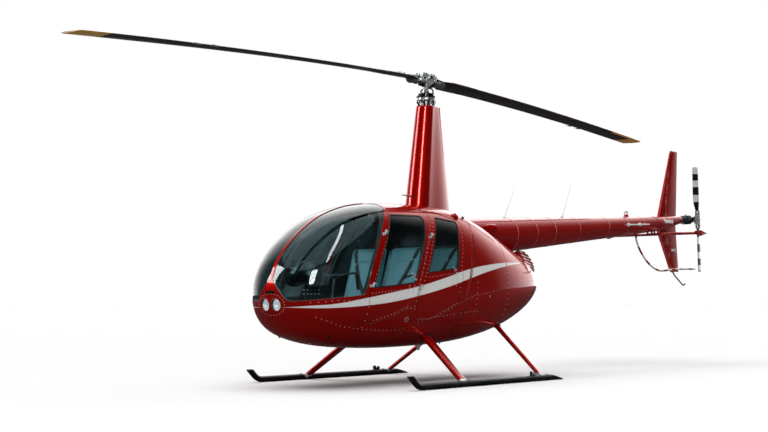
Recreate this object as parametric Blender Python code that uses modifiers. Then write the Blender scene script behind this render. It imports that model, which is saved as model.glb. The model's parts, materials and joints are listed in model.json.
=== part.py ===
"""Light four-seat piston helicopter, standing on its skids with its blades parked fore and aft.

Metres, +Z up. While it is modelled the ground is Z = 0, the rotor mast's axis is X = Y = 0,
+X is port and +Y is aft. At the end the datum empty moves everything so that the bottom centre
of the whole machine's box is the world origin.
"""

import math

import bmesh
import bpy
import numpy as np
from mathutils import Matrix, Vector

# Driving dimensions
ROTOR_RADIUS = 5.03
ROTOR_CHORD = 0.254
ROTOR_AZIMUTH = math.radians(3.33)
HUB_HEIGHT = 3.278
BLADE_DROOP = 0.238
DROOP_POWER = 1.6
TAIL_ROTOR_RADIUS = 0.737
TAIL_ROTOR_CHORD = 0.13
TAIL_ROTOR_AFT = 5.884
TAIL_ROTOR_OUT = 0.175
TAIL_ROTOR_HEIGHT = 1.985
TAIL_ROTOR_LEAN = math.radians(2.25)
SKID_TRACK = 2.184
SKID_TUBE_RADIUS = 0.032
SKID_BEND_FORE = -1.40
SKID_AFT_END = 0.985

SEAT_GAP = 0.0003
SEAM_GAP = 0.006
HULL_WALL = 0.045
DOOR_SKIN = 0.012
DOOR_DEPTH = 0.034
DOOR_FLANGE = 0.014
PANE_OUTER = 0.004
PANE_INNER = 0.010
COWL_WALL = 0.022
POST_HALF_WIDTH = 0.019

# Fuselage sections. Columns: y, z bottom, z top, half width, z of widest, upper exponent, lower exponent
BODY_SECTIONS = (
    (-2.405, 0.920, 0.920, 0.000, 0.920, 2.00, 2.00),
    (-2.375, 0.735, 1.105, 0.200, 0.920, 2.10, 2.10),
    (-2.260, 0.570, 1.305, 0.390, 0.930, 2.25, 2.25),
    (-2.040, 0.475, 1.512, 0.530, 0.940, 2.40, 2.35),
    (-1.700, 0.410, 1.715, 0.618, 0.955, 2.50, 2.40),
    (-1.250, 0.378, 1.840, 0.648, 0.970, 2.60, 2.45),
    (-0.700, 0.372, 1.875, 0.650, 0.980, 2.70, 2.50),
    (0.000, 0.395, 1.865, 0.645, 0.990, 2.70, 2.50),
    (0.500, 0.448, 1.750, 0.620, 1.000, 2.50, 2.40),
    (1.000, 0.550, 1.570, 0.540, 1.020, 2.30, 2.30),
    (1.450, 0.705, 1.400, 0.410, 1.040, 2.20, 2.20),
    (1.780, 0.880, 1.245, 0.235, 1.050, 2.10, 2.10),
    (1.910, 0.990, 1.130, 0.100, 1.055, 2.00, 2.00),
    (1.930, 1.058, 1.058, 0.000, 1.058, 2.00, 2.00),
)
# Steps in each span between sections and points around a ring, outside and for hidden inner walls
FINE, COARSE = (2, 28), (1, 20)
COARSE_DEPTH = 0.020
BODY_LEVELS = {}
BEND_PER_STEP = math.radians(25)

# Outlines on the side of the body. Columns: y, z, corner radius
WINDSHIELD = (
    (-2.60, 0.850, 0.0), (-2.350, 0.855, 0.5), (-1.720, 0.915, 0.03), (-1.586, 1.234, 0.8),
    (-1.469, 1.424, 0.8), (-1.345, 1.590, 0.6), (-1.180, 1.752, 0.3), (-1.080, 1.815, 0.2),
    (-1.040, 2.100, 0.0), (-2.60, 2.100, 0.0),
)
FRONT_DOOR = (
    (-1.062, 1.800, 0.03), (-0.530, 1.797, 0.03), (-0.622, 1.638, 0.5), (-0.784, 1.372, 0.6),
    (-0.918, 1.065, 0.6), (-1.003, 0.762, 0.06), (-1.100, 0.785, 0.2), (-1.344, 0.692, 0.5),
    (-1.560, 0.640, 0.15), (-1.652, 0.652, 0.06), (-1.660, 0.894, 0.5), (-1.560, 1.180, 0.6),
    (-1.430, 1.405, 0.6), (-1.300, 1.580, 0.6), (-1.135, 1.740, 0.3),
)
REAR_DOOR = (
    (-0.492, 1.792, 0.02), (-0.226, 1.752, 0.5), (-0.035, 1.703, 0.05), (-0.100, 1.500, 0.6),
    (-0.190, 1.120, 0.6), (-0.215, 0.950, 0.3), (-0.285, 0.825, 0.04), (-0.534, 0.719, 0.6),
    (-0.740, 0.645, 0.3), (-0.880, 0.640, 0.08), (-0.968, 0.760, 0.2), (-0.884, 1.065, 0.6),
    (-0.750, 1.372, 0.6), (-0.588, 1.638, 0.5),
)
FRONT_WINDOW = (
    (-1.132, 1.726, 0.015), (-0.630, 1.736, 0.05), (-0.767, 1.475, 0.8), (-0.888, 1.247, 0.8),
    (-0.995, 1.035, 0.04), (-1.600, 0.982, 0.02), (-1.506, 1.226, 0.8), (-1.373, 1.427, 0.8),
    (-1.259, 1.585, 0.5),
)
REAR_WINDOW = (
    (-0.440, 1.727, 0.02), (-0.105, 1.693, 0.03), (-0.171, 1.548, 0.6), (-0.227, 1.386, 0.6),
    (-0.262, 1.195, 0.05), (-0.785, 1.137, 0.02), (-0.725, 1.250, 0.8), (-0.638, 1.428, 0.8),
    (-0.527, 1.609, 0.8),
)
# Middle line of the pillar between the doors. Columns: y, z
PILLAR_LINE = (
    (-0.500, 1.830), (-0.605, 1.638), (-0.767, 1.372), (-0.901, 1.065), (-0.988, 0.753), (-1.010, 0.600),
)
PILLAR_HALF_WIDTH = 0.030
PILLAR_OUTER, PILLAR_INNER = 0.040, 0.065

# Nose panel seen from ahead. Columns: x, z, corner radius
NOSE_PANEL = (
    (0.0, 1.085, 0.03), (0.205, 0.850, 0.02), (0.205, 0.700, 0.0), (-0.205, 0.700, 0.0), (-0.205, 0.850, 0.02),
)
LAMP_OUT, LAMP_HEIGHT, LAMP_RADIUS = 0.070, 0.822, 0.058
INTAKE = ((-0.075, 0.924, 0.004), (0.075, 0.924, 0.004), (0.055, 0.953, 0.004), (-0.055, 0.953, 0.004))

# The sloping bulkhead: y at z = 1 and its lean aft for each metre up
BULKHEAD_AT, BULKHEAD_SLOPE = -0.08, 0.309
BULKHEAD_THICKNESS = 0.012
COWL_SPLIT = 0.69
ENGINE_LOW, ENGINE_HIGH = (-0.34, 0.30, 0.700), (0.34, 0.94, 1.020)
MOUNT_TUBE_OUT, MOUNT_TUBE_HEIGHTS, MOUNT_TUBE_RADIUS = 0.25, (0.78, 0.95), 0.016
LOUVRE_COUNT, LOUVRE_START, LOUVRE_PITCH, LOUVRE_SLOT = 5, 1.40, 0.060, 0.028
LOUVRE_INNER, LOUVRE_OUTER, LOUVRE_TAPER = 0.045, 0.300, 0.045

# Hinge lines of the port doors. Columns: lower point, upper point
HINGE_LINES = {
    "front": (Vector((0.666, -1.655, 0.990)), Vector((0.575, -1.350, 1.560))),
    "rear": (Vector((0.684, -0.937, 0.970)), Vector((0.609, -0.667, 1.550))),
}
KNUCKLE_RADIUS, KNUCKLE_LENGTH, ARM_RADIUS, SHANK_RADIUS = 0.009, 0.026, 0.006, 0.0047
# How far a hinge arm runs aft of its knuckle on the door, then in to the skin
ARM_AFT = {"front": 0.037, "rear": 0.045}
ARM_IN = 0.055

FLOOR_TOP, FLOOR_THICKNESS = 0.485, 0.015
FAIRING_TOP = 2.985
CONE_START, CONE_KNEE, CONE_END = 1.458, 5.05, 5.68
CONE_TOP_AT_MAST, CONE_RISE = 1.752, 0.049
# Radii of the tailcone at those three places
CONE_RADII = (0.2025, 0.101, 0.053)
CONE_WALL = 0.008
STABILISER_HEIGHT = 1.745
BEACON_AFT = 4.233
FIN_OUT = -0.10
FIN_JOINT = 1.95
# Columns: name, y at the foot, then x, y and z at the hip inside the belly, chord, thickness
STRUTS = (
    ("front", -0.780, 0.340, -0.615, 0.590, 0.135, 0.058),
    ("rear", 0.600, 0.290, 0.790, 0.640, 0.092, 0.052),
)
MAST_RADIUS, MAST_BORE = 0.032, 0.0326
TAIL_SHAFT_RADIUS, TAIL_BORE = 0.015, 0.0156
ROUND = 32

# Columns: red, green, blue, roughness, metallic
FINISHES = {
    "red_paint": (0.42, 0.008, 0.006, 0.25, 0.2),
    "white_paint": (0.80, 0.80, 0.78, 0.35, 0.0),
    "glazing": (0.55, 0.62, 0.63, 0.05, 0.0),
    "lamp_glass": (0.85, 0.87, 0.88, 0.10, 0.0),
    "bulkhead_metal": (0.50, 0.50, 0.50, 0.45, 0.9),
    "engine_metal": (0.28, 0.28, 0.29, 0.50, 0.8),
    "black_enamel": (0.02, 0.02, 0.02, 0.40, 0.1),
    "console_black": (0.015, 0.015, 0.017, 0.30, 0.0),
    "seat_leather": (0.16, 0.27, 0.30, 0.55, 0.0),
    "floor_carpet": (0.03, 0.03, 0.035, 0.90, 0.0),
    "steel": (0.55, 0.55, 0.56, 0.30, 1.0),
    "blade_paint": (0.04, 0.04, 0.042, 0.45, 0.0),
}


def start_empty_scene():
    """Remove whatever the scene holds and make the two collections."""
    for old in list(bpy.data.objects):
        bpy.data.objects.remove(old, do_unlink=True)
    groups = {}
    for name in ("helicopter", "cutters"):
        groups[name] = bpy.data.collections.new(name)
        bpy.context.scene.collection.children.link(groups[name])
    return groups


GROUPS = start_empty_scene()
DATUM = bpy.data.objects.new("datum", None)
GROUPS["helicopter"].objects.link(DATUM)


def finish_material(name):
    """The Principled BSDF for one line of FINISHES, made once."""
    found = bpy.data.materials.get(name)
    if found:
        return found
    red, green, blue, roughness, metallic = FINISHES[name]
    made = bpy.data.materials.new(name)
    made.use_nodes = True
    shader = made.node_tree.nodes["Principled BSDF"]
    shader.inputs["Base Color"].default_value = (red, green, blue, 1.0)
    shader.inputs["Roughness"].default_value = roughness
    shader.inputs["Metallic"].default_value = metallic
    made.diffuse_color = (red, green, blue, 1.0)
    return made


def place(name, mesh, finish=None):
    """Put a mesh in the scene: a part when it has a finish, otherwise a hidden cutter."""
    obj = bpy.data.objects.new(name, mesh)
    obj.parent = DATUM
    if finish is None:
        GROUPS["cutters"].objects.link(obj)
        obj.hide_render = True
        obj.display_type = "WIRE"
        return obj
    GROUPS["helicopter"].objects.link(obj)
    mesh.materials.append(finish_material(finish))
    return obj


def smooth(obj, angle=35):
    """Shade round faces smooth and leave edges sharper than the angle."""
    obj.data.shade_smooth()
    obj.data.set_sharp_from_angle(angle=math.radians(angle))
    return obj


def carve(obj, other, operation="DIFFERENCE"):
    """Add one exact Boolean."""
    cut = obj.modifiers.new(f"{operation.lower()}_{other.name}", "BOOLEAN")
    cut.operation = operation
    cut.solver = "EXACT"
    cut.object = other
    return obj


def mesh_of(name, build):
    """A mesh that a bmesh function fills in, with its faces turned outwards."""
    mesh = bpy.data.meshes.new(name)
    bm = bmesh.new()
    build(bm)
    bmesh.ops.remove_doubles(bm, verts=bm.verts, dist=1e-6)
    bmesh.ops.recalc_face_normals(bm, faces=bm.faces)
    bm.to_mesh(mesh)
    bm.free()
    return mesh


def loft(bm, rings, start=None, end=None, leaning=False):
    """Skin between closed rings of equal length; each end is a flat cap, or a fan to a given point.

    A leaning skin is triangles that all lean one way, so that two such lofts close together never cross.
    """
    made = [[bm.verts.new(tuple(float(c) for c in point)) for point in ring] for ring in rings]
    for near, far in zip(made, made[1:]):
        for i in range(len(near)):
            j = (i + 1) % len(near)
            if leaning:
                bm.faces.new((near[i], near[j], far[j]))
                bm.faces.new((near[i], far[j], far[i]))
            else:
                bm.faces.new((near[i], near[j], far[j], far[i]))
    for ring, tip in ((made[0], start), (made[-1], end)):
        if tip is None:
            bm.faces.new(ring)
            continue
        point = bm.verts.new(tuple(float(c) for c in tip))
        for i in range(len(ring)):
            bm.faces.new((ring[i], ring[(i + 1) % len(ring)], point))


def lofted(name, rings, finish=None, start=None, end=None, angle=35, leaning=False):
    """An object lofted through rings."""
    return smooth(place(name, mesh_of(name, lambda bm: loft(bm, rings, start, end, leaning)), finish), angle)


def catmull_rom(p0, p1, p2, p3, t):
    """Smooth curve from p1 to p2."""
    squared = 2 * p0 - 5 * p1 + 4 * p2 - p3
    cubed = 3 * p1 - p0 - 3 * p2 + p3
    return 0.5 * (2 * p1 + (p2 - p0) * t + squared * t**2 + cubed * t**3)


def body_rows(span_steps):
    """Rows between the sections; the rows past each end mirror it, which rounds nose and tail."""
    table = np.array(BODY_SECTIONS)
    ends = []
    for tip, inner in ((table[0], table[1]), (table[-1], table[-2])):
        ghost = inner.copy()
        ghost[1:3] = 2 * tip[1:3] - inner[1:3]
        ghost[3] = -inner[3]
        ends.append(ghost)
    table = np.vstack([ends[0], table, ends[1]])
    rows = []
    for i in range(1, len(table) - 2):
        for step in range(span_steps):
            rows.append(catmull_rom(*table[i - 1 : i + 3], step / span_steps))
    return rows[1:]


def superellipse(y, bottom, top, half_width, middle, upper, lower, count):
    """One closed section across the body at y."""
    turn = np.linspace(0, 2 * np.pi, count, endpoint=False)
    across, up = np.cos(turn), np.sin(turn)
    power = np.where(up >= 0, 2 / upper, 2 / lower)
    height = np.where(up >= 0, top - middle, middle - bottom)
    x = half_width * np.sign(across) * np.abs(across) ** power
    z = middle + height * np.sign(up) * np.abs(up) ** power
    return np.stack([x, np.full(count, y), z], axis=1)


def body_solid(name, inset, finish=None, fineness=FINE):
    """The whole body as a solid whose surface lies inset below the real skin."""
    rings = np.array([superellipse(*row, fineness[1]) for row in body_rows(fineness[0])])
    nose = np.array((0.0, BODY_SECTIONS[0][0], BODY_SECTIONS[0][4]))
    tail = np.array((0.0, BODY_SECTIONS[-1][0], BODY_SECTIONS[-1][4]))
    ahead = np.concatenate([np.broadcast_to(nose, rings[:1].shape), rings[:-1]])
    behind = np.concatenate([rings[1:], np.broadcast_to(tail, rings[:1].shape)])
    around = np.roll(rings, -1, axis=1) - np.roll(rings, 1, axis=1)
    normals = np.cross(behind - ahead, around)
    normals /= np.linalg.norm(normals, axis=2, keepdims=True)
    outward = (normals * (rings - rings.mean(axis=1, keepdims=True))).sum(axis=2, keepdims=True)
    normals *= np.where(outward < 0, -1.0, 1.0)
    rings = rings - inset * normals
    along = np.array((0.0, inset, 0.0))
    return lofted(name, rings, finish, start=nose + along, end=tail - along, angle=50, leaning=True)


def body_cutter(inset):
    """The hidden body solid at one depth, made once; deep ones are coarse."""
    if inset not in BODY_LEVELS:
        fineness = COARSE if inset > COARSE_DEPTH else FINE
        BODY_LEVELS[inset] = body_solid(f"body_level_{len(BODY_LEVELS)}", inset, None, fineness)
    return BODY_LEVELS[inset]


def rounded(corners):
    """A closed outline with each corner turned by a curve of its radius, as far as its sides allow."""
    points = [Vector(corner[:2]) for corner in corners]
    outline = []
    for i, (here, corner) in enumerate(zip(points, corners)):
        back, ahead = points[i - 1] - here, points[(i + 1) % len(points)] - here
        angle = back.angle(ahead)
        reach = corner[2] / math.tan(angle / 2)
        reach = min(reach, 0.45 * back.length, 0.45 * ahead.length)
        if reach < 1e-4 or angle > math.radians(179):
            outline.append(here)
            continue
        first, last = here + back.normalized() * reach, here + ahead.normalized() * reach
        steps = max(1, math.ceil((math.pi - angle) / BEND_PER_STEP))
        for step in range(steps + 1):
            t = step / steps
            outline.append((1 - t) ** 2 * first + 2 * t * (1 - t) * here + t**2 * last)
    return outline


def grown(outline, distance):
    """The outline moved outwards by the distance, or inwards where it is negative."""
    area = sum(a.x * b.y - b.x * a.y for a, b in zip(outline, outline[1:] + outline[:1]))
    side = math.copysign(1, area)
    moved = []
    for i, here in enumerate(outline):
        along_in = (here - outline[i - 1]).normalized()
        along_out = (outline[(i + 1) % len(outline)] - here).normalized()
        normal = Vector((along_in.y + along_out.y, -along_in.x - along_out.x)) * side
        normal.normalize()
        facing = normal.dot(Vector((along_in.y, -along_in.x)) * side)
        moved.append(here + normal * distance / max(facing, 0.5))
    return moved


def prism(name, outline, axis, low, high, finish=None):
    """The outline pushed along one axis; its two columns are the other two axes in order."""
    def point(pair, level):
        values = list(pair)
        values.insert("XYZ".index(axis), level)
        return values

    return lofted(name, [[point(p, low) for p in outline], [point(p, high) for p in outline]], finish, angle=20)


def box(name, low, high, finish=None, bevel=0.0):
    """A box between two corners, from a cube primitive."""
    low, high = Vector(low), Vector(high)
    size = high - low

    def build(bm):
        bmesh.ops.create_cube(bm, size=1.0, matrix=Matrix.Translation((low + high) / 2) @ Matrix.Diagonal((*size, 1.0)))

    obj = place(name, mesh_of(name, build), finish)
    if bevel:
        edge = obj.modifiers.new("rounded_edges", "BEVEL")
        edge.width = bevel
        edge.segments = 2
    return obj


def rod(name, start, end, radius, finish=None, segments=16, end_radius=None):
    """A round rod between two points, from a cone primitive."""
    start, end = Vector(start), Vector(end)
    along = end - start
    turn = along.to_track_quat("Z", "Y").to_matrix().to_4x4()

    def build(bm):
        bmesh.ops.create_cone(
            bm, cap_ends=True, segments=segments, radius1=radius,
            radius2=radius if end_radius is None else end_radius, depth=along.length,
            matrix=Matrix.Translation((start + end) / 2) @ turn,
        )

    return smooth(place(name, mesh_of(name, build), finish))


def tube(name, route, radius, finish=None, resolution=2):
    """A bent tube: a bevelled POLY curve made a mesh, with its caps welded."""
    curve = bpy.data.curves.new(f"{name}_route", "CURVE")
    curve.dimensions = "3D"
    curve.bevel_depth = radius
    curve.bevel_resolution = resolution
    curve.use_fill_caps = True
    line = curve.splines.new("POLY")
    line.points.add(len(route) - 1)
    for point, place_at in zip(line.points, route):
        point.co = (*place_at, 1.0)
    guide = bpy.data.objects.new(f"{name}_guide", curve)
    bpy.context.scene.collection.objects.link(guide)
    graph = bpy.context.evaluated_depsgraph_get()
    mesh = bpy.data.meshes.new_from_object(guide.evaluated_get(graph))
    bpy.data.objects.remove(guide, do_unlink=True)
    bm = bmesh.new()
    bm.from_mesh(mesh)
    bmesh.ops.remove_doubles(bm, verts=bm.verts, dist=1e-5)
    bmesh.ops.recalc_face_normals(bm, faces=bm.faces)
    bm.to_mesh(mesh)
    bm.free()
    mesh.materials.clear()
    mesh.name = name
    return smooth(place(name, mesh, finish))


def curve_through(points, steps):
    """Smooth points through a route's own points."""
    points = [Vector(p) for p in points]
    ends = [2 * points[0] - points[1]] + points + [2 * points[-1] - points[-2]]
    route = []
    for i in range(1, len(ends) - 2):
        for step in range(steps):
            t = step / steps
            route.append(catmull_rom(*ends[i - 1 : i + 3], t))
    route.append(points[-1])
    return route


def joined(obj, *others):
    """Unite cutter pieces with a part, one after another."""
    for other in others:
        carve(obj, other, "UNION")
    return obj


def bulkhead_slab(name, start, end, finish=None):
    """Everything between two offsets aft of the sloping bulkhead's front face."""
    low, high = 0.0, 2.6
    lean = [BULKHEAD_AT + BULKHEAD_SLOPE * (z - 1.0) for z in (low, high)]
    outline = [(lean[0] + start, low), (lean[0] + end, low), (lean[1] + end, high), (lean[1] + start, high)]
    return prism(name, [Vector(p) for p in outline], "X", -1.2, 1.2, finish)


def side_prism(name, outline, side, inner=0.10, outer=1.0):
    """A side outline pushed outwards from near the middle, on one side."""
    low, high = sorted((side * inner, side * outer))
    return prism(name, outline, "X", low, high)


def band(line, half_width):
    """An outline of even width about an open line, its ends cut square to Z."""
    return [Vector((y - half_width, z)) for y, z in line] + [Vector((y + half_width, z)) for y, z in reversed(line)]


def nose_cutter(name, growth):
    """The nose panel's outline pushed aft through the nose."""
    return prism(name, grown(rounded(NOSE_PANEL), growth), "Y", -2.60, -2.0)


def knuckle_points(line, start, length):
    """Two points on a hinge line, at a distance along it from its lower point."""
    lower, upper = line
    along = (upper - lower).normalized()
    return lower + along * start, lower + along * (start + length)


def mirrored(point, side):
    """A port point, or its twin on the starboard side."""
    return Vector((side * point.x, point.y, point.z))


def hinge_pieces(kind, side, on_door):
    """Knuckles and arms of one side's hinges: the hull's sit below the door's, face to face."""
    line = HINGE_LINES[kind]
    span = (line[1] - line[0]).length
    pieces = []
    for spot, place_along in (("lower", 0.0), ("upper", span - 2 * KNUCKLE_LENGTH)):
        start = place_along + (KNUCKLE_LENGTH + SEAT_GAP if on_door else 0.0)
        low, high = (mirrored(p, side) for p in knuckle_points(line, start, KNUCKLE_LENGTH))
        label = f"{kind}_{'port' if side > 0 else 'starboard'}_{'door' if on_door else 'hull'}_{spot}"
        pieces.append(rod(f"knuckle_{label}", low, high, KNUCKLE_RADIUS, segments=8))
        middle = (low + high) / 2
        elbow = middle
        if on_door:
            elbow = middle + Vector((0, ARM_AFT[kind], 0))
            end = elbow + Vector((0, 0.5 * ARM_RADIUS, 0))
            pieces.append(rod(f"shank_{label}", middle, end, SHANK_RADIUS, segments=8))
        pieces.append(rod(f"arm_{label}", elbow, elbow - Vector((side * ARM_IN, 0, 0)), ARM_RADIUS, segments=6))
    return pieces


def make_cabin_hull():
    """Roof, floor pan, posts and nose in one shell, open at every door, windshield and aft."""
    hull = body_solid("cabin_hull", 0.0, "red_paint")
    carve(hull, bulkhead_slab("ahead_of_bulkhead", -4.0, -SEAT_GAP), "INTERSECT")
    carve(hull, body_cutter(HULL_WALL))
    for side, word in ((1, "port"), (-1, "starboard")):
        glass = side_prism(f"windshield_hole_{word}", rounded(WINDSHIELD), side, POST_HALF_WIDTH)
        carve(glass, nose_cutter(f"nose_keeper_{word}", 0.0))
        carve(hull, glass)
        pillar = body_solid(f"pillar_{word}", PILLAR_OUTER, None, COARSE)
        pillar_band = side_prism(f"pillar_band_{word}", band(PILLAR_LINE, PILLAR_HALF_WIDTH), side)
        carve(pillar, pillar_band, "INTERSECT")
        carve(pillar, body_cutter(PILLAR_INNER))
        for name, outline in (("front", FRONT_DOOR), ("rear", REAR_DOOR)):
            carve(hull, side_prism(f"{name}_doorway_{word}", grown(rounded(outline), SEAM_GAP), side))
        carve(hull, pillar, "UNION")
        joined(hull, *hinge_pieces("front", side, False), *hinge_pieces("rear", side, False))
    for side in (-1, 1):
        carve(hull, lamp_shape(f"lamp_hole_{side}", side, LAMP_RADIUS))
    carve(hull, prism("intake_hole", rounded(INTAKE), "Y", -2.60, -2.20))
    return hull


def lamp_shape(name, side, radius, front=-2.60, back=-2.25, finish=None):
    """A cylinder along Y where a landing lamp sits."""
    return rod(name, (side * LAMP_OUT, front, LAMP_HEIGHT), (side * LAMP_OUT, back, LAMP_HEIGHT), radius, finish, 20)


def make_landing_lamps():
    """Two round lamps that fill their holes in the nose."""
    for side, word in ((1, "port"), (-1, "starboard")):
        lamp = lamp_shape(f"landing_lamp_{word}", side, LAMP_RADIUS - SEAT_GAP, -2.383, -2.315, "lamp_glass")
        edge = lamp.modifiers.new("rounded_rim", "BEVEL")
        edge.width = 0.006
        edge.segments = 1


def make_windshields():
    """The two curved windshield panes, each side of the centre post."""
    for side, word in ((1, "port"), (-1, "starboard")):
        pane = body_solid(f"windshield_{word}", PANE_OUTER, "glazing")
        shape = side_prism(f"windshield_pane_{word}", grown(rounded(WINDSHIELD), -SEAT_GAP), side,
                           POST_HALF_WIDTH + SEAT_GAP)
        carve(shape, nose_cutter(f"nose_gap_{word}", SEAT_GAP))
        carve(pane, shape, "INTERSECT")
        carve(pane, body_cutter(PANE_INNER))


def make_doors():
    """Four doors, each an outer skin and a smaller inner frame, with the window cut and its pane."""
    kinds = (("front", FRONT_DOOR, FRONT_WINDOW), ("rear", REAR_DOOR, REAR_WINDOW))
    for kind, outline, window in kinds:
        for side, word in ((1, "port"), (-1, "starboard")):
            label = f"{kind}_{word}"
            door = body_solid(f"door_{label}", 0.0, "red_paint")
            carve(door, side_prism(f"door_edge_{label}", rounded(outline), side), "INTERSECT")
            carve(door, body_cutter(DOOR_SKIN))
            frame = body_solid(f"door_frame_{label}", DOOR_SKIN - 0.002)
            inner = side_prism(f"door_inner_{label}", grown(rounded(outline), -DOOR_FLANGE), side)
            carve(frame, inner, "INTERSECT")
            carve(frame, body_cutter(DOOR_DEPTH))
            carve(door, frame, "UNION")
            carve(door, side_prism(f"window_hole_{label}", rounded(window), side))
            joined(door, *hinge_pieces(kind, side, True))
            pane = body_solid(f"window_{label}", PANE_OUTER, "glazing")
            carve(pane, side_prism(f"window_edge_{label}", grown(rounded(window), -SEAT_GAP), side), "INTERSECT")
            carve(pane, body_cutter(PANE_INNER))


def make_bulkhead_and_cowls():
    """The sloping bulkhead, and the engine's cowling in two rings with a cooling mouth below."""
    plate = body_solid("bulkhead", 0.002, "bulkhead_metal")
    carve(plate, bulkhead_slab("bulkhead_slab", 0.0, BULKHEAD_THICKNESS), "INTERSECT")
    front = body_solid("cowling_engine", 0.0, "red_paint")
    carve(front, bulkhead_slab("aft_of_bulkhead", BULKHEAD_THICKNESS + SEAT_GAP, 3.0), "INTERSECT")
    carve(front, box("cowl_split", (-1, COWL_SPLIT, 0), (1, 3, 3)))
    carve(front, body_cutter(COWL_WALL))
    mouth = rounded(((-0.24, 0.16, 0.05), (0.24, 0.16, 0.05), (0.24, 0.56, 0.05), (-0.24, 0.56, 0.05)))
    carve(front, prism("cooling_mouth", mouth, "Z", 0.2, 0.62))
    tail = body_solid("cowling_tail", 0.0, "red_paint")
    carve(tail, box("cowl_tail_part", (-1, COWL_SPLIT + SEAT_GAP, 0), (1, 3, 3)), "INTERSECT")
    carve(tail, body_cutter(COWL_WALL))
    for side in (-1, 1):
        for step in range(LOUVRE_COUNT):
            y = LOUVRE_START + LOUVRE_PITCH * step
            low, high = sorted((side * LOUVRE_INNER, side * (LOUVRE_OUTER - LOUVRE_TAPER * step)))
            carve(tail, box(f"louvre_{side}_{step}", (low, y, 1.10), (high, y + LOUVRE_SLOT, 1.60)))


def make_engine():
    """The engine as one plain block at its real place and size, with its mount tubes to the bulkhead."""
    engine = box("engine_block", ENGINE_LOW, ENGINE_HIGH, "engine_metal", bevel=0.02)
    for side in (-1, 1):
        for z in MOUNT_TUBE_HEIGHTS:
            x = side * MOUNT_TUBE_OUT
            tube_ends = (x, BULKHEAD_AT - 0.1, z), (x, ENGINE_LOW[1] + 0.04, z)
            carve(engine, rod(f"mount_tube_{side}_{z}", *tube_ends, MOUNT_TUBE_RADIUS, segments=10), "UNION")
    carve(engine, bulkhead_slab("ahead_of_engine", -2.0, BULKHEAD_THICKNESS + SEAT_GAP))


def make_cabin_floor():
    """The floor panel inside the hull."""
    floor = box("cabin_floor", (-0.7, -2.12, FLOOR_TOP - FLOOR_THICKNESS), (0.7, -0.265, FLOOR_TOP), "floor_carpet")
    carve(floor, body_cutter(HULL_WALL + SEAT_GAP), "INTERSECT")


def profile_solid(name, outline, low, high, finish, bevel=0.02):
    """A side profile pushed across from low to high x, with softened edges."""
    solid = prism(name, [Vector(p) for p in outline], "X", low, high, finish)
    edge = solid.modifiers.new("soft_edges", "BEVEL")
    edge.width = bevel
    edge.segments = 2
    return solid


def make_seats():
    """Seat boxes and four seats, each cushion and back in one soft solid."""
    base = FLOOR_TOP + SEAT_GAP
    top = 0.700
    front_box = box("seat_box_front", (-0.54, -1.250, base), (0.54, -0.790, top), "console_black")
    carve(front_box, body_cutter(PILLAR_INNER + 0.004), "INTERSECT")
    slope_low = BULKHEAD_AT + BULKHEAD_SLOPE * (base - 1.0) - 0.03
    rear = [(-0.600, base), (slope_low, base), (slope_low + BULKHEAD_SLOPE * (top - base), top), (-0.600, top)]
    rear_box = prism("seat_box_rear", [Vector(p) for p in rear], "X", -0.54, 0.54, "console_black")
    carve(rear_box, body_cutter(PILLAR_INNER + 0.004), "INTERSECT")
    seat = top + SEAT_GAP
    front = ((-1.270, seat), (-0.760, seat), (-0.560, 1.430), (-0.640, 1.445), (-0.840, 0.860), (-1.250, 0.830))
    lean = BULKHEAD_AT - 0.012
    rear_seat = ((-0.660, seat), (lean + BULKHEAD_SLOPE * (seat - 1.0), seat),
                 (lean + BULKHEAD_SLOPE * 0.45, 1.450), (lean + BULKHEAD_SLOPE * 0.45 - 0.10, 1.450),
                 (lean - BULKHEAD_SLOPE * 0.15 - 0.13, 0.860), (-0.640, 0.840))
    for word, low, high in (("port", 0.035, 0.515), ("starboard", -0.515, -0.035)):
        profile_solid(f"seat_front_{word}", front, low, high, "seat_leather")
        profile_solid(f"seat_rear_{word}", rear_seat, low, high, "seat_leather")


def make_controls():
    """The instrument pedestal and the pilots' T-shaped stick."""
    base = FLOOR_TOP + SEAT_GAP
    low = ((-2.060, base), (-1.760, base), (-1.700, 0.700), (-1.800, 1.020), (-1.930, 1.240), (-2.060, 1.150),
           (-2.150, 0.900))
    console = profile_solid("instrument_console", low, -0.140, 0.140, "console_black", bevel=0.015)
    hood = prism("console_hood", [Vector(p) for p in
                 ((-2.040, 0.960), (-1.840, 0.960), (-1.800, 1.240), (-1.900, 1.290), (-2.060, 1.180))],
                 "X", -0.210, 0.210)
    carve(console, hood, "UNION")
    carve(console, body_cutter(HULL_WALL + SEAT_GAP), "INTERSECT")
    stick = rod("control_stick", (0, -1.563, base - 0.02), (0, -1.480, 1.120), 0.022, "black_enamel", 12)
    carve(stick, box("below_floor", (-0.2, -1.8, base - 0.1), (0.2, -1.3, base)))
    bar = rod("stick_bar", (-0.300, -1.480, 1.105), (0.300, -1.480, 1.105), 0.014, segments=10)
    grips = [rod(f"grip_{side}", (side * 0.290, -1.480, 1.1163), (side * 0.290, -1.455, 0.960), 0.017, segments=10)
             for side in (-1, 1)]
    joined(stick, bar, *grips)


def teardrop(z, nose_centre, radius, trail, count=10):
    """A section with a round nose and straight flanks to a thin trailing edge."""
    spread = math.acos(radius / (trail - nose_centre))
    points = []
    for step in range(count + 1):
        turn = spread + (2 * math.pi - 2 * spread) * step / count
        points.append((-radius * math.sin(turn), nose_centre + radius * math.cos(turn), z))
    points.append((0.004, trail, z))
    points.append((-0.004, trail, z))
    return points


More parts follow.
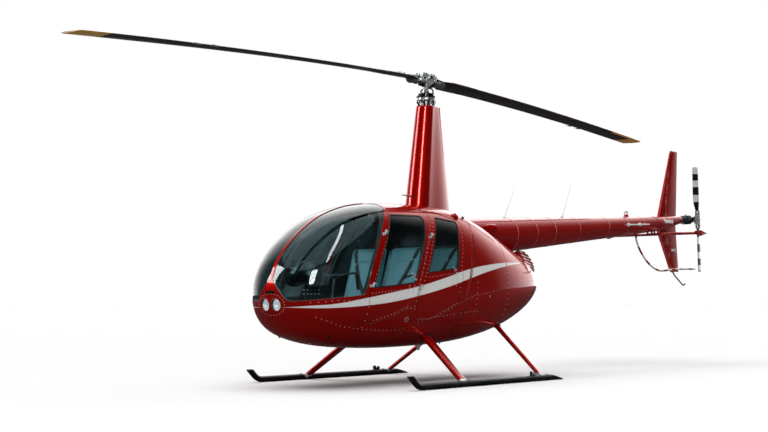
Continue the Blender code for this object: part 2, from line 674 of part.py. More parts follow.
def make_mast_fairing():
    """The tall streamlined fairing about the mast, bored for the shaft."""
    low = teardrop(1.80, -0.160, 0.142, 0.415)
    high = teardrop(FAIRING_TOP, -0.015, 0.100, 0.258)
    fairing = lofted("mast_fairing", [low, high], "red_paint", angle=40)
    carve(fairing, body_cutter(-SEAT_GAP))
    carve(fairing, rod("mast_bore", (0, 0, 2.80), (0, 0, 3.10), MAST_BORE, segments=ROUND))


def cone_ring(y, radius, widen=1.0, drop=0.0, growth=0.0, count=ROUND):
    """One ring of the tailcone, whose top edge rises in a straight line."""
    top = CONE_TOP_AT_MAST + CONE_RISE * y - drop
    rings = []
    for step in range(count):
        turn = 2 * math.pi * (step + 0.5) / count
        size = radius + growth
        rings.append((size * widen * math.cos(turn), y, top - radius + size * math.sin(turn)))
    return rings


def cone_cutter():
    """The tailcone grown by the seat gap, for what sits on it."""
    found = bpy.data.objects.get("cone_clearance")
    if found:
        return found
    places = zip((CONE_START, CONE_KNEE, CONE_END), CONE_RADII)
    return lofted("cone_clearance", [cone_ring(y, r, growth=SEAT_GAP) for y, r in places])


def make_tailcone():
    """The spine behind the mast and the long tapered tailcone."""
    # Columns: y, radius, width factor, drop of the top
    stations = ((0.44, 0.150, 1.10, 0.030), (0.62, 0.190, 1.10, 0.004), (1.00, 0.200, 1.04, 0.0),
                (CONE_START - SEAT_GAP, CONE_RADII[0], 1.0, 0.0))
    spine = lofted("spine_fairing", [cone_ring(*row) for row in stations], "red_paint")
    carve(spine, body_cutter(-SEAT_GAP))
    places = zip((CONE_START, CONE_KNEE, CONE_END), CONE_RADII)
    cone = lofted("tailcone", [cone_ring(y, r) for y, r in places], "red_paint")
    bore = ((CONE_START - 0.05, CONE_RADII[0]), (CONE_KNEE, CONE_RADII[1]), (CONE_END - CONE_WALL, CONE_RADII[2]))
    carve(cone, lofted("cone_bore", [cone_ring(y, r, growth=-CONE_WALL) for y, r in bore]))


def wing_ring(lead, trail, thickness, place_point, count=6):
    """A thin symmetric section from lead to trail; place_point(chordwise, across) gives its 3-D place."""
    ring = []
    for side in (1, -1):
        steps = range(count + 1) if side > 0 else range(count - 1, 0, -1)
        for step in steps:
            t = step / count
            shape = 2.6 * (math.sqrt(t) * (1 - t)) * 0.5 + 0.06
            ring.append(place_point(lead + (trail - lead) * t, side * thickness * shape))
    return ring


def make_fins():
    """Upper and lower fins beside the cone's end, and the stabiliser under it."""
    # Columns: z, lead, trail, thickness
    upper = ((FIN_JOINT + SEAT_GAP, 5.224, 5.766, 0.044), (2.955, 5.622, 5.829, 0.020))
    lower = ((1.250, 5.574, 5.817, 0.022), (FIN_JOINT - SEAT_GAP, 5.143, 5.752, 0.044))
    for name, rows in (("fin_upper", upper), ("fin_lower", lower)):
        rings = []
        for z, lead, trail, thickness in rows:
            rings.append(wing_ring(lead, trail, thickness, lambda y, x, z=z: (FIN_OUT + x, y, z)))
        carve(lofted(name, rings, "red_paint"), cone_cutter())
    rings = []
    for x, lead, trail, thickness in (
        (-0.712, 4.93, 4.95, 0.004), (-0.700, 4.775, 5.105, 0.052), (-0.690, 4.79, 5.09, 0.034),
        (0.690, 4.79, 5.09, 0.034), (0.700, 4.775, 5.105, 0.052), (0.712, 4.93, 4.95, 0.004),
    ):
        rings.append(wing_ring(lead, trail, thickness, lambda y, z, x=x: (x, y, STABILISER_HEIGHT + z)))
    stabiliser = lofted("stabiliser", rings, "red_paint")
    for label, y in (("fore", 4.83), ("aft", 5.01)):
        bracket = box(f"stabiliser_bracket_{label}", (-0.032, y, STABILISER_HEIGHT), (0.032, y + 0.04, 1.84))
        carve(bracket, cone_cutter())
        carve(stabiliser, bracket, "UNION")


def make_tail_fittings():
    """Gearbox, guard tube, tail skid, beacon and the two bar aerials."""
    centre = Vector((0, TAIL_ROTOR_AFT, TAIL_ROTOR_HEIGHT))
    gearbox = rod("tail_gearbox", (0, CONE_END + SEAT_GAP, 1.980), (0, 5.84, 1.980), 0.042,
                  "black_enamel", 20, 0.050)
    case = rod("gearbox_case", centre + Vector((-0.075, 0, 0)), centre + Vector((0.070, 0, 0)), 0.062, segments=24)
    neck = rod("gearbox_neck", centre + Vector((0.060, 0, 0)), centre + Vector((0.105, 0, 0)), 0.034, segments=24)
    joined(gearbox, case, neck)
    carve(gearbox, rod("tail_bore", centre + Vector((0.040, 0, 0)), centre + Vector((0.3, 0, 0)), TAIL_BORE, segments=24))

    route = curve_through(((0.0, 4.465, 1.78), (0.0, 4.500, 1.644), (0.010, 4.579, 1.510), (0.020, 4.730, 1.376),
                           (0.030, 4.880, 1.295), (0.030, 5.070, 1.256), (0.030, 5.300, 1.268),
                           (0.030, 5.550, 1.285), (0.030, 6.050, 1.295)), 3)
    guard = tube("tail_rotor_guard", route, 0.0125, "white_paint")
    carve(guard, cone_cutter())
    clip = box("guard_clip", (FIN_OUT + 0.0145, 5.655, 1.270), (0.030, 5.695, 1.298))
    carve(guard, clip, "UNION")

    route = curve_through(((FIN_OUT, 5.640, 1.2495), (FIN_OUT, 5.700, 1.205), (FIN_OUT, 5.860, 1.110),
                           (FIN_OUT, 5.930, 1.072), (FIN_OUT, 5.965, 1.066), (FIN_OUT, 6.000, 1.084)), 2)
    skid = tube("tail_skid", route, 0.007, "black_enamel")
    carve(skid, box("fin_foot", (-0.3, 5.3, 1.2497), (0.3, 6.2, 1.35)))

    top = CONE_TOP_AT_MAST + CONE_RISE * BEACON_AFT
    beacon = rod("tail_beacon", (0, BEACON_AFT, top - 0.02), (0, BEACON_AFT, top + 0.028), 0.032, "lamp_glass", 20)
    lens = rod("beacon_lens", (0, BEACON_AFT, top + 0.02), (0, BEACON_AFT, top + 0.072), 0.027, None, 20, 0.022)
    carve(beacon, lens, "UNION")
    carve(beacon, cone_cutter())
    for side, word in ((1, "port"), (-1, "starboard")):
        bar = rod(f"bar_aerial_{word}", (side * 0.150, 4.02, 1.838), (side * 0.150, 4.58, 1.866), 0.009,
                  "white_paint", 8)
        for label, y, z in (("fore", 4.04, 1.839), ("aft", 4.33, 1.8535)):
            foot = rod(f"aerial_foot_{word}_{label}", (side * 0.06, y, z), (side * 0.158, y, z), 0.020, segments=10)
            carve(foot, cone_cutter())
            carve(bar, foot, "UNION")


def make_landing_gear():
    """Two skid tubes with upturned toes, and four streamlined struts."""
    toe_radius, toe_angle, toe_length = 0.28, math.radians(44), 0.075
    for side, word in ((1, "port"), (-1, "starboard")):
        x = side * SKID_TRACK / 2
        route = [Vector((x, SKID_AFT_END, SKID_TUBE_RADIUS)), Vector((x, SKID_BEND_FORE, SKID_TUBE_RADIUS))]
        for step in range(1, 7):
            turn = toe_angle * step / 6
            route.append(Vector((x, SKID_BEND_FORE - toe_radius * math.sin(turn),
                                 SKID_TUBE_RADIUS + toe_radius * (1 - math.cos(turn)))))
        route.append(route[-1] + toe_length * Vector((0, -math.cos(toe_angle), math.sin(toe_angle))))
        skid = tube(f"skid_{word}", route, SKID_TUBE_RADIUS, "black_enamel", 4)
        lug = box(f"wheel_lug_{word}", (x - 0.012, 0.40, 0.05), (x + 0.012, 0.47, 0.088))
        pin = rod(f"wheel_pin_{word}", (x, 0.435, 0.078), (x + side * 0.06, 0.435, 0.078), 0.011, segments=12)
        joined(skid, lug, pin)
        clearance = rod(f"skid_clearance_{word}", (x, -1.3, SKID_TUBE_RADIUS), (x, 0.9, SKID_TUBE_RADIUS),
                        SKID_TUBE_RADIUS + SEAT_GAP, segments=32)
        for kind, foot_y, hip_x, hip_y, hip_z, chord, thickness in STRUTS:
            make_strut(f"strut_{kind}_{word}", (x, foot_y, 0.030), (side * hip_x, hip_y, hip_z), chord, thickness,
                       clearance)


def make_strut(name, foot, hip, chord, thickness, clearance):
    """One strut: a streamlined section pushed from the skid up into the belly, then cut to both."""
    foot, hip = Vector(foot), Vector(hip)
    along = (hip - foot).normalized()
    aft = Vector((0, 1, 0))
    aft = (aft - along * along.dot(aft)).normalized()
    across = along.cross(aft)
    section = teardrop(0.0, 0.0, thickness / 2, chord - thickness / 2, 8)
    rings = []
    for centre in (foot, hip):
        rings.append([centre + across * px + aft * py for px, py, _ in section])
    strut = lofted(name, rings, "red_paint", angle=40)
    carve(strut, body_cutter(-SEAT_GAP))
    carve(strut, clearance)


def blade_ring(reach, chord, lead, thickness, pitch, z, direction, count=5):
    """A blade section at one reach from the hub; direction is +1 or -1 along the blade line."""
    ring = []
    for side in (1, -1):
        steps = range(count + 1) if side > 0 else range(count - 1, 0, -1)
        for step in steps:
            t = step / count
            chordwise = lead - chord * t
            height = side * thickness * (1.3 * math.sqrt(t) * (1 - t) + 0.05)
            across = chordwise * math.cos(pitch) - height * math.sin(pitch)
            up = chordwise * math.sin(pitch) + height * math.cos(pitch)
            ring.append((-direction * across, -direction * reach, z + up))
    return ring


def make_main_rotor():
    """Mast, seesaw hub and links in one solid, and two blades that droop at rest."""
    spin = Matrix.Rotation(ROTOR_AZIMUTH, 4, "Z")
    mast = rod("rotor_mast_and_hub", (0, 0, 2.86), (0, 0, 3.330), MAST_RADIUS, "steel", ROUND)
    pieces = [
        rod("spinning_ring", (0, 0, 3.098), (0, 0, 3.120), 0.112, segments=24),
        box("hub_beam", (-0.056, -0.215, HUB_HEIGHT - 0.036), (0.056, 0.215, HUB_HEIGHT + 0.038), bevel=0.012),
        rod("teeter_bolt", (-0.088, 0, HUB_HEIGHT + 0.022), (0.088, 0, HUB_HEIGHT + 0.022), 0.024, segments=16),
        rod("mast_cap", (0, 0, HUB_HEIGHT + 0.030), (0, 0, HUB_HEIGHT + 0.095), 0.030, None, 12, 0.018),
    ]
    for sign in (1, -1):
        low, high = Vector((sign * 0.098, 0.02 * sign, 3.105)), Vector((sign * 0.150, -0.155 * sign, HUB_HEIGHT))
        pieces.append(rod(f"pitch_link_{sign}", low, high, 0.009, segments=10))
        horn = Vector((0.030 * sign, -0.170 * sign, HUB_HEIGHT))
        pieces.append(rod(f"pitch_horn_{sign}", horn, high + (high - horn).normalized() * 0.012, 0.013, segments=10))
    joined(mast, *pieces)
    # Columns: reach, chord, thickness, pitch in degrees
    stations = ((0.2153, 0.075, 0.062, 9.0), (0.340, 0.085, 0.058, 9.0), (0.520, ROTOR_CHORD, 0.034, 8.5),
                (1.300, ROTOR_CHORD, 0.032, 7.0), (2.300, ROTOR_CHORD, 0.030, 5.5), (3.300, ROTOR_CHORD, 0.029, 4.0),
                (4.250, 0.268, 0.028, 2.5), (ROTOR_RADIUS, 0.268, 0.024, 1.5))
    for direction, word in ((1, "fore"), (-1, "aft")):
        rings = []
        for reach, chord, thickness, pitch in stations:
            z = HUB_HEIGHT - BLADE_DROOP * (reach / ROTOR_RADIUS) ** DROOP_POWER
            rings.append(blade_ring(reach, chord, 0.30 * chord, thickness, math.radians(pitch), z, direction))
        blade = lofted(f"rotor_blade_{word}", rings, "blade_paint", angle=50)
        blade.data.transform(spin)
    for piece in [mast] + pieces:
        piece.data.transform(spin)


def make_swashplate():
    """The ring that does not turn, on its tube about the mast: a turned profile."""
    # Columns: radius, z, down the outer side and back up the bore
    profile = ((MAST_BORE, 3.088), (0.104, 3.088), (0.104, 3.066), (0.058, 3.058), (0.052, FAIRING_TOP + SEAT_GAP),
               (MAST_BORE, FAIRING_TOP + SEAT_GAP))

    def build(bm):
        ring = [bm.verts.new((radius, 0.0, z)) for radius, z in profile]
        edges = [bm.edges.new((ring[i], ring[(i + 1) % len(ring)])) for i in range(len(ring))]
        bmesh.ops.spin(bm, geom=ring + edges, cent=(0, 0, 0), axis=(0, 0, 1), angle=2 * math.pi, steps=ROUND,
                       use_merge=True)

    smooth(place("swashplate_fixed", mesh_of("swashplate_fixed", build), "black_enamel"))


def make_tail_rotor():
    """Hub, shaft and two blades, standing nearly upright."""
    hub_x = TAIL_ROTOR_OUT
    centre = Vector((0, TAIL_ROTOR_AFT, TAIL_ROTOR_HEIGHT))
    lean = Matrix.Rotation(TAIL_ROTOR_LEAN, 4, "X")
    hub = rod("tail_rotor_hub", (0.048, 0, 0), (hub_x + 0.040, 0, 0), TAIL_SHAFT_RADIUS, "steel", 24)
    pieces = [
        box("tail_hub_plate", (hub_x - 0.024, -0.030, -0.130), (hub_x + 0.024, 0.030, 0.130), bevel=0.008),
        rod("tail_pitch_ring", (0.120, 0, 0), (0.134, 0, 0), 0.045, segments=20),
    ]
    for sign in (1, -1):
        pieces.append(rod(f"tail_link_{sign}", (0.127, 0.036 * sign, 0), (hub_x, 0.050 * sign, 0.09 * sign), 0.006,
                          segments=8))
        pieces.append(rod(f"tail_horn_{sign}", (hub_x, 0.02 * sign, 0.09 * sign), (hub_x, 0.056 * sign, 0.09 * sign),
                          0.009, segments=6))
    joined(hub, *pieces)
    # Columns: reach, chord, thickness, pitch in degrees
    stations = ((0.1303, 0.060, 0.034, 12.0), (0.200, 0.100, 0.024, 12.0), (0.270, TAIL_ROTOR_CHORD, 0.018, 12.0),
                (TAIL_ROTOR_RADIUS, TAIL_ROTOR_CHORD, 0.014, 8.0))
    blades = []
    for sign, word in ((1, "upper"), (-1, "lower")):
        rings = []
        for reach, chord, thickness, pitch in stations:
            ring = blade_ring(reach, chord, 0.35 * chord, thickness, math.radians(pitch), 0.0, 1)
            rings.append([(hub_x + z, -sign * x, -sign * y) for x, y, z in ring])
        blades.append(lofted(f"tail_blade_{word}", rings, "blade_paint", angle=50))
    for piece in [hub] + pieces + blades:
        piece.data.transform(Matrix.Translation(centre) @ lean)


def stand_on_origin():
    """Move the datum so that the bottom centre of the finished machine's box is the world origin."""
    graph = bpy.context.evaluated_depsgraph_get()
    points = []
    for obj in GROUPS["helicopter"].objects:
        if obj.type != "MESH":
            continue
        evaluated = obj.evaluated_get(graph)
        points.extend(evaluated.matrix_world @ vertex.co for vertex in evaluated.data.vertices)
    corners = np.array(points)
    low, high = corners.min(axis=0), corners.max(axis=0)
    DATUM.location = (-(low[0] + high[0]) / 2, -(low[1] + high[1]) / 2, -low[2])
    print(f"datum at {tuple(round(value, 5) for value in DATUM.location)}")


make_cabin_hull()
make_landing_lamps()
make_windshields()
make_doors()
make_bulkhead_and_cowls()
make_engine()
make_cabin_floor()
make_seats()
make_controls()
make_mast_fairing()
make_tailcone()
make_fins()
make_tail_fittings()
make_landing_gear()
make_main_rotor()
make_swashplate()
make_tail_rotor()
stand_on_origin()
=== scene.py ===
"""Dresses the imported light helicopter: fine skins, glass, cabin, fittings, finishes and the studio.

Metres, +Z up, +X port, +Y aft. Pieces are modelled in the mast frame, where the rotor mast's axis is
X = Y = 0 and the ground is Z = 0, and they move to the CAD frame when they are finished.
"""

import json
import logging
import math
from collections.abc import Callable, Iterable, Sequence
from dataclasses import dataclass, field
from enum import Enum

import bmesh
import bpy
import numpy as np
from mathutils import Matrix, Quaternion, Vector
from mathutils.bvhtree import BVHTree
from mathutils.geometry import barycentric_transform

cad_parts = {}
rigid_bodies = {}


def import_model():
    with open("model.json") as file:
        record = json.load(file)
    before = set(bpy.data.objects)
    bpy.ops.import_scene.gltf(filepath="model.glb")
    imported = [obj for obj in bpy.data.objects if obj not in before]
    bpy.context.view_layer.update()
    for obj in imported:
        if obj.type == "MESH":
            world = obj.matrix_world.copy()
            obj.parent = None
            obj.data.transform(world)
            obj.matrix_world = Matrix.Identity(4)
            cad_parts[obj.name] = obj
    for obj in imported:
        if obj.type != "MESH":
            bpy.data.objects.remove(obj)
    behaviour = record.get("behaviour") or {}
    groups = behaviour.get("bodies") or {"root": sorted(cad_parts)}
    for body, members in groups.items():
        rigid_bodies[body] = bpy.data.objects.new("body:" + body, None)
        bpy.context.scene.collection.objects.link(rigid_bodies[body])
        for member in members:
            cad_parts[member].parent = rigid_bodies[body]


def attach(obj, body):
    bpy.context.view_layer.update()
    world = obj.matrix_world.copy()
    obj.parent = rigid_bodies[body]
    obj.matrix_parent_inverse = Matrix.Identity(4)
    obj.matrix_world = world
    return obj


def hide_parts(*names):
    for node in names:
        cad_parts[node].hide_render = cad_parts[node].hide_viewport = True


LOG = logging.getLogger("helicopter")

# From the mast frame to the CAD frame, whose origin is under the middle of the whole machine's box
DATUM = Vector((0.0, -0.51202, 0.0))
SIDES = ((1, "port"), (-1, "starboard"))
X, Y, Z = 0, 1, 2
AXES = (Vector((1, 0, 0)), Vector((0, 1, 0)), Vector((0, 0, 1)))

Test = Callable[[Vector, Vector], bool]
Pairs = Sequence[Sequence[float]]


def srgb(code: str) -> tuple[float, float, float, float]:
    """Turn an sRGB hex colour into linear light.

    Args:
        code: The colour as #rrggbb.

    Returns:
        Linear red, green and blue, and an alpha of 1.
    """
    parts = [int(code[i : i + 2], 16) / 255 for i in (1, 3, 5)]
    linear = [v / 12.92 if v <= 0.04045 else ((v + 0.055) / 1.055) ** 2.4 for v in parts]
    return (*linear, 1.0)


def add_node(tree: bpy.types.NodeTree, kind: str, settings: dict | None = None,
             links: dict | None = None) -> bpy.types.Node:
    """Add one shader node with its settings and its links.

    Args:
        tree: The node tree that gets the node.
        kind: The node's Blender type.
        settings: Values by input name or number, or by the name of the node's own property.
        links: Sources by input name or number: an output socket, or a node for its first output.

    Returns:
        The new node.
    """
    node = tree.nodes.new(kind)
    for key, value in (settings or {}).items():
        if isinstance(key, str) and hasattr(node, key):
            setattr(node, key, value)
        else:
            node.inputs[key].default_value = value
    for key, source in (links or {}).items():
        socket = source.outputs[0] if isinstance(source, bpy.types.Node) else source
        tree.links.new(socket, node.inputs[key])
    return node


def clear_selection() -> None:
    """Leave object mode with nothing selected."""
    if bpy.context.mode != "OBJECT":
        bpy.ops.object.mode_set(mode="OBJECT")
    bpy.ops.object.select_all(action="DESELECT")


def activate(obj: bpy.types.Object) -> bpy.types.Object:
    """Make one object the only selected and the active one."""
    clear_selection()
    obj.select_set(True)
    bpy.context.view_layer.objects.active = obj
    return obj


def settle(obj: bpy.types.Object) -> bpy.types.Object:
    """Put an object's place, turn and scale into its mesh."""
    bpy.context.view_layer.update()
    obj.data.transform(obj.matrix_world)
    if obj.matrix_world.determinant() < 0:
        obj.data.flip_normals()
    obj.matrix_world = Matrix.Identity(4)
    return obj


def aim(direction: Vector) -> Quaternion:
    """The turn that brings +Z to a direction."""
    return Vector(direction).to_track_quat("Z", "Y")


class Blank:
    """A new piece while it is shaped in edit mode, as by hand."""

    def __init__(self, name: str) -> None:
        """Take the primitive that was just added and open it in edit mode, with nothing selected.

        Args:
            name: The piece's name.
        """
        self.obj = bpy.context.object
        self.obj.name = self.obj.data.name = name
        settle(self.obj)
        activate(self.obj)
        bpy.ops.object.mode_set(mode="EDIT")
        bpy.ops.mesh.select_all(action="DESELECT")

    @classmethod
    def reopen(cls, obj: bpy.types.Object) -> "Blank":
        """Open a piece again."""
        activate(obj)
        return cls(obj.name)

    @classmethod
    def rod(cls, name: str, start: Sequence[float], end: Sequence[float], radius: float,
            end_radius: float | None = None, sides: int = 32) -> "Blank":
        """Start from a round rod between two points.

        Args:
            name: The piece's name.
            start: Middle of the first end.
            end: Middle of the other end.
            radius: Radius at the first end.
            end_radius: Radius at the other end, when it differs.
            sides: Number of sides.

        Returns:
            The open piece.
        """
        start, end = Vector(start), Vector(end)
        bpy.ops.mesh.primitive_cone_add(
            vertices=sides, radius1=radius, radius2=radius if end_radius is None else end_radius,
            depth=(end - start).length, location=(start + end) / 2, rotation=aim(end - start).to_euler(),
        )
        return cls(name)

    @classmethod
    def block(cls, name: str, low: Sequence[float], high: Sequence[float]) -> "Blank":
        """Start from a box between two corners."""
        low, high = Vector(low), Vector(high)
        bpy.ops.mesh.primitive_cube_add(size=1.0, location=(low + high) / 2, scale=high - low)
        return cls(name)

    @classmethod
    def ball(cls, name: str, middle: Sequence[float], radius: float, pole: Sequence[float] = (0, 0, 1),
             sides: int = 24, rings: int = 12) -> "Blank":
        """Start from a ball whose poles lie along a direction."""
        bpy.ops.mesh.primitive_uv_sphere_add(
            segments=sides, ring_count=rings, radius=radius, location=middle, rotation=aim(pole).to_euler())
        return cls(name)

    @classmethod
    def ring(cls, name: str, middle: Sequence[float], axis: Sequence[float], radius: float, thickness: float,
             sides: int = 40, around: int = 12) -> "Blank":
        """Start from a torus about an axis; thickness is the radius of its section."""
        bpy.ops.mesh.primitive_torus_add(
            major_radius=radius, minor_radius=thickness, major_segments=sides, minor_segments=around,
            location=middle, rotation=aim(axis).to_euler())
        return cls(name)

    @classmethod
    def outline(cls, name: str, outline: Pairs, axis: int, low: float, high: float) -> "Blank":
        """Start from a flat outline and extrude it along one axis.

        Args:
            name: The piece's name.
            outline: Corners in the plane of the other two axes, in axis order.
            axis: The axis along which the outline is pushed.
            low: Where it starts on that axis.
            high: Where it ends.

        Returns:
            The open piece.
        """
        bpy.ops.mesh.primitive_circle_add(vertices=len(outline), fill_type="NGON")
        blank = bpy.context.object
        others = [i for i in range(3) if i != axis]
        for vertex, pair in zip(blank.data.vertices, outline):
            vertex.co[axis] = low
            vertex.co[others[0]], vertex.co[others[1]] = pair
        piece = cls(name)
        bpy.ops.mesh.select_all(action="SELECT")
        piece.extrude(AXES[axis] * (high - low))
        bpy.ops.mesh.select_all(action="SELECT")
        bpy.ops.mesh.normals_make_consistent(inside=False)
        bpy.ops.mesh.select_all(action="DESELECT")
        return piece

    def pick(self, test: Test, mode: str = "FACE") -> "Blank":
        """Select what passes a test of its middle and its normal.

        Args:
            test: Takes the middle and the normal (for an edge, its direction).
            mode: VERT, EDGE or FACE.

        Returns:
            The same piece.
        """
        bpy.ops.mesh.select_mode(type=mode)
        bpy.ops.mesh.select_all(action="DESELECT")
        shape = bmesh.from_edit_mesh(self.obj.data)
        if mode == "FACE":
            chosen = [f for f in shape.faces if test(f.calc_center_median(), f.normal)]
        elif mode == "EDGE":
            chosen = [e for e in shape.edges
                      if test((e.verts[0].co + e.verts[1].co) / 2, (e.verts[1].co - e.verts[0].co).normalized())]
        else:
            chosen = [v for v in shape.verts if test(v.co, v.normal)]
        for part in chosen:
            part.select = True
        shape.select_flush_mode()
        bmesh.update_edit_mesh(self.obj.data)
        return self

    def everything(self) -> "Blank":
        """Select the whole piece."""
        bpy.ops.mesh.select_all(action="SELECT")
        return self

    def inset(self, width: float, depth: float = 0.0) -> "Blank":
        """Inset the selected faces, and sink them by a depth where it is above zero."""
        bpy.ops.mesh.inset(thickness=width, depth=-depth)
        return self

    def extrude(self, move: Sequence[float]) -> "Blank":
        """Extrude the selection by a step."""
        bpy.ops.mesh.extrude_region_move(TRANSFORM_OT_translate={"value": tuple(move)})
        return self

    def move(self, step: Sequence[float]) -> "Blank":
        """Move the selection."""
        bpy.ops.transform.translate(value=tuple(step))
        return self

    def scale(self, factors: Sequence[float], middle: Sequence[float]) -> "Blank":
        """Scale the selection about a point."""
        bpy.ops.transform.resize(value=tuple(factors), center_override=tuple(middle))
        return self

    def turn(self, angle: float, axis: str, middle: Sequence[float]) -> "Blank":
        """Turn the selection about a point by an angle in degrees."""
        bpy.ops.transform.rotate(value=-math.radians(angle), orient_axis=axis, center_override=tuple(middle))
        return self

    def bevel(self, width: float, segments: int = 2) -> "Blank":
        """Bevel the selected edges."""
        bpy.ops.mesh.bevel(offset=width, segments=segments, affect="EDGES", clamp_overlap=True)
        return self

    def subdivide(self, cuts: int) -> "Blank":
        """Subdivide the selection."""
        bpy.ops.mesh.subdivide(number_cuts=cuts)
        return self

    def halve(self, point: Sequence[float], normal: Sequence[float], fill: bool = False) -> "Blank":
        """Cut the whole piece by a plane and drop what lies on the normal's side."""
        bpy.ops.mesh.select_all(action="SELECT")
        bpy.ops.mesh.bisect(plane_co=tuple(point), plane_no=tuple(normal), clear_outer=True, use_fill=fill)
        bpy.ops.mesh.select_all(action="DESELECT")
        return self

    def done(self, angle: float = 35.0) -> bpy.types.Object:
        """Close the piece with its normals outwards.

        Args:
            angle: Edges sharper than this many degrees stay sharp.

        Returns:
            The finished object.
        """
        bpy.ops.object.mode_set(mode="OBJECT")
        return smooth(self.obj, angle)

    def done_round(self, width: float = 0.002, segments: int = 2, angle: float = 30.0) -> bpy.types.Object:
        """Close the piece with every sharp edge rounded by a Bevel that is applied."""
        bpy.ops.object.mode_set(mode="OBJECT")
        soften(self.obj, width, segments)
        return smooth(self.obj, angle)


def smooth(obj: bpy.types.Object, angle: float = 35.0) -> bpy.types.Object:
    """Shade an object smooth and leave edges sharper than an angle in degrees."""
    activate(obj)
    bpy.ops.object.shade_smooth_by_angle(angle=math.radians(angle))
    return obj


def modify(obj: bpy.types.Object, kind: str, **settings: object) -> bpy.types.Object:
    """Add one modifier and apply it.

    Args:
        obj: The object.
        kind: The modifier's Blender type.
        settings: The modifier's properties.

    Returns:
        The same object.
    """
    modifier = obj.modifiers.new(kind.lower(), kind)
    for key, value in settings.items():
        setattr(modifier, key, value)
    activate(obj)
    bpy.ops.object.modifier_apply(modifier=modifier.name)
    return obj


def soften(obj: bpy.types.Object, width: float, segments: int = 2, angle: float = 40.0) -> bpy.types.Object:
    """Round every edge sharper than an angle in degrees."""
    return modify(obj, "BEVEL", width=width, segments=segments, limit_method="ANGLE", angle_limit=math.radians(angle),
                  use_clamp_overlap=True, harden_normals=False)


def carve(obj: bpy.types.Object, cutter: bpy.types.Object, operation: str = "DIFFERENCE",
          keep: bool = False) -> bpy.types.Object:
    """Cut, join or intersect with an exact Boolean that is applied.

    Args:
        obj: The object that changes.
        cutter: The other closed solid, which is removed after it.
        operation: DIFFERENCE, UNION or INTERSECT.
        keep: True leaves the cutter in the scene.

    Returns:
        The object.
    """
    modify(obj, "BOOLEAN", object=cutter, operation=operation, solver="EXACT")
    if not keep:
        remove(cutter)
    return obj


def remove(obj: bpy.types.Object) -> None:
    """Delete an object and its mesh."""
    mesh = obj.data
    bpy.data.objects.remove(obj, do_unlink=True)
    bpy.data.meshes.remove(mesh)


def twin(obj: bpy.types.Object, name: str, matrix: Matrix | None = None) -> bpy.types.Object:
    """Copy a piece with its own mesh, moved by a matrix, which may mirror it.

    Args:
        obj: The piece to copy.
        name: The copy's name.
        matrix: Where the copy goes; by default it is mirrored to the other side.

    Returns:
        The copy.
    """
    matrix = Matrix.Diagonal((-1, 1, 1, 1)) if matrix is None else matrix
    copy = bpy.data.objects.new(name, obj.data.copy())
    copy.data.name = name
    bpy.context.scene.collection.objects.link(copy)
    copy.data.transform(matrix)
    if matrix.determinant() < 0:
        copy.data.flip_normals()
    return copy


def join(name: str, pieces: Iterable[bpy.types.Object]) -> bpy.types.Object:
    """Join pieces into one object; material slots stay with their faces."""
    pieces = list(pieces)
    clear_selection()
    for piece in pieces:
        piece.select_set(True)
    bpy.context.view_layer.objects.active = pieces[0]
    bpy.ops.object.join()
    pieces[0].name = pieces[0].data.name = name
    return pieces[0]


def tube(name: str, route: Iterable[Sequence[float]], radius: float, around: int = 3,
         radii: Sequence[float] | None = None) -> bpy.types.Object:
    """Bend a round bar along a route: a curve with a bevel, made a mesh.

    Args:
        name: The piece's name.
        route: Points along the middle.
        radius: The bar's radius.
        around: Bevel resolution, which sets how round it is.
        radii: Factors of the radius by point, for a taper.

    Returns:
        The closed tube.
    """
    points = [Vector(p) for p in route]
    curve = bpy.data.curves.new(name, "CURVE")
    curve.dimensions = "3D"
    curve.bevel_depth = radius
    curve.bevel_resolution = around
    curve.use_fill_caps = True
    line = curve.splines.new("POLY")
    line.points.add(len(points) - 1)
    for i, point in enumerate(points):
        line.points[i].co = (*point, 1.0)
        line.points[i].radius = 1.0 if radii is None else radii[i]
    obj = bpy.data.objects.new(name, curve)
    bpy.context.scene.collection.objects.link(obj)
    activate(obj)
    bpy.ops.object.convert(target="MESH")
    obj = bpy.context.object
    obj.name = obj.data.name = name
    obj.data.materials.clear()
    bpy.ops.object.mode_set(mode="EDIT")
    bpy.ops.mesh.select_all(action="SELECT")
    bpy.ops.mesh.remove_doubles(threshold=1e-5)
    bpy.ops.mesh.normals_make_consistent(inside=False)
    bpy.ops.object.mode_set(mode="OBJECT")
    return smooth(obj, 50)


def curve_points(points: Iterable[Sequence[float]], steps: int = 6) -> list[Vector]:
    """Smooth points through a few given ones, by Catmull-Rom."""
    given = [Vector(p) for p in points]
    ends = [2 * given[0] - given[1], *given, 2 * given[-1] - given[-2]]
    route = []
    for i in range(1, len(ends) - 2):
        before, start, end, after = ends[i - 1 : i + 3]
        for step in range(steps):
            t = step / steps
            route.append(0.5 * (2 * start + (end - before) * t + (2 * before - 5 * start + 4 * end - after) * t**2
                                + (3 * start - before - 3 * end + after) * t**3))
    return [*route, given[-1]]


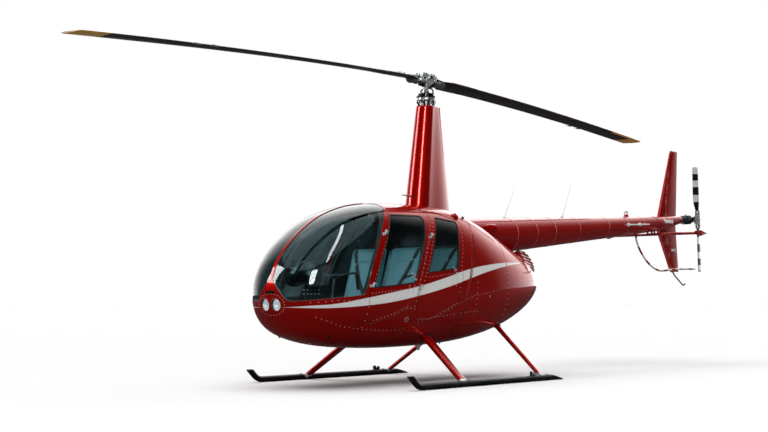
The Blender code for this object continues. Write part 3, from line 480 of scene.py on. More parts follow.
def turned(name: str, profile: Pairs, middle: Sequence[float], axis: Sequence[float],
           sides: int = 48) -> bpy.types.Object:
    """Turn a profile about an axis, as on a lathe.

    Args:
        name: The piece's name.
        profile: Pairs of radius and distance along the axis; a radius of zero closes an end.
        middle: The point from which distances are measured.
        axis: The direction of the axis.
        sides: Number of steps round.

    Returns:
        The closed solid.
    """
    bpy.ops.mesh.primitive_circle_add(vertices=len(profile), fill_type="NOTHING")
    blank = bpy.context.object
    for vertex, (radius, along) in zip(blank.data.vertices, profile):
        vertex.co = (radius, 0.0, along)
    if min(profile[0][0], profile[-1][0]) <= 0:
        shape = bmesh.new()
        shape.from_mesh(blank.data)
        shape.edges.ensure_lookup_table()
        on_axis = [e for e in shape.edges if max(abs(v.co.x) for v in e.verts) < 1e-9]
        bmesh.ops.delete(shape, geom=on_axis, context="EDGES")
        shape.to_mesh(blank.data)
        shape.free()
    Blank(name)
    bpy.ops.mesh.select_all(action="SELECT")
    bpy.ops.mesh.spin(steps=sides, angle=2 * math.pi, center=(0, 0, 0), axis=(0, 0, 1))
    bpy.ops.mesh.select_all(action="SELECT")
    bpy.ops.mesh.remove_doubles(threshold=1e-6)
    bpy.ops.mesh.normals_make_consistent(inside=False)
    bpy.ops.object.mode_set(mode="OBJECT")
    blank.data.transform(Matrix.Translation(Vector(middle)) @ aim(Vector(axis)).to_matrix().to_4x4())
    return smooth(blank, 40)


def rounded(corners: Pairs, bend: float = 6.0) -> list[Vector]:
    """A closed outline with its corners turned by curves.

    Args:
        corners: Columns are the two coordinates and the corner's radius.
        bend: Degrees of turn to each step of a curve.

    Returns:
        The outline's points.
    """
    points = [Vector(corner[:2]) for corner in corners]
    outline = []
    for i, (here, corner) in enumerate(zip(points, corners)):
        back, ahead = points[i - 1] - here, points[(i + 1) % len(points)] - here
        angle = back.angle(ahead)
        reach = min(corner[2] / math.tan(angle / 2), 0.45 * back.length, 0.45 * ahead.length)
        if reach < 1e-4 or angle > math.radians(179):
            outline.append(here)
            continue
        first, last = here + back.normalized() * reach, here + ahead.normalized() * reach
        steps = max(2, math.ceil(math.degrees(math.pi - angle) / bend))
        for step in range(steps + 1):
            t = step / steps
            outline.append((1 - t) ** 2 * first + 2 * t * (1 - t) * here + t**2 * last)
    return outline


def grown(outline: Sequence[Vector], distance: float) -> list[Vector]:
    """An outline moved outwards by a distance, or inwards where it is negative."""
    area = sum(a.x * b.y - b.x * a.y for a, b in zip(outline, [*outline[1:], outline[0]]))
    side = math.copysign(1, area)
    moved = []
    for i, here in enumerate(outline):
        along_in = (here - outline[i - 1]).normalized()
        along_out = (outline[(i + 1) % len(outline)] - here).normalized()
        normal = Vector((along_in.y + along_out.y, -along_in.x - along_out.x)) * side
        normal.normalize()
        facing = normal.dot(Vector((along_in.y, -along_in.x)) * side)
        moved.append(here + normal * distance / max(facing, 0.5))
    return moved


def spread(points: Iterable[Sequence[float]], pitch: float) -> list[Vector]:
    """Points at an even pitch along a line of straight runs, its two ends among them."""
    points = [Vector(p) for p in points]
    lengths = [(b - a).length for a, b in zip(points, points[1:])]
    total = sum(lengths)
    count = max(1, round(total / pitch))
    found = []
    for step in range(count + 1):
        left = total * step / count
        for (a, b), length in zip(zip(points, points[1:]), lengths):
            if left <= length + 1e-9:
                found.append(a.lerp(b, left / length))
                break
            left -= length
    return found


def scatter(name: str, pattern: bpy.types.Object, places: Iterable[Matrix]) -> bpy.types.Object:
    """Repeat one small shape at many places in one mesh, and remove the shape.

    Args:
        name: The new piece's name.
        pattern: The small shape, at the origin with its outside along +Z.
        places: A matrix for each copy.

    Returns:
        The piece that holds every copy.
    """
    mesh = pattern.data
    points = np.array([v.co for v in mesh.vertices])
    faces = [tuple(p.vertices) for p in mesh.polygons]
    every, polygons = [], []
    for number, place in enumerate(places):
        matrix = np.array(place)
        every.append(points @ matrix[:3, :3].T + matrix[:3, 3])
        polygons.extend(tuple(i + number * len(points) for i in face) for face in faces)
    made = bpy.data.meshes.new(name)
    made.from_pydata(np.concatenate(every).tolist(), [], polygons)
    obj = bpy.data.objects.new(name, made)
    bpy.context.scene.collection.objects.link(obj)
    remove(pattern)
    return smooth(obj, 40)


def stand(place: Sequence[float], normal: Sequence[float], spin: float = 0.0) -> Matrix:
    """A place on a surface: +Z along the normal, turned about it by an angle in degrees."""
    turn = aim(Vector(normal)).to_matrix().to_4x4() @ Matrix.Rotation(math.radians(spin), 4, "Z")
    return Matrix.Translation(Vector(place)) @ turn


@dataclass
class Finished:
    """A finished piece, kept out of the scene until all are done, which keeps Blender quick.

    Attributes:
        obj: The piece.
        body: The CAD body that carries it.
        nodes: CAD nodes that it replaces.
        slot: The record's material slot; kept, but not used.
        fill: How tightly it is padded, or 0 where it isn't a cushion; kept, but not used.
    """

    obj: bpy.types.Object
    body: str
    nodes: tuple[str, ...]
    slot: str
    fill: float


FINISHED: list[Finished] = []


def finish_piece(obj: bpy.types.Object, body: str, finish: "Finish | None", slot: str = "",
                 stands_for: Iterable[str] = (), fill: float = 0.0) -> bpy.types.Object:
    """Give a shaped piece its finish, move it to the CAD frame and put it aside.

    Args:
        obj: The piece, in the mast frame.
        body: The CAD body that carries it.
        finish: Its finish; None where its faces have theirs already.
        slot: The record's material slot; by default the finish's own.
        stands_for: CAD nodes that it replaces.
        fill: How tightly it is padded, or 0 where it isn't a cushion.

    Returns:
        The piece.
    """
    if finish is not None:
        obj.data.materials.clear()
        obj.data.materials.append(finish.material())
        slot = slot or finish.slot
    obj.data.transform(Matrix.Translation(DATUM))
    for group in list(obj.users_collection):
        group.objects.unlink(obj)
    FINISHED.append(Finished(obj, body, tuple(stands_for), slot, fill))
    return obj


def hand_over() -> None:
    """Bring every finished piece into the scene, on its body, and hide the CAD nodes that it replaces."""
    for piece in FINISHED:
        bpy.context.scene.collection.objects.link(piece.obj)
        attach(piece.obj, piece.body)
        if piece.nodes:
            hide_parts(*piece.nodes)
        LOG.info("%s rides on %s: %d faces", piece.obj.name, piece.body, len(piece.obj.data.polygons))


@dataclass(frozen=True)
class Finish:
    """One real surface finish, which becomes one node material.

    Attributes:
        name: What the surface is made of, which is the material's name.
        slot: The record's material slot.
        colour: Main colour.
        tone: The colour that the main one drifts to in soft patches.
        patch_mm: Size of those patches.
        roughness: Mean roughness.
        drift: How far roughness drifts either way.
        metallic: 1 for bare metal.
        ior: Index of refraction.
        coat: Weight of a clear coat.
        coat_roughness: Roughness of that coat.
        sheen: Weight of the soft glow of fibres.
        grain_mm: Size of the surface's grain.
        relief_mm: Depth of that grain.
        stretch: How many times longer the grain is along X, Y and Z, as brushing leaves it.
        glow: Strength of its own light, for a lit lamp; on the lamp reflectors it is a painted glow, as they are not
            lit.
        gleam: Specular level of the base under any coat.
    """

    name: str
    slot: str
    colour: str
    tone: str
    patch_mm: float = 400.0
    roughness: float = 0.4
    drift: float = 0.05
    metallic: float = 0.0
    ior: float = 1.5
    coat: float = 0.0
    coat_roughness: float = 0.03
    sheen: float = 0.0
    grain_mm: float = 4.0
    relief_mm: float = 0.02
    stretch: tuple[float, float, float] = (1.0, 1.0, 1.0)
    glow: float = 0.0
    gleam: float = 0.5

    def material(self) -> bpy.types.Material:
        """The node material of this finish, made once."""
        found = bpy.data.materials.get(self.name)
        if found:
            return found
        made = bpy.data.materials.new(self.name)
        made.use_nodes = True
        made.diffuse_color = srgb(self.colour)
        shader = made.node_tree.nodes["Principled BSDF"]
        for socket, value in (("Metallic", self.metallic), ("IOR", self.ior), ("Coat Weight", self.coat),
                              ("Coat Roughness", self.coat_roughness), ("Sheen Weight", self.sheen),
                              ("Specular IOR Level", self.gleam)):
            shader.inputs[socket].default_value = value
        if self.glow:
            shader.inputs["Emission Color"].default_value = srgb(self.colour)
            shader.inputs["Emission Strength"].default_value = self.glow
        self.paint(made.node_tree, shader)
        return made

    def paint(self, tree: bpy.types.NodeTree, shader: bpy.types.Node) -> None:
        """Link what varies over the surface to the shader.

        Args:
            tree: The material's node tree.
            shader: Its Principled BSDF.
        """
        place = add_node(tree, "ShaderNodeTexCoord").outputs["Object"]
        patches = add_node(tree, "ShaderNodeTexNoise", {"Scale": 1000 / self.patch_mm, "Detail": 4.0}, {"Vector": place})
        self.colour_from(tree, shader, place, patches)
        rough = add_node(tree, "ShaderNodeMapRange", {3: self.roughness - self.drift, 4: self.roughness + self.drift,
                                                      1: 0.3, 2: 0.7}, {0: patches})
        tree.links.new(rough.outputs[0], shader.inputs["Roughness"])
        along = add_node(tree, "ShaderNodeMapping", {"Scale": tuple(1 / s for s in self.stretch)}, {"Vector": place})
        grain = add_node(tree, "ShaderNodeTexNoise", {"Scale": 1000 / self.grain_mm, "Detail": 2.0}, {"Vector": along})
        bump = add_node(tree, "ShaderNodeBump", {"Distance": self.relief_mm / 1000}, {"Height": grain})
        tree.links.new(bump.outputs[0], shader.inputs["Normal"])

    def colour_from(self, tree: bpy.types.NodeTree, shader: bpy.types.Node, place: bpy.types.NodeSocket,
                    patches: bpy.types.Node) -> bpy.types.Node:
        """Drift from the main colour to the tone by the patches.

        Args:
            tree: The material's node tree.
            shader: Its Principled BSDF.
            place: Object coordinates.
            patches: The soft noise.

        Returns:
            The node whose result is the base colour.
        """
        mix = add_node(tree, "ShaderNodeMix", {"data_type": "RGBA", 6: srgb(self.colour), 7: srgb(self.tone)},
                       {0: patches})
        tree.links.new(mix.outputs[2], shader.inputs["Base Color"])
        return mix


# The white band on the body's sides. Columns: y, z of its upper edge, z of its lower edge
STRIPE = (
    (-2.48, 0.770, 0.800), (-2.372, 0.796, 0.795), (-2.24, 0.812, 0.789), (-2.09, 0.823, 0.789),
    (-1.70, 0.883, 0.811), (-1.38, 0.933, 0.840), (-0.918, 1.004, 0.909), (-0.506, 1.089, 0.986),
    (-0.07, 1.188, 1.089), (0.315, 1.243, 1.175), (0.656, 1.270, 1.229), (1.00, 1.281, 1.265),
    (1.25, 1.285, 1.286), (1.45, 1.270, 1.300),
)
STRIPE_Y, STRIPE_Z = (-2.5, 1.5), (0.70, 1.40)
STRIPE_EDGE_MM = 1.5


@dataclass(frozen=True)
class StripedPaint(Finish):
    """Metallic red paint under clear coat, with the white band masked in along the body's sides.

    Attributes:
        band: Colour of the band.
        flake_mm: Size of the metal flakes, drawn coarser than they are so that they show.
    """

    band: str = "#FAFAF8"
    flake_mm: float = 2.2

    def band_mask(self, tree: bpy.types.NodeTree, place: bpy.types.NodeSocket) -> bpy.types.Node:
        """Work out where the band lies, from the side view's Y and Z.

        Args:
            tree: The material's node tree.
            place: Object coordinates.

        Returns:
            A node that gives 1 on the band.
        """
        parts = add_node(tree, "ShaderNodeSeparateXYZ", None, {0: place})
        aft = add_node(tree, "ShaderNodeMapRange", {1: STRIPE_Y[0] + DATUM.y, 2: STRIPE_Y[1] + DATUM.y},
                       {0: parts.outputs[Y]})
        height = add_node(tree, "ShaderNodeMapRange", {1: STRIPE_Z[0], 2: STRIPE_Z[1]}, {0: parts.outputs[Z]})
        soft = STRIPE_EDGE_MM / 1000 / (STRIPE_Z[1] - STRIPE_Z[0])
        sides = []
        for column, order in ((1, (1, 0)), (2, (0, 1))):
            edge = add_node(tree, "ShaderNodeFloatCurve", None, {"Value": aft})
            points = edge.mapping.curves[0].points
            spots = [((row[0] - STRIPE_Y[0]) / (STRIPE_Y[1] - STRIPE_Y[0]),
                      (row[column] - STRIPE_Z[0]) / (STRIPE_Z[1] - STRIPE_Z[0])) for row in STRIPE]
            for spot in spots[1:-1]:
                points.new(*spot)
            points[0].location, points[-1].location = spots[0], spots[-1]
            edge.mapping.update()
            gap = add_node(tree, "ShaderNodeMath", {"operation": "SUBTRACT"}, {order[0]: height, order[1]: edge})
            sides.append(add_node(tree, "ShaderNodeMapRange", {"interpolation_type": "SMOOTHSTEP", 1: -soft, 2: soft},
                                  {0: gap}))
        return add_node(tree, "ShaderNodeMath", {"operation": "MULTIPLY"}, {0: sides[0], 1: sides[1]})

    def colour_from(self, tree: bpy.types.NodeTree, shader: bpy.types.Node, place: bpy.types.NodeSocket,
                    patches: bpy.types.Node) -> bpy.types.Node:
        """Red with flakes, and the band's white over it."""
        red = super().colour_from(tree, shader, place, patches)
        flakes = add_node(tree, "ShaderNodeTexVoronoi", {"Scale": 1000 / self.flake_mm}, {"Vector": place})
        lift = add_node(tree, "ShaderNodeMapRange", {3: 0.86, 4: 1.14}, {0: flakes.outputs["Color"]})
        flaked = add_node(tree, "ShaderNodeMix", {"data_type": "RGBA", "blend_type": "MULTIPLY", 0: 1.0},
                          {6: red.outputs[2], 7: lift})
        mask = self.band_mask(tree, place)
        both = add_node(tree, "ShaderNodeMix", {"data_type": "RGBA", 7: srgb(self.band)},
                        {0: mask, 6: flaked.outputs[2]})
        tree.links.new(both.outputs[2], shader.inputs["Base Color"])
        metal = add_node(tree, "ShaderNodeMapRange", {3: self.metallic, 4: 0.0}, {0: mask})
        tree.links.new(metal.outputs[0], shader.inputs["Metallic"])
        return both


@dataclass(frozen=True)
class ClearGlass(Finish):
    """A clear or tinted pane that lets lamps through.

    Attributes:
        daylight: Colour of the light that gets in through one face.
    """

    daylight: str = "#DDE6E6"

    def paint(self, tree: bpy.types.NodeTree, shader: bpy.types.Node) -> None:
        """Make the shader glass, and transparent to lamps."""
        place = add_node(tree, "ShaderNodeTexCoord").outputs["Object"]
        patches = add_node(tree, "ShaderNodeTexNoise", {"Scale": 1000 / self.patch_mm}, {"Vector": place})
        self.colour_from(tree, shader, place, patches)
        shader.inputs["Roughness"].default_value = self.roughness
        shader.inputs["Transmission Weight"].default_value = 1.0
        clear = add_node(tree, "ShaderNodeBsdfTransparent", {"Color": srgb(self.daylight)})
        path = add_node(tree, "ShaderNodeLightPath")
        both = add_node(tree, "ShaderNodeMixShader", None, {0: path.outputs["Is Shadow Ray"], 1: shader, 2: clear})
        tree.links.new(both.outputs[0], tree.nodes["Material Output"].inputs["Surface"])


@dataclass(frozen=True)
class WornFinish(Finish):
    """A coat that is worn off near a height, down to what lies under it.

    Attributes:
        under: Colour of the metal below.
        worn_from: Height where wear is full.
        worn_to: Height where it ends.
        chip_mm: Size of the chips at the edge of the wear.
    """

    under: str = "#9A9B9C"
    worn_from: float = 0.004
    worn_to: float = 0.030
    chip_mm: float = 22.0

    def colour_from(self, tree: bpy.types.NodeTree, shader: bpy.types.Node, place: bpy.types.NodeSocket,
                    patches: bpy.types.Node) -> bpy.types.Node:
        """Scuff the coat off by height, with a chipped edge."""
        coat = super().colour_from(tree, shader, place, patches)
        parts = add_node(tree, "ShaderNodeSeparateXYZ", None, {0: place})
        low = add_node(tree, "ShaderNodeMapRange", {1: self.worn_from, 2: self.worn_to, 3: 0.75, 4: -0.15},
                       {0: parts.outputs[Z]})
        chips = add_node(tree, "ShaderNodeTexNoise", {"Scale": 1000 / self.chip_mm, "Detail": 6.0}, {"Vector": place})
        worn = add_node(tree, "ShaderNodeMath", {"operation": "ADD"}, {0: low, 1: chips})
        bare = add_node(tree, "ShaderNodeMapRange", {1: 0.92, 2: 1.0}, {0: worn})
        both = add_node(tree, "ShaderNodeMix", {"data_type": "RGBA", 7: srgb(self.under)}, {0: bare, 6: coat.outputs[2]})
        tree.links.new(both.outputs[2], shader.inputs["Base Color"])
        tree.links.new(bare.outputs[0], shader.inputs["Metallic"])
        return both


@dataclass(frozen=True)
class WovenFinish(Finish):
    """Cloth of crossing threads, drawn by two bands of waves.

    Attributes:
        thread_mm: Spacing of the threads, drawn coarse enough to show.
    """

    thread_mm: float = 3.0

    def paint(self, tree: bpy.types.NodeTree, shader: bpy.types.Node) -> None:
        """Cross two sets of threads, in colour and in height."""
        super().paint(tree, shader)
        place = add_node(tree, "ShaderNodeTexCoord").outputs["Object"]
        sets = [add_node(tree, "ShaderNodeTexWave", {"bands_direction": axis, "Scale": 1000 / self.thread_mm / 20 * math.pi,
                                                     "Distortion": 0.6}, {"Vector": place})
                for axis in ("DIAGONAL", "Z")]
        cross = add_node(tree, "ShaderNodeMath", {"operation": "MULTIPLY"}, {0: sets[0].outputs["Fac"],
                                                                            1: sets[1].outputs["Fac"]})
        bump = add_node(tree, "ShaderNodeBump", {"Distance": self.relief_mm / 1000}, {"Height": cross})
        tree.links.new(bump.outputs[0], shader.inputs["Normal"])


@dataclass(frozen=True)
class Leather(Finish):
    """Upholstery leather: small round cells with creases between, and wider soft wrinkles."""

    def paint(self, tree: bpy.types.NodeTree, shader: bpy.types.Node) -> None:
        """Raise the cells of the grain."""
        super().paint(tree, shader)
        place = add_node(tree, "ShaderNodeTexCoord").outputs["Object"]
        cells = add_node(tree, "ShaderNodeTexVoronoi", {"feature": "DISTANCE_TO_EDGE", "Scale": 1000 / self.grain_mm},
                         {"Vector": place})
        flat = add_node(tree, "ShaderNodeMapRange", {1: 0.0, 2: 0.25}, {0: cells})
        folds = add_node(tree, "ShaderNodeTexNoise", {"Scale": 14.0, "Detail": 3.0}, {"Vector": place})
        height = add_node(tree, "ShaderNodeMath", {"operation": "MULTIPLY_ADD", 1: 4.0}, {0: folds, 2: flat})
        bump = add_node(tree, "ShaderNodeBump", {"Distance": self.relief_mm / 1000}, {"Height": height})
        tree.links.new(bump.outputs[0], shader.inputs["Normal"])


# Two-coat aircraft polyurethane, sprayed and polished: deep red that turns bright where light lands, wet gloss
RED_PAINT = StripedPaint("red_metallic_polyurethane_paint", "red_paint", "#C00C03", "#AC0902", roughness=0.36,
                         drift=0.03, metallic=0.5, coat=1.0, coat_roughness=0.02, grain_mm=14.0, relief_mm=0.012,
                         gleam=0.0)
# Sprayed white polyurethane: even and glossy, a little grey in the shade
WHITE_PAINT = Finish("white_polyurethane_paint", "white_paint", "#FAFAF7", "#EFEFEA", roughness=0.28, coat=0.7)
# Sprayed red polyurethane without the band, for small parts
PLAIN_RED = Finish("red_polyurethane_enamel", "red_paint", "#C00C03", "#AC0902", roughness=0.36, metallic=0.5, coat=1.0,
                   coat_roughness=0.02, gleam=0.0)
# Cast acrylic with a grey-green tint: dark from outside, with hard bright reflections
TINTED_ACRYLIC = ClearGlass("tinted_cast_acrylic", "glazing", "#A6C2C7", "#9DBAC0", roughness=0.0, ior=1.49,
                            daylight="#F4FAFA")
# Clear borosilicate lens: bright, with a thin rim of reflections
CLEAR_LENS = ClearGlass("clear_borosilicate_lens", "lamp_glass", "#F4F7F8", "#EEF2F4", roughness=0.01, ior=1.47)
# Red polycarbonate beacon lens
RED_LENS = ClearGlass("red_polycarbonate_lens", "lamp_glass", "#D81B12", "#B8120C", roughness=0.04, ior=1.58,
                      daylight="#E06058")
# Vacuum-plated reflector: near-white mirror, with a painted glow that makes the unlit lamps' bowls and bulbs look lit
REFLECTOR_PAINTED_GLOW = Finish("aluminised_reflector", "lamp_glass", "#EEF4F6", "#DCE8EC", roughness=0.20, drift=0.05, metallic=0.35,
                   grain_mm=9.0, relief_mm=0.4, glow=0.35)
# Moulded EPDM rubber: black, dull, with a faint bloom
RUBBER = Finish("black_epdm_rubber", "black_enamel", "#141414", "#1D1D1C", roughness=0.62, grain_mm=1.2, relief_mm=0.05)
# Vacuum-formed vinyl cabin trim: near black with a fine pebble
TRIM = Finish("black_vinyl_trim", "console_black", "#0E0F10", "#141516", roughness=0.55, grain_mm=2.0, relief_mm=0.12)
# Foam-backed headliner cloth, black and soft
HEADLINER = WovenFinish("black_headliner_cloth", "console_black", "#0B0C0D", "#111213", roughness=0.9, sheen=0.3,
                        relief_mm=0.3)
# Dyed cowhide: blue-grey, satin on its crowns and dull in its creases
LEATHER = Leather("blue_grey_seat_leather", "seat_leather", "#9CC6CF", "#8BB4BD", patch_mm=90.0, roughness=0.46,
                  drift=0.08, sheen=0.15, grain_mm=3.2, relief_mm=0.25)
# The same hide folded over a cord at the seams, a shade darker
PIPING = Leather("dark_seat_piping", "seat_leather", "#66878F", "#587983", patch_mm=60.0, roughness=0.5, grain_mm=3.0,
                 relief_mm=0.15)
# Woven nylon belt webbing, dark brown with a dull shine
WEBBING = WovenFinish("brown_nylon_webbing", "seat_leather", "#3B2B22", "#2C2019", roughness=0.65, sheen=0.4,
                      relief_mm=0.5, thread_mm=4.0)
# Cut-pile wool carpet, charcoal, with no shine at all
CARPET = Finish("charcoal_pile_carpet", "floor_carpet", "#17181A", "#202124", patch_mm=60.0, roughness=0.95, sheen=0.3,
                grain_mm=5.0, relief_mm=1.6)
# Gelcoated fibreglass pod, gloss black with soft lamp streaks
POD_BLACK = Finish("gloss_black_gelcoat", "console_black", "#0B0C0D", "#101112", roughness=0.18, drift=0.03, coat=0.5,
                   grain_mm=9.0, relief_mm=0.02)
# Textured black panel paint around the dials
PANEL_BLACK = Finish("black_crinkle_panel_paint", "console_black", "#101112", "#161718", roughness=0.5, grain_mm=1.5,
                     relief_mm=0.12)
# Printed dial marks, off-white and flat
DIAL_WHITE = Finish("printed_dial_white", "console_black", "#E6E4DA", "#DAD8CC", roughness=0.6, relief_mm=0.0)
# Small lit indicator lamps
LAMP_AMBER = Finish("amber_indicator_lamp", "lamp_glass", "#E7A13A", "#D98E26", roughness=0.3, glow=0.6)
# Turned and plated alloy steel: bright silver with fine tool lines
STEEL = Finish("cadmium_plated_steel", "steel", "#E2E6E8", "#C4C9CC", patch_mm=60.0, roughness=0.30, drift=0.08,
               metallic=0.65, grain_mm=1.2, relief_mm=0.02, stretch=(1.0, 1.0, 6.0))
# Machined aluminium, a shade darker and softer than the steel
ALUMINIUM = Finish("machined_aluminium", "steel", "#CDD3D6", "#AEB5B9", patch_mm=80.0, roughness=0.36, drift=0.08,
                   metallic=0.6, grain_mm=1.5, relief_mm=0.03)
# Black-oxide steel: dark bolts and rings with a low sheen
BLACK_STEEL = Finish("black_oxide_steel", "black_enamel", "#26272A", "#1B1C1E", patch_mm=50.0, roughness=0.38,
                     metallic=0.8)
# Baked black enamel, glossy, for brackets and boxes
BLACK_ENAMEL = Finish("baked_black_enamel", "black_enamel", "#151617", "#1D1E1F", roughness=0.3, coat=0.4)
# The same enamel on the skids, scraped to steel along the ground line
SKID_ENAMEL = WornFinish("scuffed_black_skid_enamel", "black_enamel", "#0C0D0E", "#131415", patch_mm=120.0,
                         roughness=0.34, drift=0.1, coat=0.2)
# Sprayed epoxy blade paint, near black, semi-matt
BLADE_PAINT = Finish("black_epoxy_blade_paint", "blade_paint", "#101113", "#181A1C", patch_mm=300.0, roughness=0.40,
                     drift=0.08, coat=0.15, relief_mm=0.03)
# Yellow tip paint, warm and slightly chalked
TIP_YELLOW = Finish("yellow_tip_paint", "blade_paint", "#D9A548", "#C68F33", patch_mm=60.0, roughness=0.4, coat=0.3)
# Bonded steel on the blade's leading edge, polished by rain
EDGE_STEEL = Finish("polished_leading_edge_steel", "blade_paint", "#8D8F92", "#6F7174", patch_mm=120.0, roughness=0.3,
                    drift=0.1, metallic=1.0, stretch=(1.0, 12.0, 1.0))
# Painted blade grips, grey-green epoxy primer over forgings
GRIP_GREY = Finish("grey_green_epoxy_primer", "blade_paint", "#59666A", "#49565A", patch_mm=60.0, roughness=0.42,
                   metallic=0.2)
# Sand-cast aluminium crankcase, grey with an orange-peel skin
CAST_METAL = Finish("sand_cast_aluminium", "engine_metal", "#7E8082", "#6A6C6E", patch_mm=70.0, roughness=0.5,
                    drift=0.1, metallic=0.9, grain_mm=3.0, relief_mm=0.25)
# Stainless firewall sheet, dull grey with rolling marks
FIREWALL = Finish("stainless_firewall_sheet", "bulkhead_metal", "#8C8D8B", "#7B7C7A", patch_mm=150.0, roughness=0.42,
                  drift=0.08, metallic=0.9, stretch=(8.0, 1.0, 1.0))
# Sand-cast gearbox with a thin coat of dark grey enamel, drifting to a paler grey in small patches at random
GEARBOX_GREY = Finish("rubbed_grey_gearbox_enamel", "black_enamel", "#3A3C3F", "#5E6265", patch_mm=18.0, roughness=0.36,
                      drift=0.1, metallic=0.6, grain_mm=3.0, relief_mm=0.15)
# Dark red enamel on the sprung tail skid, dulled by grit
DARK_RED = Finish("dull_dark_red_enamel", "red_paint", "#5A0A06", "#3E0604", patch_mm=60.0, roughness=0.42, coat=0.3)
# Clear-coated strip over the fins' leading edges, the brightest red on the tail: a painted highlight along the rounded
# edge
RED_PAINTED_EDGE_HIGHLIGHT = Finish("bright_red_edge_tape", "red_paint", "#E81408", "#D81006", roughness=0.30, coat=0.6)
# Dark sealant in the lap seams of the skin
SEALANT = Finish("dark_red_seam_sealant", "red_paint", "#5A0804", "#480603", roughness=0.5)
# Rivet heads under the same paint, drawn much paler than it: a painted glint on each dome, so that they show as bright
# dots
RIVET_PAINTED_GLINT = Finish("polished_rivet_heads", "red_paint", "#F2C2BA", "#E3A097", patch_mm=40.0, roughness=0.25,
                   coat=0.6)


# Fuselage sections. Columns: y, z bottom, z top, half width, z of widest, upper exponent, lower exponent
BODY_SECTIONS = (
    (-2.405, 0.920, 0.920, 0.000, 0.920, 2.00, 2.00),
    (-2.375, 0.735, 1.105, 0.200, 0.920, 2.10, 2.10),
    (-2.260, 0.570, 1.305, 0.390, 0.930, 2.25, 2.25),
    (-2.040, 0.475, 1.512, 0.530, 0.940, 2.40, 2.35),
    (-1.700, 0.410, 1.715, 0.618, 0.955, 2.50, 2.40),
    (-1.250, 0.378, 1.840, 0.648, 0.970, 2.60, 2.45),
    (-0.700, 0.372, 1.875, 0.650, 0.980, 2.70, 2.50),
    (0.000, 0.395, 1.865, 0.645, 0.990, 2.70, 2.50),
    (0.500, 0.448, 1.750, 0.620, 1.000, 2.50, 2.40),
    (1.000, 0.550, 1.570, 0.540, 1.020, 2.30, 2.30),
    (1.450, 0.705, 1.400, 0.410, 1.040, 2.20, 2.20),
    (1.780, 0.880, 1.245, 0.235, 1.050, 2.10, 2.10),
    (1.910, 0.990, 1.130, 0.100, 1.055, 2.00, 2.00),
    (1.930, 1.058, 1.058, 0.000, 1.058, 2.00, 2.00),
)
# Outlines on the side of the body. Columns: y, z, corner radius
WINDSHIELD = (
    (-2.60, 0.850, 0.0), (-2.350, 0.855, 0.5), (-1.720, 0.915, 0.03), (-1.586, 1.234, 0.8),
    (-1.469, 1.424, 0.8), (-1.345, 1.590, 0.6), (-1.180, 1.752, 0.3), (-1.080, 1.815, 0.2),
    (-1.040, 2.100, 0.0), (-2.60, 2.100, 0.0),
)
FRONT_DOOR = (
    (-1.062, 1.800, 0.03), (-0.530, 1.797, 0.03), (-0.622, 1.638, 0.5), (-0.784, 1.372, 0.6),
    (-0.918, 1.065, 0.6), (-1.003, 0.762, 0.06), (-1.100, 0.785, 0.2), (-1.344, 0.692, 0.5),
    (-1.560, 0.640, 0.15), (-1.652, 0.652, 0.06), (-1.660, 0.894, 0.5), (-1.560, 1.180, 0.6),
    (-1.430, 1.405, 0.6), (-1.300, 1.580, 0.6), (-1.135, 1.740, 0.3),
)
REAR_DOOR = (
    (-0.492, 1.792, 0.02), (-0.226, 1.752, 0.5), (-0.035, 1.703, 0.05), (-0.100, 1.500, 0.6),
    (-0.190, 1.120, 0.6), (-0.215, 0.950, 0.3), (-0.285, 0.825, 0.04), (-0.534, 0.719, 0.6),
    (-0.740, 0.645, 0.3), (-0.880, 0.640, 0.08), (-0.968, 0.760, 0.2), (-0.884, 1.065, 0.6),
    (-0.750, 1.372, 0.6), (-0.588, 1.638, 0.5),
)
FRONT_WINDOW = (
    (-1.132, 1.726, 0.015), (-0.630, 1.736, 0.05), (-0.767, 1.475, 0.8), (-0.888, 1.247, 0.8),
    (-0.995, 1.035, 0.04), (-1.600, 0.982, 0.02), (-1.506, 1.226, 0.8), (-1.373, 1.427, 0.8),
    (-1.259, 1.585, 0.5),
)
REAR_WINDOW = (
    (-0.440, 1.727, 0.02), (-0.105, 1.693, 0.03), (-0.171, 1.548, 0.6), (-0.227, 1.386, 0.6),
    (-0.262, 1.195, 0.05), (-0.785, 1.137, 0.02), (-0.725, 1.250, 0.8), (-0.638, 1.428, 0.8),
    (-0.527, 1.609, 0.8),
)
# Nose panel seen from ahead. Columns: x, z, corner radius
NOSE_PANEL = (
    (0.0, 1.085, 0.03), (0.205, 0.850, 0.02), (0.205, 0.700, 0.0), (-0.205, 0.700, 0.0), (-0.205, 0.850, 0.02),
)
# Middle line of the pillar between the doors. Columns: y, z
PILLAR_LINE = (
    (-0.500, 1.830), (-0.605, 1.638), (-0.767, 1.372), (-0.901, 1.065), (-0.988, 0.753), (-1.010, 0.600),
)


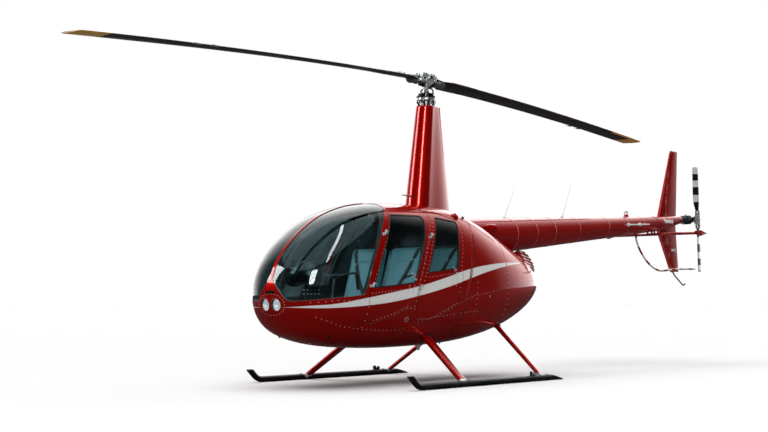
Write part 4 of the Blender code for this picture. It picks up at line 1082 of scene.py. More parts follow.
class BodyForm:
    """The fuselage's outer form, from the nose's tip to the tail's."""

    def __init__(self) -> None:
        """Read the sections; a row past each end mirrors it, which rounds nose and tail."""
        table = np.array(BODY_SECTIONS)
        ends = []
        for tip, inner in ((table[0], table[1]), (table[-1], table[-2])):
            ghost = inner.copy()
            ghost[1:3] = 2 * tip[1:3] - inner[1:3]
            ghost[3] = -inner[3]
            ends.append(ghost)
        self.table = np.vstack([ends[0], table, ends[1]])
        self.last = float(len(BODY_SECTIONS) - 1)
        guide = self.shell("body_guide", 0.0, steps=14, sides=288)
        shape = guide.data
        self.guide_points = [v.co.copy() for v in shape.vertices]
        self.guide_normals = [v.normal.copy() for v in shape.vertices]
        shape.calc_loop_triangles()
        self.guide_faces = [tuple(t.vertices) for t in shape.loop_triangles]
        self.tree = BVHTree.FromPolygons(self.guide_points, self.guide_faces)
        remove(guide)

    def rows(self, station: np.ndarray) -> np.ndarray:
        """Section values at places along the body.

        Args:
            station: Section numbers, whole or between, from 0 at the nose.

        Returns:
            One row of section values for each.
        """
        station = np.clip(station, 0.0, self.last)
        index = np.minimum(station.astype(int), int(self.last) - 1)
        t = (station - index)[:, None]
        p0, p1, p2, p3 = (self.table[index + k] for k in range(4))
        return 0.5 * (2 * p1 + (p2 - p0) * t + (2 * p0 - 5 * p1 + 4 * p2 - p3) * t**2
                      + (3 * p1 - p0 - 3 * p2 + p3) * t**3)

    def points(self, station: np.ndarray, turn: np.ndarray) -> np.ndarray:
        """Points of the skin by section number and by the angle round the section, 0 at port."""
        row = self.rows(station)
        across, up = np.cos(turn), np.sin(turn)
        power = np.where(up >= 0, row[:, 5], row[:, 6])
        height = np.maximum(np.where(up >= 0, row[:, 2] - row[:, 4], row[:, 4] - row[:, 1]), 1e-9)
        width = np.maximum(np.abs(row[:, 3]), 1e-9)
        reach = (np.abs(across / width) ** power + np.abs(up / height) ** power) ** (-1 / power)
        return np.stack([reach * across, row[:, 0], row[:, 4] + reach * up], axis=1)

    def normals(self, station: np.ndarray, turn: np.ndarray) -> np.ndarray:
        """Outward normals at the same places."""
        inside = np.clip(station, 0.04, self.last - 0.04)
        along = self.points(inside + 0.02, turn) - self.points(inside - 0.02, turn)
        around = self.points(inside, turn + 0.01) - self.points(inside, turn - 0.01)
        normal = np.cross(along, around)
        return normal / np.linalg.norm(normal, axis=1, keepdims=True)

    def station(self, y: float) -> float:
        """The section number at a Y."""
        low, high = 0.0, self.last
        for _ in range(40):
            middle = (low + high) / 2
            if self.rows(np.array([middle]))[0, 0] < y:
                low = middle
            else:
                high = middle
        return (low + high) / 2

    def draw(self, obj: bpy.types.Object, station: np.ndarray, turn: np.ndarray, inset: float) -> bpy.types.Object:
        """Draw a mesh's points onto the skin.

        Args:
            obj: The mesh.
            station: A section number for each point.
            turn: An angle for each point.
            inset: How far below the skin they lie.

        Returns:
            The same object.
        """
        places = self.points(station, turn) - inset * self.normals(station, turn)
        ends = (station < 1e-6) | (station > self.last - 1e-6)
        places[ends] = self.points(station, turn)[ends]
        places[ends, 1] += np.where(station[ends] < 1, inset, -inset)
        obj.data.vertices.foreach_set("co", places.astype(np.float32).ravel())
        obj.data.update()
        return obj

    def shell(self, name: str, inset: float, steps: int = 8, sides: int = 176,
              end: float | None = None) -> bpy.types.Object:
        """The body's closed surface: a ball whose rings are drawn to the sections.

        Args:
            name: The object's name.
            inset: How far it lies below the skin.
            steps: Rings to each span between sections.
            sides: Points round each ring.
            end: The section number where the tail tip is drawn, when it stops short.

        Returns:
            The closed surface.
        """
        end = self.last if end is None else end
        bpy.ops.mesh.primitive_uv_sphere_add(segments=sides, ring_count=int(self.last) * steps, radius=1.0)
        obj = bpy.context.object
        obj.name = obj.data.name = name
        flat = np.empty(len(obj.data.vertices) * 3, np.float32)
        obj.data.vertices.foreach_get("co", flat)
        unit = flat.reshape(-1, 3).astype(float)
        station = np.arccos(np.clip(unit[:, 2], -1, 1)) / math.pi * end
        turn = np.arctan2(unit[:, 1], unit[:, 0])
        self.draw(obj, np.round(station, 6), turn, inset)
        obj.data.flip_normals()
        self.face_out(obj)
        obj.data.shade_smooth()
        return obj

    def face_out(self, obj: bpy.types.Object) -> None:
        """Turn a closed surface's faces outwards."""
        shape = bmesh.new()
        shape.from_mesh(obj.data)
        if shape.calc_volume(signed=True) < 0:
            bmesh.ops.reverse_faces(shape, faces=shape.faces)
        shape.to_mesh(obj.data)
        shape.free()

    def patch(self, name: str, ends: tuple[float, float], turns: tuple[float, float], outer: float, inner: float,
              step: float = 0.022) -> bpy.types.Object:
        """A piece of sheet that follows the skin on the port side.

        Args:
            name: The object's name.
            ends: Lowest and highest Y.
            turns: Lowest and highest angle round the section, in degrees, 0 at port and 90 at the top.
            outer: How far its outer face lies below the skin.
            inner: How far its inner face does.
            step: Size of its faces.

        Returns:
            The closed sheet.
        """
        low, high = (self.station(y) for y in ends)
        along = max(4, round((ends[1] - ends[0]) / step))
        around = max(4, round(math.radians(turns[1] - turns[0]) * 0.75 / step))
        bpy.ops.mesh.primitive_grid_add(x_subdivisions=along, y_subdivisions=around, size=2.0)
        obj = bpy.context.object
        obj.name = obj.data.name = name
        flat = np.empty(len(obj.data.vertices) * 3, np.float32)
        obj.data.vertices.foreach_get("co", flat)
        grid = (flat.reshape(-1, 3).astype(float) + 1) / 2
        station = low + (high - low) * grid[:, 0]
        turn = np.radians(turns[0] + (turns[1] - turns[0]) * grid[:, 1])
        self.draw(obj, station, turn, outer)
        if obj.data.polygons[len(obj.data.polygons) // 2].normal.x < 0:
            obj.data.flip_normals()
        modify(obj, "SOLIDIFY", thickness=inner - outer, offset=-1.0, use_rim=True, use_even_offset=False)
        return obj

    def skin_normals(self, obj: bpy.types.Object, deepest: float = 0.0125, angle: float = 30.0) -> bpy.types.Object:
        """Take the shading of faces along the skin from the uncut form, so that reflections run clean past cuts.

        Args:
            obj: A finished panel.
            deepest: Faces farther below the skin than this keep their own shading.
            angle: Sharper edges than this stay sharp elsewhere.

        Returns:
            The same object.
        """
        smooth(obj, angle)
        mesh = obj.data
        wanted = [Vector((0, 0, 0))] * len(mesh.loops)
        for polygon in mesh.polygons:
            place, _, _, distance = self.tree.find_nearest(polygon.center)
            if place is None or distance > deepest:
                continue
            own = self.normal_at(polygon.center)
            facing = own.dot(polygon.normal)
            if abs(facing) < 0.9:
                continue
            sign = math.copysign(1.0, facing)
            for loop, vertex in zip(polygon.loop_indices, polygon.vertices):
                wanted[loop] = self.normal_at(mesh.vertices[vertex].co) * sign
        mesh.normals_split_custom_set(wanted)
        return obj

    def normal_at(self, point: Vector) -> Vector:
        """The smooth outward normal of the skin nearest to a point."""
        place, _, index, _ = self.tree.find_nearest(point)
        corners = self.guide_faces[index]
        blended = barycentric_transform(place, *(self.guide_points[i] for i in corners),
                                        *(self.guide_normals[i] for i in corners))
        return blended.normalized()

    def on_skin(self, start: Sequence[float], direction: Sequence[float]) -> tuple[Vector, Vector]:
        """Where a line first meets the skin, and the smooth normal there.

        Args:
            start: A point outside.
            direction: The way the line goes.

        Returns:
            The place and the outward normal.
        """
        place = self.tree.ray_cast(Vector(start), Vector(direction).normalized())[0]
        if place is None:
            place = self.tree.find_nearest(Vector(start))[0]
        return place, self.normal_at(place)

    def on_side(self, y: float, z: float, side: int = 1) -> tuple[Vector, Vector]:
        """The place and normal on one side at a Y and Z of the side view."""
        return self.on_skin((side * 2.0, y, z), (-side, 0, 0))

    def strip(self, name: str, route: Iterable[Vector], width: float, lift: float, sink: float = 0.003,
              pitch: float = 0.02) -> bpy.types.Object:
        """A narrow flat strip laid along the skin.

        Args:
            name: The object's name.
            route: Points near the skin that it follows.
            width: Its width.
            lift: How far it stands proud.
            sink: How far it reaches below the skin.
            pitch: Length of its faces.

        Returns:
            The closed strip.
        """
        line = spread(route, pitch)
        rows = []
        for i, point in enumerate(line):
            place = self.tree.find_nearest(point)[0]
            normal = self.normal_at(place)
            ahead = line[min(i + 1, len(line) - 1)] - line[max(i - 1, 0)]
            across = normal.cross(ahead).normalized() * width / 2
            rows.append([place + across + normal * lift, place - across + normal * lift,
                         place - across - normal * sink, place + across - normal * sink])
        return ribbon(name, rows)


def ribbon(name: str, rows: Sequence[Sequence[Vector]]) -> bpy.types.Object:
    """A closed bar through sections of equal length, its ends capped.

    Args:
        name: The object's name.
        rows: The sections in order, each a ring of points.

    Returns:
        The closed bar.
    """
    count = len(rows[0])
    faces = [tuple(range(count)), tuple(range((len(rows) - 1) * count, len(rows) * count))]
    for i in range(len(rows) - 1):
        for k in range(count):
            near, far = i * count, (i + 1) * count
            faces.append((near + k, near + (k + 1) % count, far + (k + 1) % count, far + k))
    mesh = bpy.data.meshes.new(name)
    mesh.from_pydata([tuple(p) for row in rows for p in row], [], faces)
    obj = bpy.data.objects.new(name, mesh)
    bpy.context.scene.collection.objects.link(obj)
    activate(obj)
    bpy.ops.object.mode_set(mode="EDIT")
    bpy.ops.mesh.select_all(action="SELECT")
    bpy.ops.mesh.remove_doubles(threshold=1e-6)
    bpy.ops.mesh.normals_make_consistent(inside=False)
    bpy.ops.object.mode_set(mode="OBJECT")
    return smooth(obj, 40)


def rivet(name: str = "rivet", radius: float = 0.0026, height: float = 0.0011) -> bpy.types.Object:
    """One domed rivet head, its outside along +Z."""
    shape = Blank.rod(name, (0, 0, -0.0006), (0, 0, 0.0003), radius, sides=8)
    shape.pick(lambda c, n: n.z > 0.9)
    shape.extrude((0, 0, height * 0.6)).scale((0.72, 0.72, 1.0), (0, 0, 0))
    shape.extrude((0, 0, height * 0.4)).scale((0.4, 0.4, 1.0), (0, 0, 0))
    return shape.done(60)


# Slats of the aft louvres. Columns: x, y, z at the front end, at the corner and at the middle of the body
LOUVRES = (
    (0.3310, 1.2832, 1.4273, 0.2727, 1.4863, 1.4104, 0.001, 1.556, 1.410),
    (0.3267, 1.3051, 1.4142, 0.2652, 1.5675, 1.3755, 0.001, 1.638, 1.375),
    (0.3466, 1.3086, 1.3769, 0.2616, 1.6271, 1.3352, 0.001, 1.697, 1.335),
    (0.3610, 1.3200, 1.3430, 0.2515, 1.6822, 1.2924, 0.001, 1.752, 1.292),
    (0.3726, 1.3180, 1.3120, 0.2377, 1.7224, 1.2514, 0.001, 1.792, 1.251),
    (0.3875, 1.3117, 1.2835, 0.2239, 1.7503, 1.2171, 0.001, 1.820, 1.217),
)


@dataclass
class FuselageSkins:
    """Hull, doors, glass and cowlings, drawn fine from the body's sections.

    Attributes:
        form: The body's outer form.
        wall: Thickness of the cabin's wall with its trim.
        seam: Gap round a door.
        door_skin: Thickness of a door's outer skin.
        door_depth: How deep a door's inner frame reaches.
        flange: How much smaller the inner frame is.
        pane: Depths of a pane's outer and inner faces.
        cowl: Thickness of a cowling.
        post: Half width of the windshield's centre post.
    """

    form: BodyForm
    wall: float = 0.045
    seam: float = 0.005
    door_skin: float = 0.012
    door_depth: float = 0.034
    flange: float = 0.014
    pane: tuple[float, float] = (0.004, 0.0095)
    cowl: float = 0.014
    post: float = 0.019
    bulkhead_at: float = -0.08
    bulkhead_slope: float = 0.309
    bulkhead_thickness: float = 0.012
    cowl_split: float = 0.69
    lamp_out: float = 0.070
    lamp_height: float = 0.822
    lamp_radius: float = 0.058
    slot: str = field(default="red_paint")

    def side_block(self, name: str, outline: Sequence[Vector], side: int = 1, inner: float = 0.10) -> bpy.types.Object:
        """A side outline pushed outwards from near the middle, to cut with."""
        low, high = sorted((side * inner, side * 1.0))
        return Blank.outline(name, outline, X, low, high).done()

    def nose_block(self, name: str, growth: float) -> bpy.types.Object:
        """The nose panel's outline pushed aft through the nose."""
        return Blank.outline(name, grown(rounded(NOSE_PANEL), growth), Y, -2.60, -2.0).done()

    def band_block(self, name: str, outline: Sequence[Vector], outside: float, inside: float,
                   inner: float = 0.10) -> bpy.types.Object:
        """A closed band that follows an outline, to keep a seal's ring with."""
        block = self.side_block(name, grown(outline, outside), inner=inner)
        return carve(block, self.side_block(f"{name}_hole", grown(outline, -inside), inner=inner - 0.02))

    def two_tone(self, obj: bpy.types.Object, outside: Finish, inside: Finish, depth: float = 0.0015) -> None:
        """Give faces on the skin one finish and all others another.

        Args:
            obj: The panel.
            outside: Finish of what lies on the skin and of its edges down to the depth.
            inside: Finish of the rest.
            depth: How far below the skin the outside finish reaches.
        """
        obj.data.materials.clear()
        obj.data.materials.append(outside.material())
        obj.data.materials.append(inside.material())
        for polygon in obj.data.polygons:
            distance = self.form.tree.find_nearest(polygon.center)[3]
            polygon.material_index = 0 if distance < depth else 1

    def pair(self, piece: bpy.types.Object, label: str, body: str, finish: Finish | None, node: str = "",
             slot: str = "", shaded: bool = False) -> None:
        """Finish a port piece and its starboard twin.

        Args:
            piece: The port piece, in the mast frame.
            label: Name without the side.
            body: Body name without the side, or a whole name that both ride on.
            finish: The finish, or None where faces have theirs.
            node: CAD node name without the side that each replaces.
            slot: Material slot where the finish is None.
            shaded: True to take the shading from the uncut form.
        """
        for side, word in SIDES:
            one = twin(piece, f"{label}_{word}", Matrix.Diagonal((side, 1, 1, 1)))
            if shaded:
                self.form.skin_normals(one)
            carrier = body if body == "airframe" else f"{body}_{word}"
            finish_piece(one, carrier, finish, slot, (f"{node}_{word}",) if node else ())
        remove(piece)

    def build(self) -> None:
        """Make every panel and pane."""
        self.hull()
        self.windshields()
        for kind, outline, window in (("front", FRONT_DOOR, FRONT_WINDOW), ("rear", REAR_DOOR, REAR_WINDOW)):
            self.door(kind, rounded(outline), rounded(window))
        self.cowlings()
        self.louvres()

    def hull(self) -> None:
        """Roof, floor pan, posts and nose in one shell, open at the doors, at the windshield and aft."""
        hull = self.form.shell("cabin_hull_skin", 0.0)
        lean = Vector((0, 1, -self.bulkhead_slope))
        Blank.reopen(hull).halve((0, self.bulkhead_at, 1.0), lean).done()
        modify(hull, "SOLIDIFY", thickness=self.wall, offset=-1.0, use_rim=True)
        for side, _ in SIDES:
            glass = self.side_block(f"windshield_hole_{side}", rounded(WINDSHIELD), side, self.post)
            carve(glass, self.nose_block(f"nose_keeper_{side}", 0.0))
            carve(hull, glass)
            for name, outline in (("front", FRONT_DOOR), ("rear", REAR_DOOR)):
                hole = self.side_block(f"{name}_doorway_{side}", grown(rounded(outline), self.seam), side)
                carve(hull, hole)
            at = (side * self.lamp_out, -2.60, self.lamp_height), (side * self.lamp_out, -2.25, self.lamp_height)
            carve(hull, Blank.rod(f"lamp_hole_{side}", *at, self.lamp_radius, sides=48).done())
        intake = rounded(((-0.075, 0.924, 0.008), (0.075, 0.924, 0.008), (0.055, 0.953, 0.008), (-0.055, 0.953, 0.008)))
        carve(hull, Blank.outline("intake_hole", intake, Y, -2.60, -2.20).done())
        self.form.skin_normals(hull, deepest=0.001)
        self.two_tone(hull, RED_PAINT, HEADLINER, 0.004)
        finish_piece(hull, "airframe", None, self.slot, ("cabin_hull",))
        line = [Vector(p) for p in PILLAR_LINE]
        band = [p + Vector((-0.030, 0)) for p in line] + [p + Vector((0.030, 0)) for p in reversed(line)]
        pillar = self.form.patch("door_pillar", (-1.10, -0.40), (-60, 86), 0.040, 0.062)
        carve(pillar, self.side_block("pillar_band", band), "INTERSECT")
        self.pair(smooth(pillar), "door_pillar", "airframe", TRIM)

    def windshields(self) -> None:
        """The two curved windshield panes."""
        edge = rounded(WINDSHIELD)
        pane = self.form.patch("windshield", (-2.400, -1.02), (-14, 89.2), *self.pane, step=0.020)
        shape = self.side_block("windshield_shape", grown(edge, -0.0006), inner=self.post + 0.0006)
        carve(shape, self.nose_block("nose_gap", 0.0006))
        carve(pane, shape, "INTERSECT")
        self.pair(pane, "windshield_glass", "airframe", TINTED_ACRYLIC, "windshield", shaded=True)

    def door(self, kind: str, outline: list[Vector], window: list[Vector]) -> None:
        """One pair of doors: painted skin, trimmed inner frame, window pane and its seal.

        Args:
            kind: front or rear.
            outline: The door's edge on the side of the body.
            window: The window's edge.
        """
        reach = (min(p.x for p in outline) - 0.04, max(p.x for p in outline) + 0.04)
        body = f"{kind}_door"
        skin = self.form.patch(f"door_{kind}", reach, (-62, 86), 0.0, self.door_skin)
        carve(skin, self.side_block("door_edge", outline), "INTERSECT")
        carve(skin, self.side_block("window_hole", window))
        self.two_tone(skin, RED_PAINT, PLAIN_RED, 0.004)
        self.pair(skin, f"door_{kind}_skin", body, None, f"door_{kind}", self.slot, shaded=True)
        frame = self.form.patch(f"door_{kind}_frame", reach, (-62, 86), self.door_skin, self.door_depth, step=0.03)
        carve(frame, self.side_block("frame_edge", grown(outline, -self.flange)), "INTERSECT")
        carve(frame, self.side_block("frame_window", grown(window, 0.012)))
        soften(frame, 0.004, 2)
        self.pair(smooth(frame), f"door_{kind}_frame", body, TRIM)
        pane = self.form.patch(f"window_{kind}", reach, (-20, 84), *self.pane, step=0.02)
        carve(pane, self.side_block("pane_edge", grown(window, -0.0006)), "INTERSECT")
        self.pair(pane, f"window_{kind}_glass", body, TINTED_ACRYLIC, f"window_{kind}", shaded=True)
        seal = self.form.patch(f"window_{kind}_seal", reach, (-20, 84), -0.0012, 0.0038, step=0.02)
        carve(seal, self.band_block("seal_band", window, 0.0035, 0.0075), "INTERSECT")
        self.pair(smooth(seal), f"window_{kind}_seal", body, RUBBER)

    def cowlings(self) -> None:
        """The engine's cowling in two rings, with the cooling mouth below."""
        lean = Vector((0, 1, -self.bulkhead_slope))
        start = self.bulkhead_at + self.bulkhead_thickness + 0.0006
        rings = (("cowling_engine", ((0, start, 1.0), -lean), ((0, self.cowl_split, 0), (0, 1, 0))),
                 ("cowling_tail", ((0, self.cowl_split + 0.004, 0), (0, -1, 0)), None))
        for name, *planes in rings:
            cowl = self.form.shell(f"{name}_skin", 0.0)
            blank = Blank.reopen(cowl)
            for plane in planes:
                if plane:
                    blank.halve(*plane)
            blank.done()
            modify(cowl, "SOLIDIFY", thickness=self.cowl, offset=-1.0, use_rim=True)
            if name == "cowling_engine":
                mouth = rounded(((-0.24, 0.16, 0.05), (0.24, 0.16, 0.05), (0.24, 0.56, 0.05), (-0.24, 0.56, 0.05)))
                carve(cowl, Blank.outline("cooling_mouth", mouth, Z, 0.2, 0.62).done())
            self.form.skin_normals(cowl, deepest=0.001)
            self.two_tone(cowl, RED_PAINT, BLACK_ENAMEL, 0.004)
            finish_piece(cowl, "airframe", None, self.slot, (name,))

    def louvres(self) -> None:
        """The raised hoods under the tailcone: six slats over a black rubber sheet that is painted shade in the gaps,
        on a hood that runs out into the skin.
        """
        curves = [curve_points((row[0:3], row[3:6], row[6:9]), 8) for row in LOUVRES]
        count, last = len(curves[0]), len(curves) - 1
        outs = [Vector((0.62, 0.41, 0.67)).lerp(Vector((0, 0.55, 0.83)), i / (count - 1)).normalized() for i in range(count)]

        def sunk(k: int, i: int, depth: float) -> Vector:
            return curves[k][i] - outs[i] * depth

        for k in range(last + 1):
            rows = []
            for i in range(count):
                half = (curves[min(k + 1, last)][i] - curves[max(k - 1, 0)][i]).normalized() * 0.0115
                rows.append([sunk(k, i, 0) + half, sunk(k, i, 0) - half, sunk(k, i, 0.012) - half, sunk(k, i, 0.012) + half])
            self.pair(soften(ribbon(f"louvre_slat_{k + 1}", rows), 0.0015, 2), f"louvre_slat_{k + 1}", "airframe", PLAIN_RED)
        # A black sheet under the slats paints the shade that lies in the gaps between them
        shade_sheet = [[*(sunk(k, i, 0.008) for k in range(last + 1)), *(sunk(k, i, 0.030) for k in range(last, -1, -1))]
                for i in range(count)]
        self.pair(lofted("louvre_well", shade_sheet, 40), "louvre_well", "airframe", RUBBER)
        ahead = (curves[0][0] - curves[0][1]).normalized()

        def foot(point: Vector) -> Vector:
            place = self.form.tree.find_nearest(point)[0]
            return place - self.form.normal_at(place) * 0.020

        hood = []
        for i in range(count):
            up = (curves[0][i] - curves[1][i]).normalized()
            down = (curves[last][i] - curves[last - 1][i]).normalized()
            hood.append([foot(curves[0][i] + up * 0.055), sunk(0, i, 0.008) + up * 0.016, *(sunk(k, i, 0.011) for k in range(last + 1)),
                         sunk(last, i, 0.008) + down * 0.016, foot(curves[last][i] + down * 0.045)])
        front = [[p + ahead * 0.014 for p in hood[0]], [foot(p + ahead * 0.060) for p in hood[0]]]
        self.pair(lofted("louvre_hood", [front[1], front[0], *hood], 35), "louvre_hood", "airframe", PLAIN_RED)


def lofted(name: str, rows: Sequence[Sequence[Sequence[float]]], angle: float = 40.0) -> bpy.types.Object:
    """A closed solid through rings of points: a grid that is rolled round them, its ends filled.

    Args:
        name: The object's name.
        rows: The rings in order, each with the same number of points.
        angle: Edges sharper than this many degrees stay sharp.

    Returns:
        The closed solid.
    """
    count = len(rows[0])
    bpy.ops.mesh.primitive_grid_add(x_subdivisions=len(rows) - 1, y_subdivisions=count, size=2.0)
    sheet = bpy.context.object
    sheet.name = sheet.data.name = name
    for vertex in sheet.data.vertices:
        row = round((vertex.co.x + 1) / 2 * (len(rows) - 1))
        vertex.co = rows[row][round((vertex.co.y + 1) / 2 * count) % count]
    activate(sheet)
    bpy.ops.object.mode_set(mode="EDIT")
    bpy.ops.mesh.select_all(action="SELECT")
    bpy.ops.mesh.remove_doubles(threshold=1e-6)
    bpy.ops.mesh.select_mode(type="EDGE")
    bpy.ops.mesh.select_all(action="DESELECT")
    bpy.ops.mesh.select_non_manifold()
    bpy.ops.mesh.fill_holes(sides=0)
    bpy.ops.mesh.select_all(action="SELECT")
    bpy.ops.mesh.normals_make_consistent(inside=False)
    bpy.ops.object.mode_set(mode="OBJECT")
    return smooth(sheet, angle)


def blended(rows: Pairs, at: Iterable[float]) -> list[list[float]]:
    """Rows of a table between its given rows, by straight lines.

    Args:
        rows: The table, sorted by its first column.
        at: Values of the first column.

    Returns:
        One row for each value.
    """
    table = np.array(rows)
    return [[float(np.interp(value, table[:, 0], table[:, k])) for k in range(table.shape[1])] for value in at]


def finish_faces(obj: bpy.types.Object, finishes: Sequence[Finish], choose: Callable[[Vector], int]) -> bpy.types.Object:
    """Give each face one of several finishes by the place of its middle."""
    obj.data.materials.clear()
    for finish in finishes:
        obj.data.materials.append(finish.material())
    for polygon in obj.data.polygons:
        polygon.material_index = choose(polygon.center)
    return obj


def blade_section(row: Sequence[float], direction: int, lead: float = 0.30, half: int = 14,
                  grow: float = 0.0) -> list[Vector]:
    """One section of a rotor blade about its own axis, its points going round from the leading edge.

    Args:
        row: Reach, chord, thickness and pitch in degrees.
        direction: 1 for the blade that points forward, -1 for the other.
        lead: Share of the chord ahead of the axis.
        half: Points along each face.
        grow: How far the section is grown outwards.

    Returns:
        The points.
    """
    reach, chord, thickness, pitch = row
    turn = math.radians(pitch)
    ring = []
    for k in range(2 * half):
        t = (1 - math.cos(math.pi * k / half)) / 2
        rise = math.copysign(thickness * (1.3 * math.sqrt(t) * (1 - t) + 0.05) + grow, 1 if k < half else -1)
        chordwise = chord * (lead - t) + (grow if t < 0.5 else -grow)
        across = chordwise * math.cos(turn) - rise * math.sin(turn)
        up = chordwise * math.sin(turn) + rise * math.cos(turn)
        ring.append(Vector((-direction * across, -direction * reach, up)))
    return ring


def teardrop(z: float, middle: float, radius: float, trail: float, count: int = 40, bulge: float = 0.0) -> list[Vector]:
    """A section with a round nose and gently swelling flanks to a thin trailing edge.

    Args:
        z: Its height.
        middle: Y of the nose's middle.
        radius: The nose's radius.
        trail: Y of the trailing edge.
        count: Points round the nose.
        bulge: How far the flanks swell, as a share of their length.

    Returns:
        The points.
    """
    half = math.acos(radius / (trail - middle))
    nose = [Vector((-radius * math.sin(t), middle + radius * math.cos(t), z))
            for t in np.linspace(half, 2 * math.pi - half, count)]
    edge = Vector((0.004, trail, z))
    way = edge - nose[-1]
    swell = Vector((way.y, -way.x, 0)) * bulge
    flank = [nose[-1] + way * t + swell * 4 * t * t * (1 - t) for t in np.linspace(0.08, 1, 12)]
    return [*nose, *flank, *(Vector((-p.x, p.y, p.z)) for p in reversed(flank))]


@dataclass
class Bench:
    """Shapes small pieces that ride on one body and share one place.

    Attributes:
        body: The CAD body that carries them.
        place: Where they go in the mast frame.
    """

    body: str
    place: Matrix = field(default_factory=lambda: Matrix.Identity(4))

    def keep(self, obj: bpy.types.Object, finish: Finish | None, nodes: Iterable[str] = (),
             slot: str = "") -> bpy.types.Object:
        """Put a shaped piece in its place and finish it."""
        obj.data.transform(self.place)
        if self.place.determinant() < 0:
            obj.data.flip_normals()
        return finish_piece(obj, self.body, finish, slot, nodes)

    def bar(self, name: str, start: Sequence[float], end: Sequence[float], radius: float, finish: Finish,
            end_radius: float | None = None, edge: float = 0.0015, sides: int = 32,
            nodes: Iterable[str] = ()) -> bpy.types.Object:
        """A round bar with rounded ends."""
        return self.keep(Blank.rod(name, start, end, radius, end_radius, sides).done_round(edge), finish, nodes)

    def block(self, name: str, low: Sequence[float], high: Sequence[float], finish: Finish, edge: float = 0.003,
              nodes: Iterable[str] = ()) -> bpy.types.Object:
        """A block with rounded edges."""
        return self.keep(Blank.block(name, low, high).done_round(edge, 3), finish, nodes)

    def plate(self, name: str, corners: Pairs, axis: int, low: float, high: float, finish: Finish,
              edge: float = 0.0015, nodes: Iterable[str] = ()) -> bpy.types.Object:
        """A plate of an outline with rounded corners and edges."""
        shape = Blank.outline(name, rounded(corners, 15), axis, low, high)
        return self.keep(shape.done_round(edge), finish, nodes)

    def lathe(self, name: str, profile: Pairs, middle: Sequence[float], axis: Sequence[float], finish: Finish,
              sides: int = 48, nodes: Iterable[str] = ()) -> bpy.types.Object:
        """A turned piece."""
        return self.keep(turned(name, profile, middle, axis, sides), finish, nodes)

    def pipe(self, name: str, route: Iterable[Sequence[float]], radius: float, finish: Finish, around: int = 3,
             radii: Sequence[float] | None = None, nodes: Iterable[str] = ()) -> bpy.types.Object:
        """A bent round bar."""
        return self.keep(tube(name, route, radius, around, radii), finish, nodes)

    def bolts(self, name: str, places: Iterable[tuple[Sequence[float], Sequence[float]]], radius: float,
              height: float, finish: Finish) -> bpy.types.Object:
        """Hexagon bolt heads at places with their outward directions."""
        head = Blank.rod(f"{name}_head", (0, 0, -0.001), (0, 0, height), radius, sides=6).done_round(radius * 0.15, 1)
        return self.keep(scatter(name, head, [stand(*spot) for spot in places]), finish)


def strap(name: str, tree: BVHTree, route: Iterable[Sequence[float]], width: float, lift: float = 0.003,
          reach: float = 0.06) -> bpy.types.Object:
    """A webbing strap that lies on a surface where it comes near it and spans straight elsewhere.

    Args:
        name: The strap's name.
        tree: The surface below.
        route: Points of its middle line.
        width: Its width.
        lift: How far its middle stands off the surface.
        reach: Distance up to which it is drawn onto the surface.

    Returns:
        The closed strap.
    """
    line = spread(curve_points(route, 8), 0.012)
    rows = []
    for i, point in enumerate(line):
        place, normal, _, distance = tree.find_nearest(point)
        if distance < reach:
            point = place + normal * lift
        ahead = (line[min(i + 1, len(line) - 1)] - line[max(i - 1, 0)]).normalized()
        out = (normal - ahead * ahead.dot(normal)).normalized()
        across = ahead.cross(out) * width / 2
        rows.append([point + across * k + out * h for k, h in
                     ((1, 0.0), (0.96, 0.0011), (0, 0.0013), (-0.96, 0.0011), (-1, 0.0), (-0.96, -0.0011), (0, -0.0013),
                      (0.96, -0.0011))])
    return lofted(name, rows, 70)


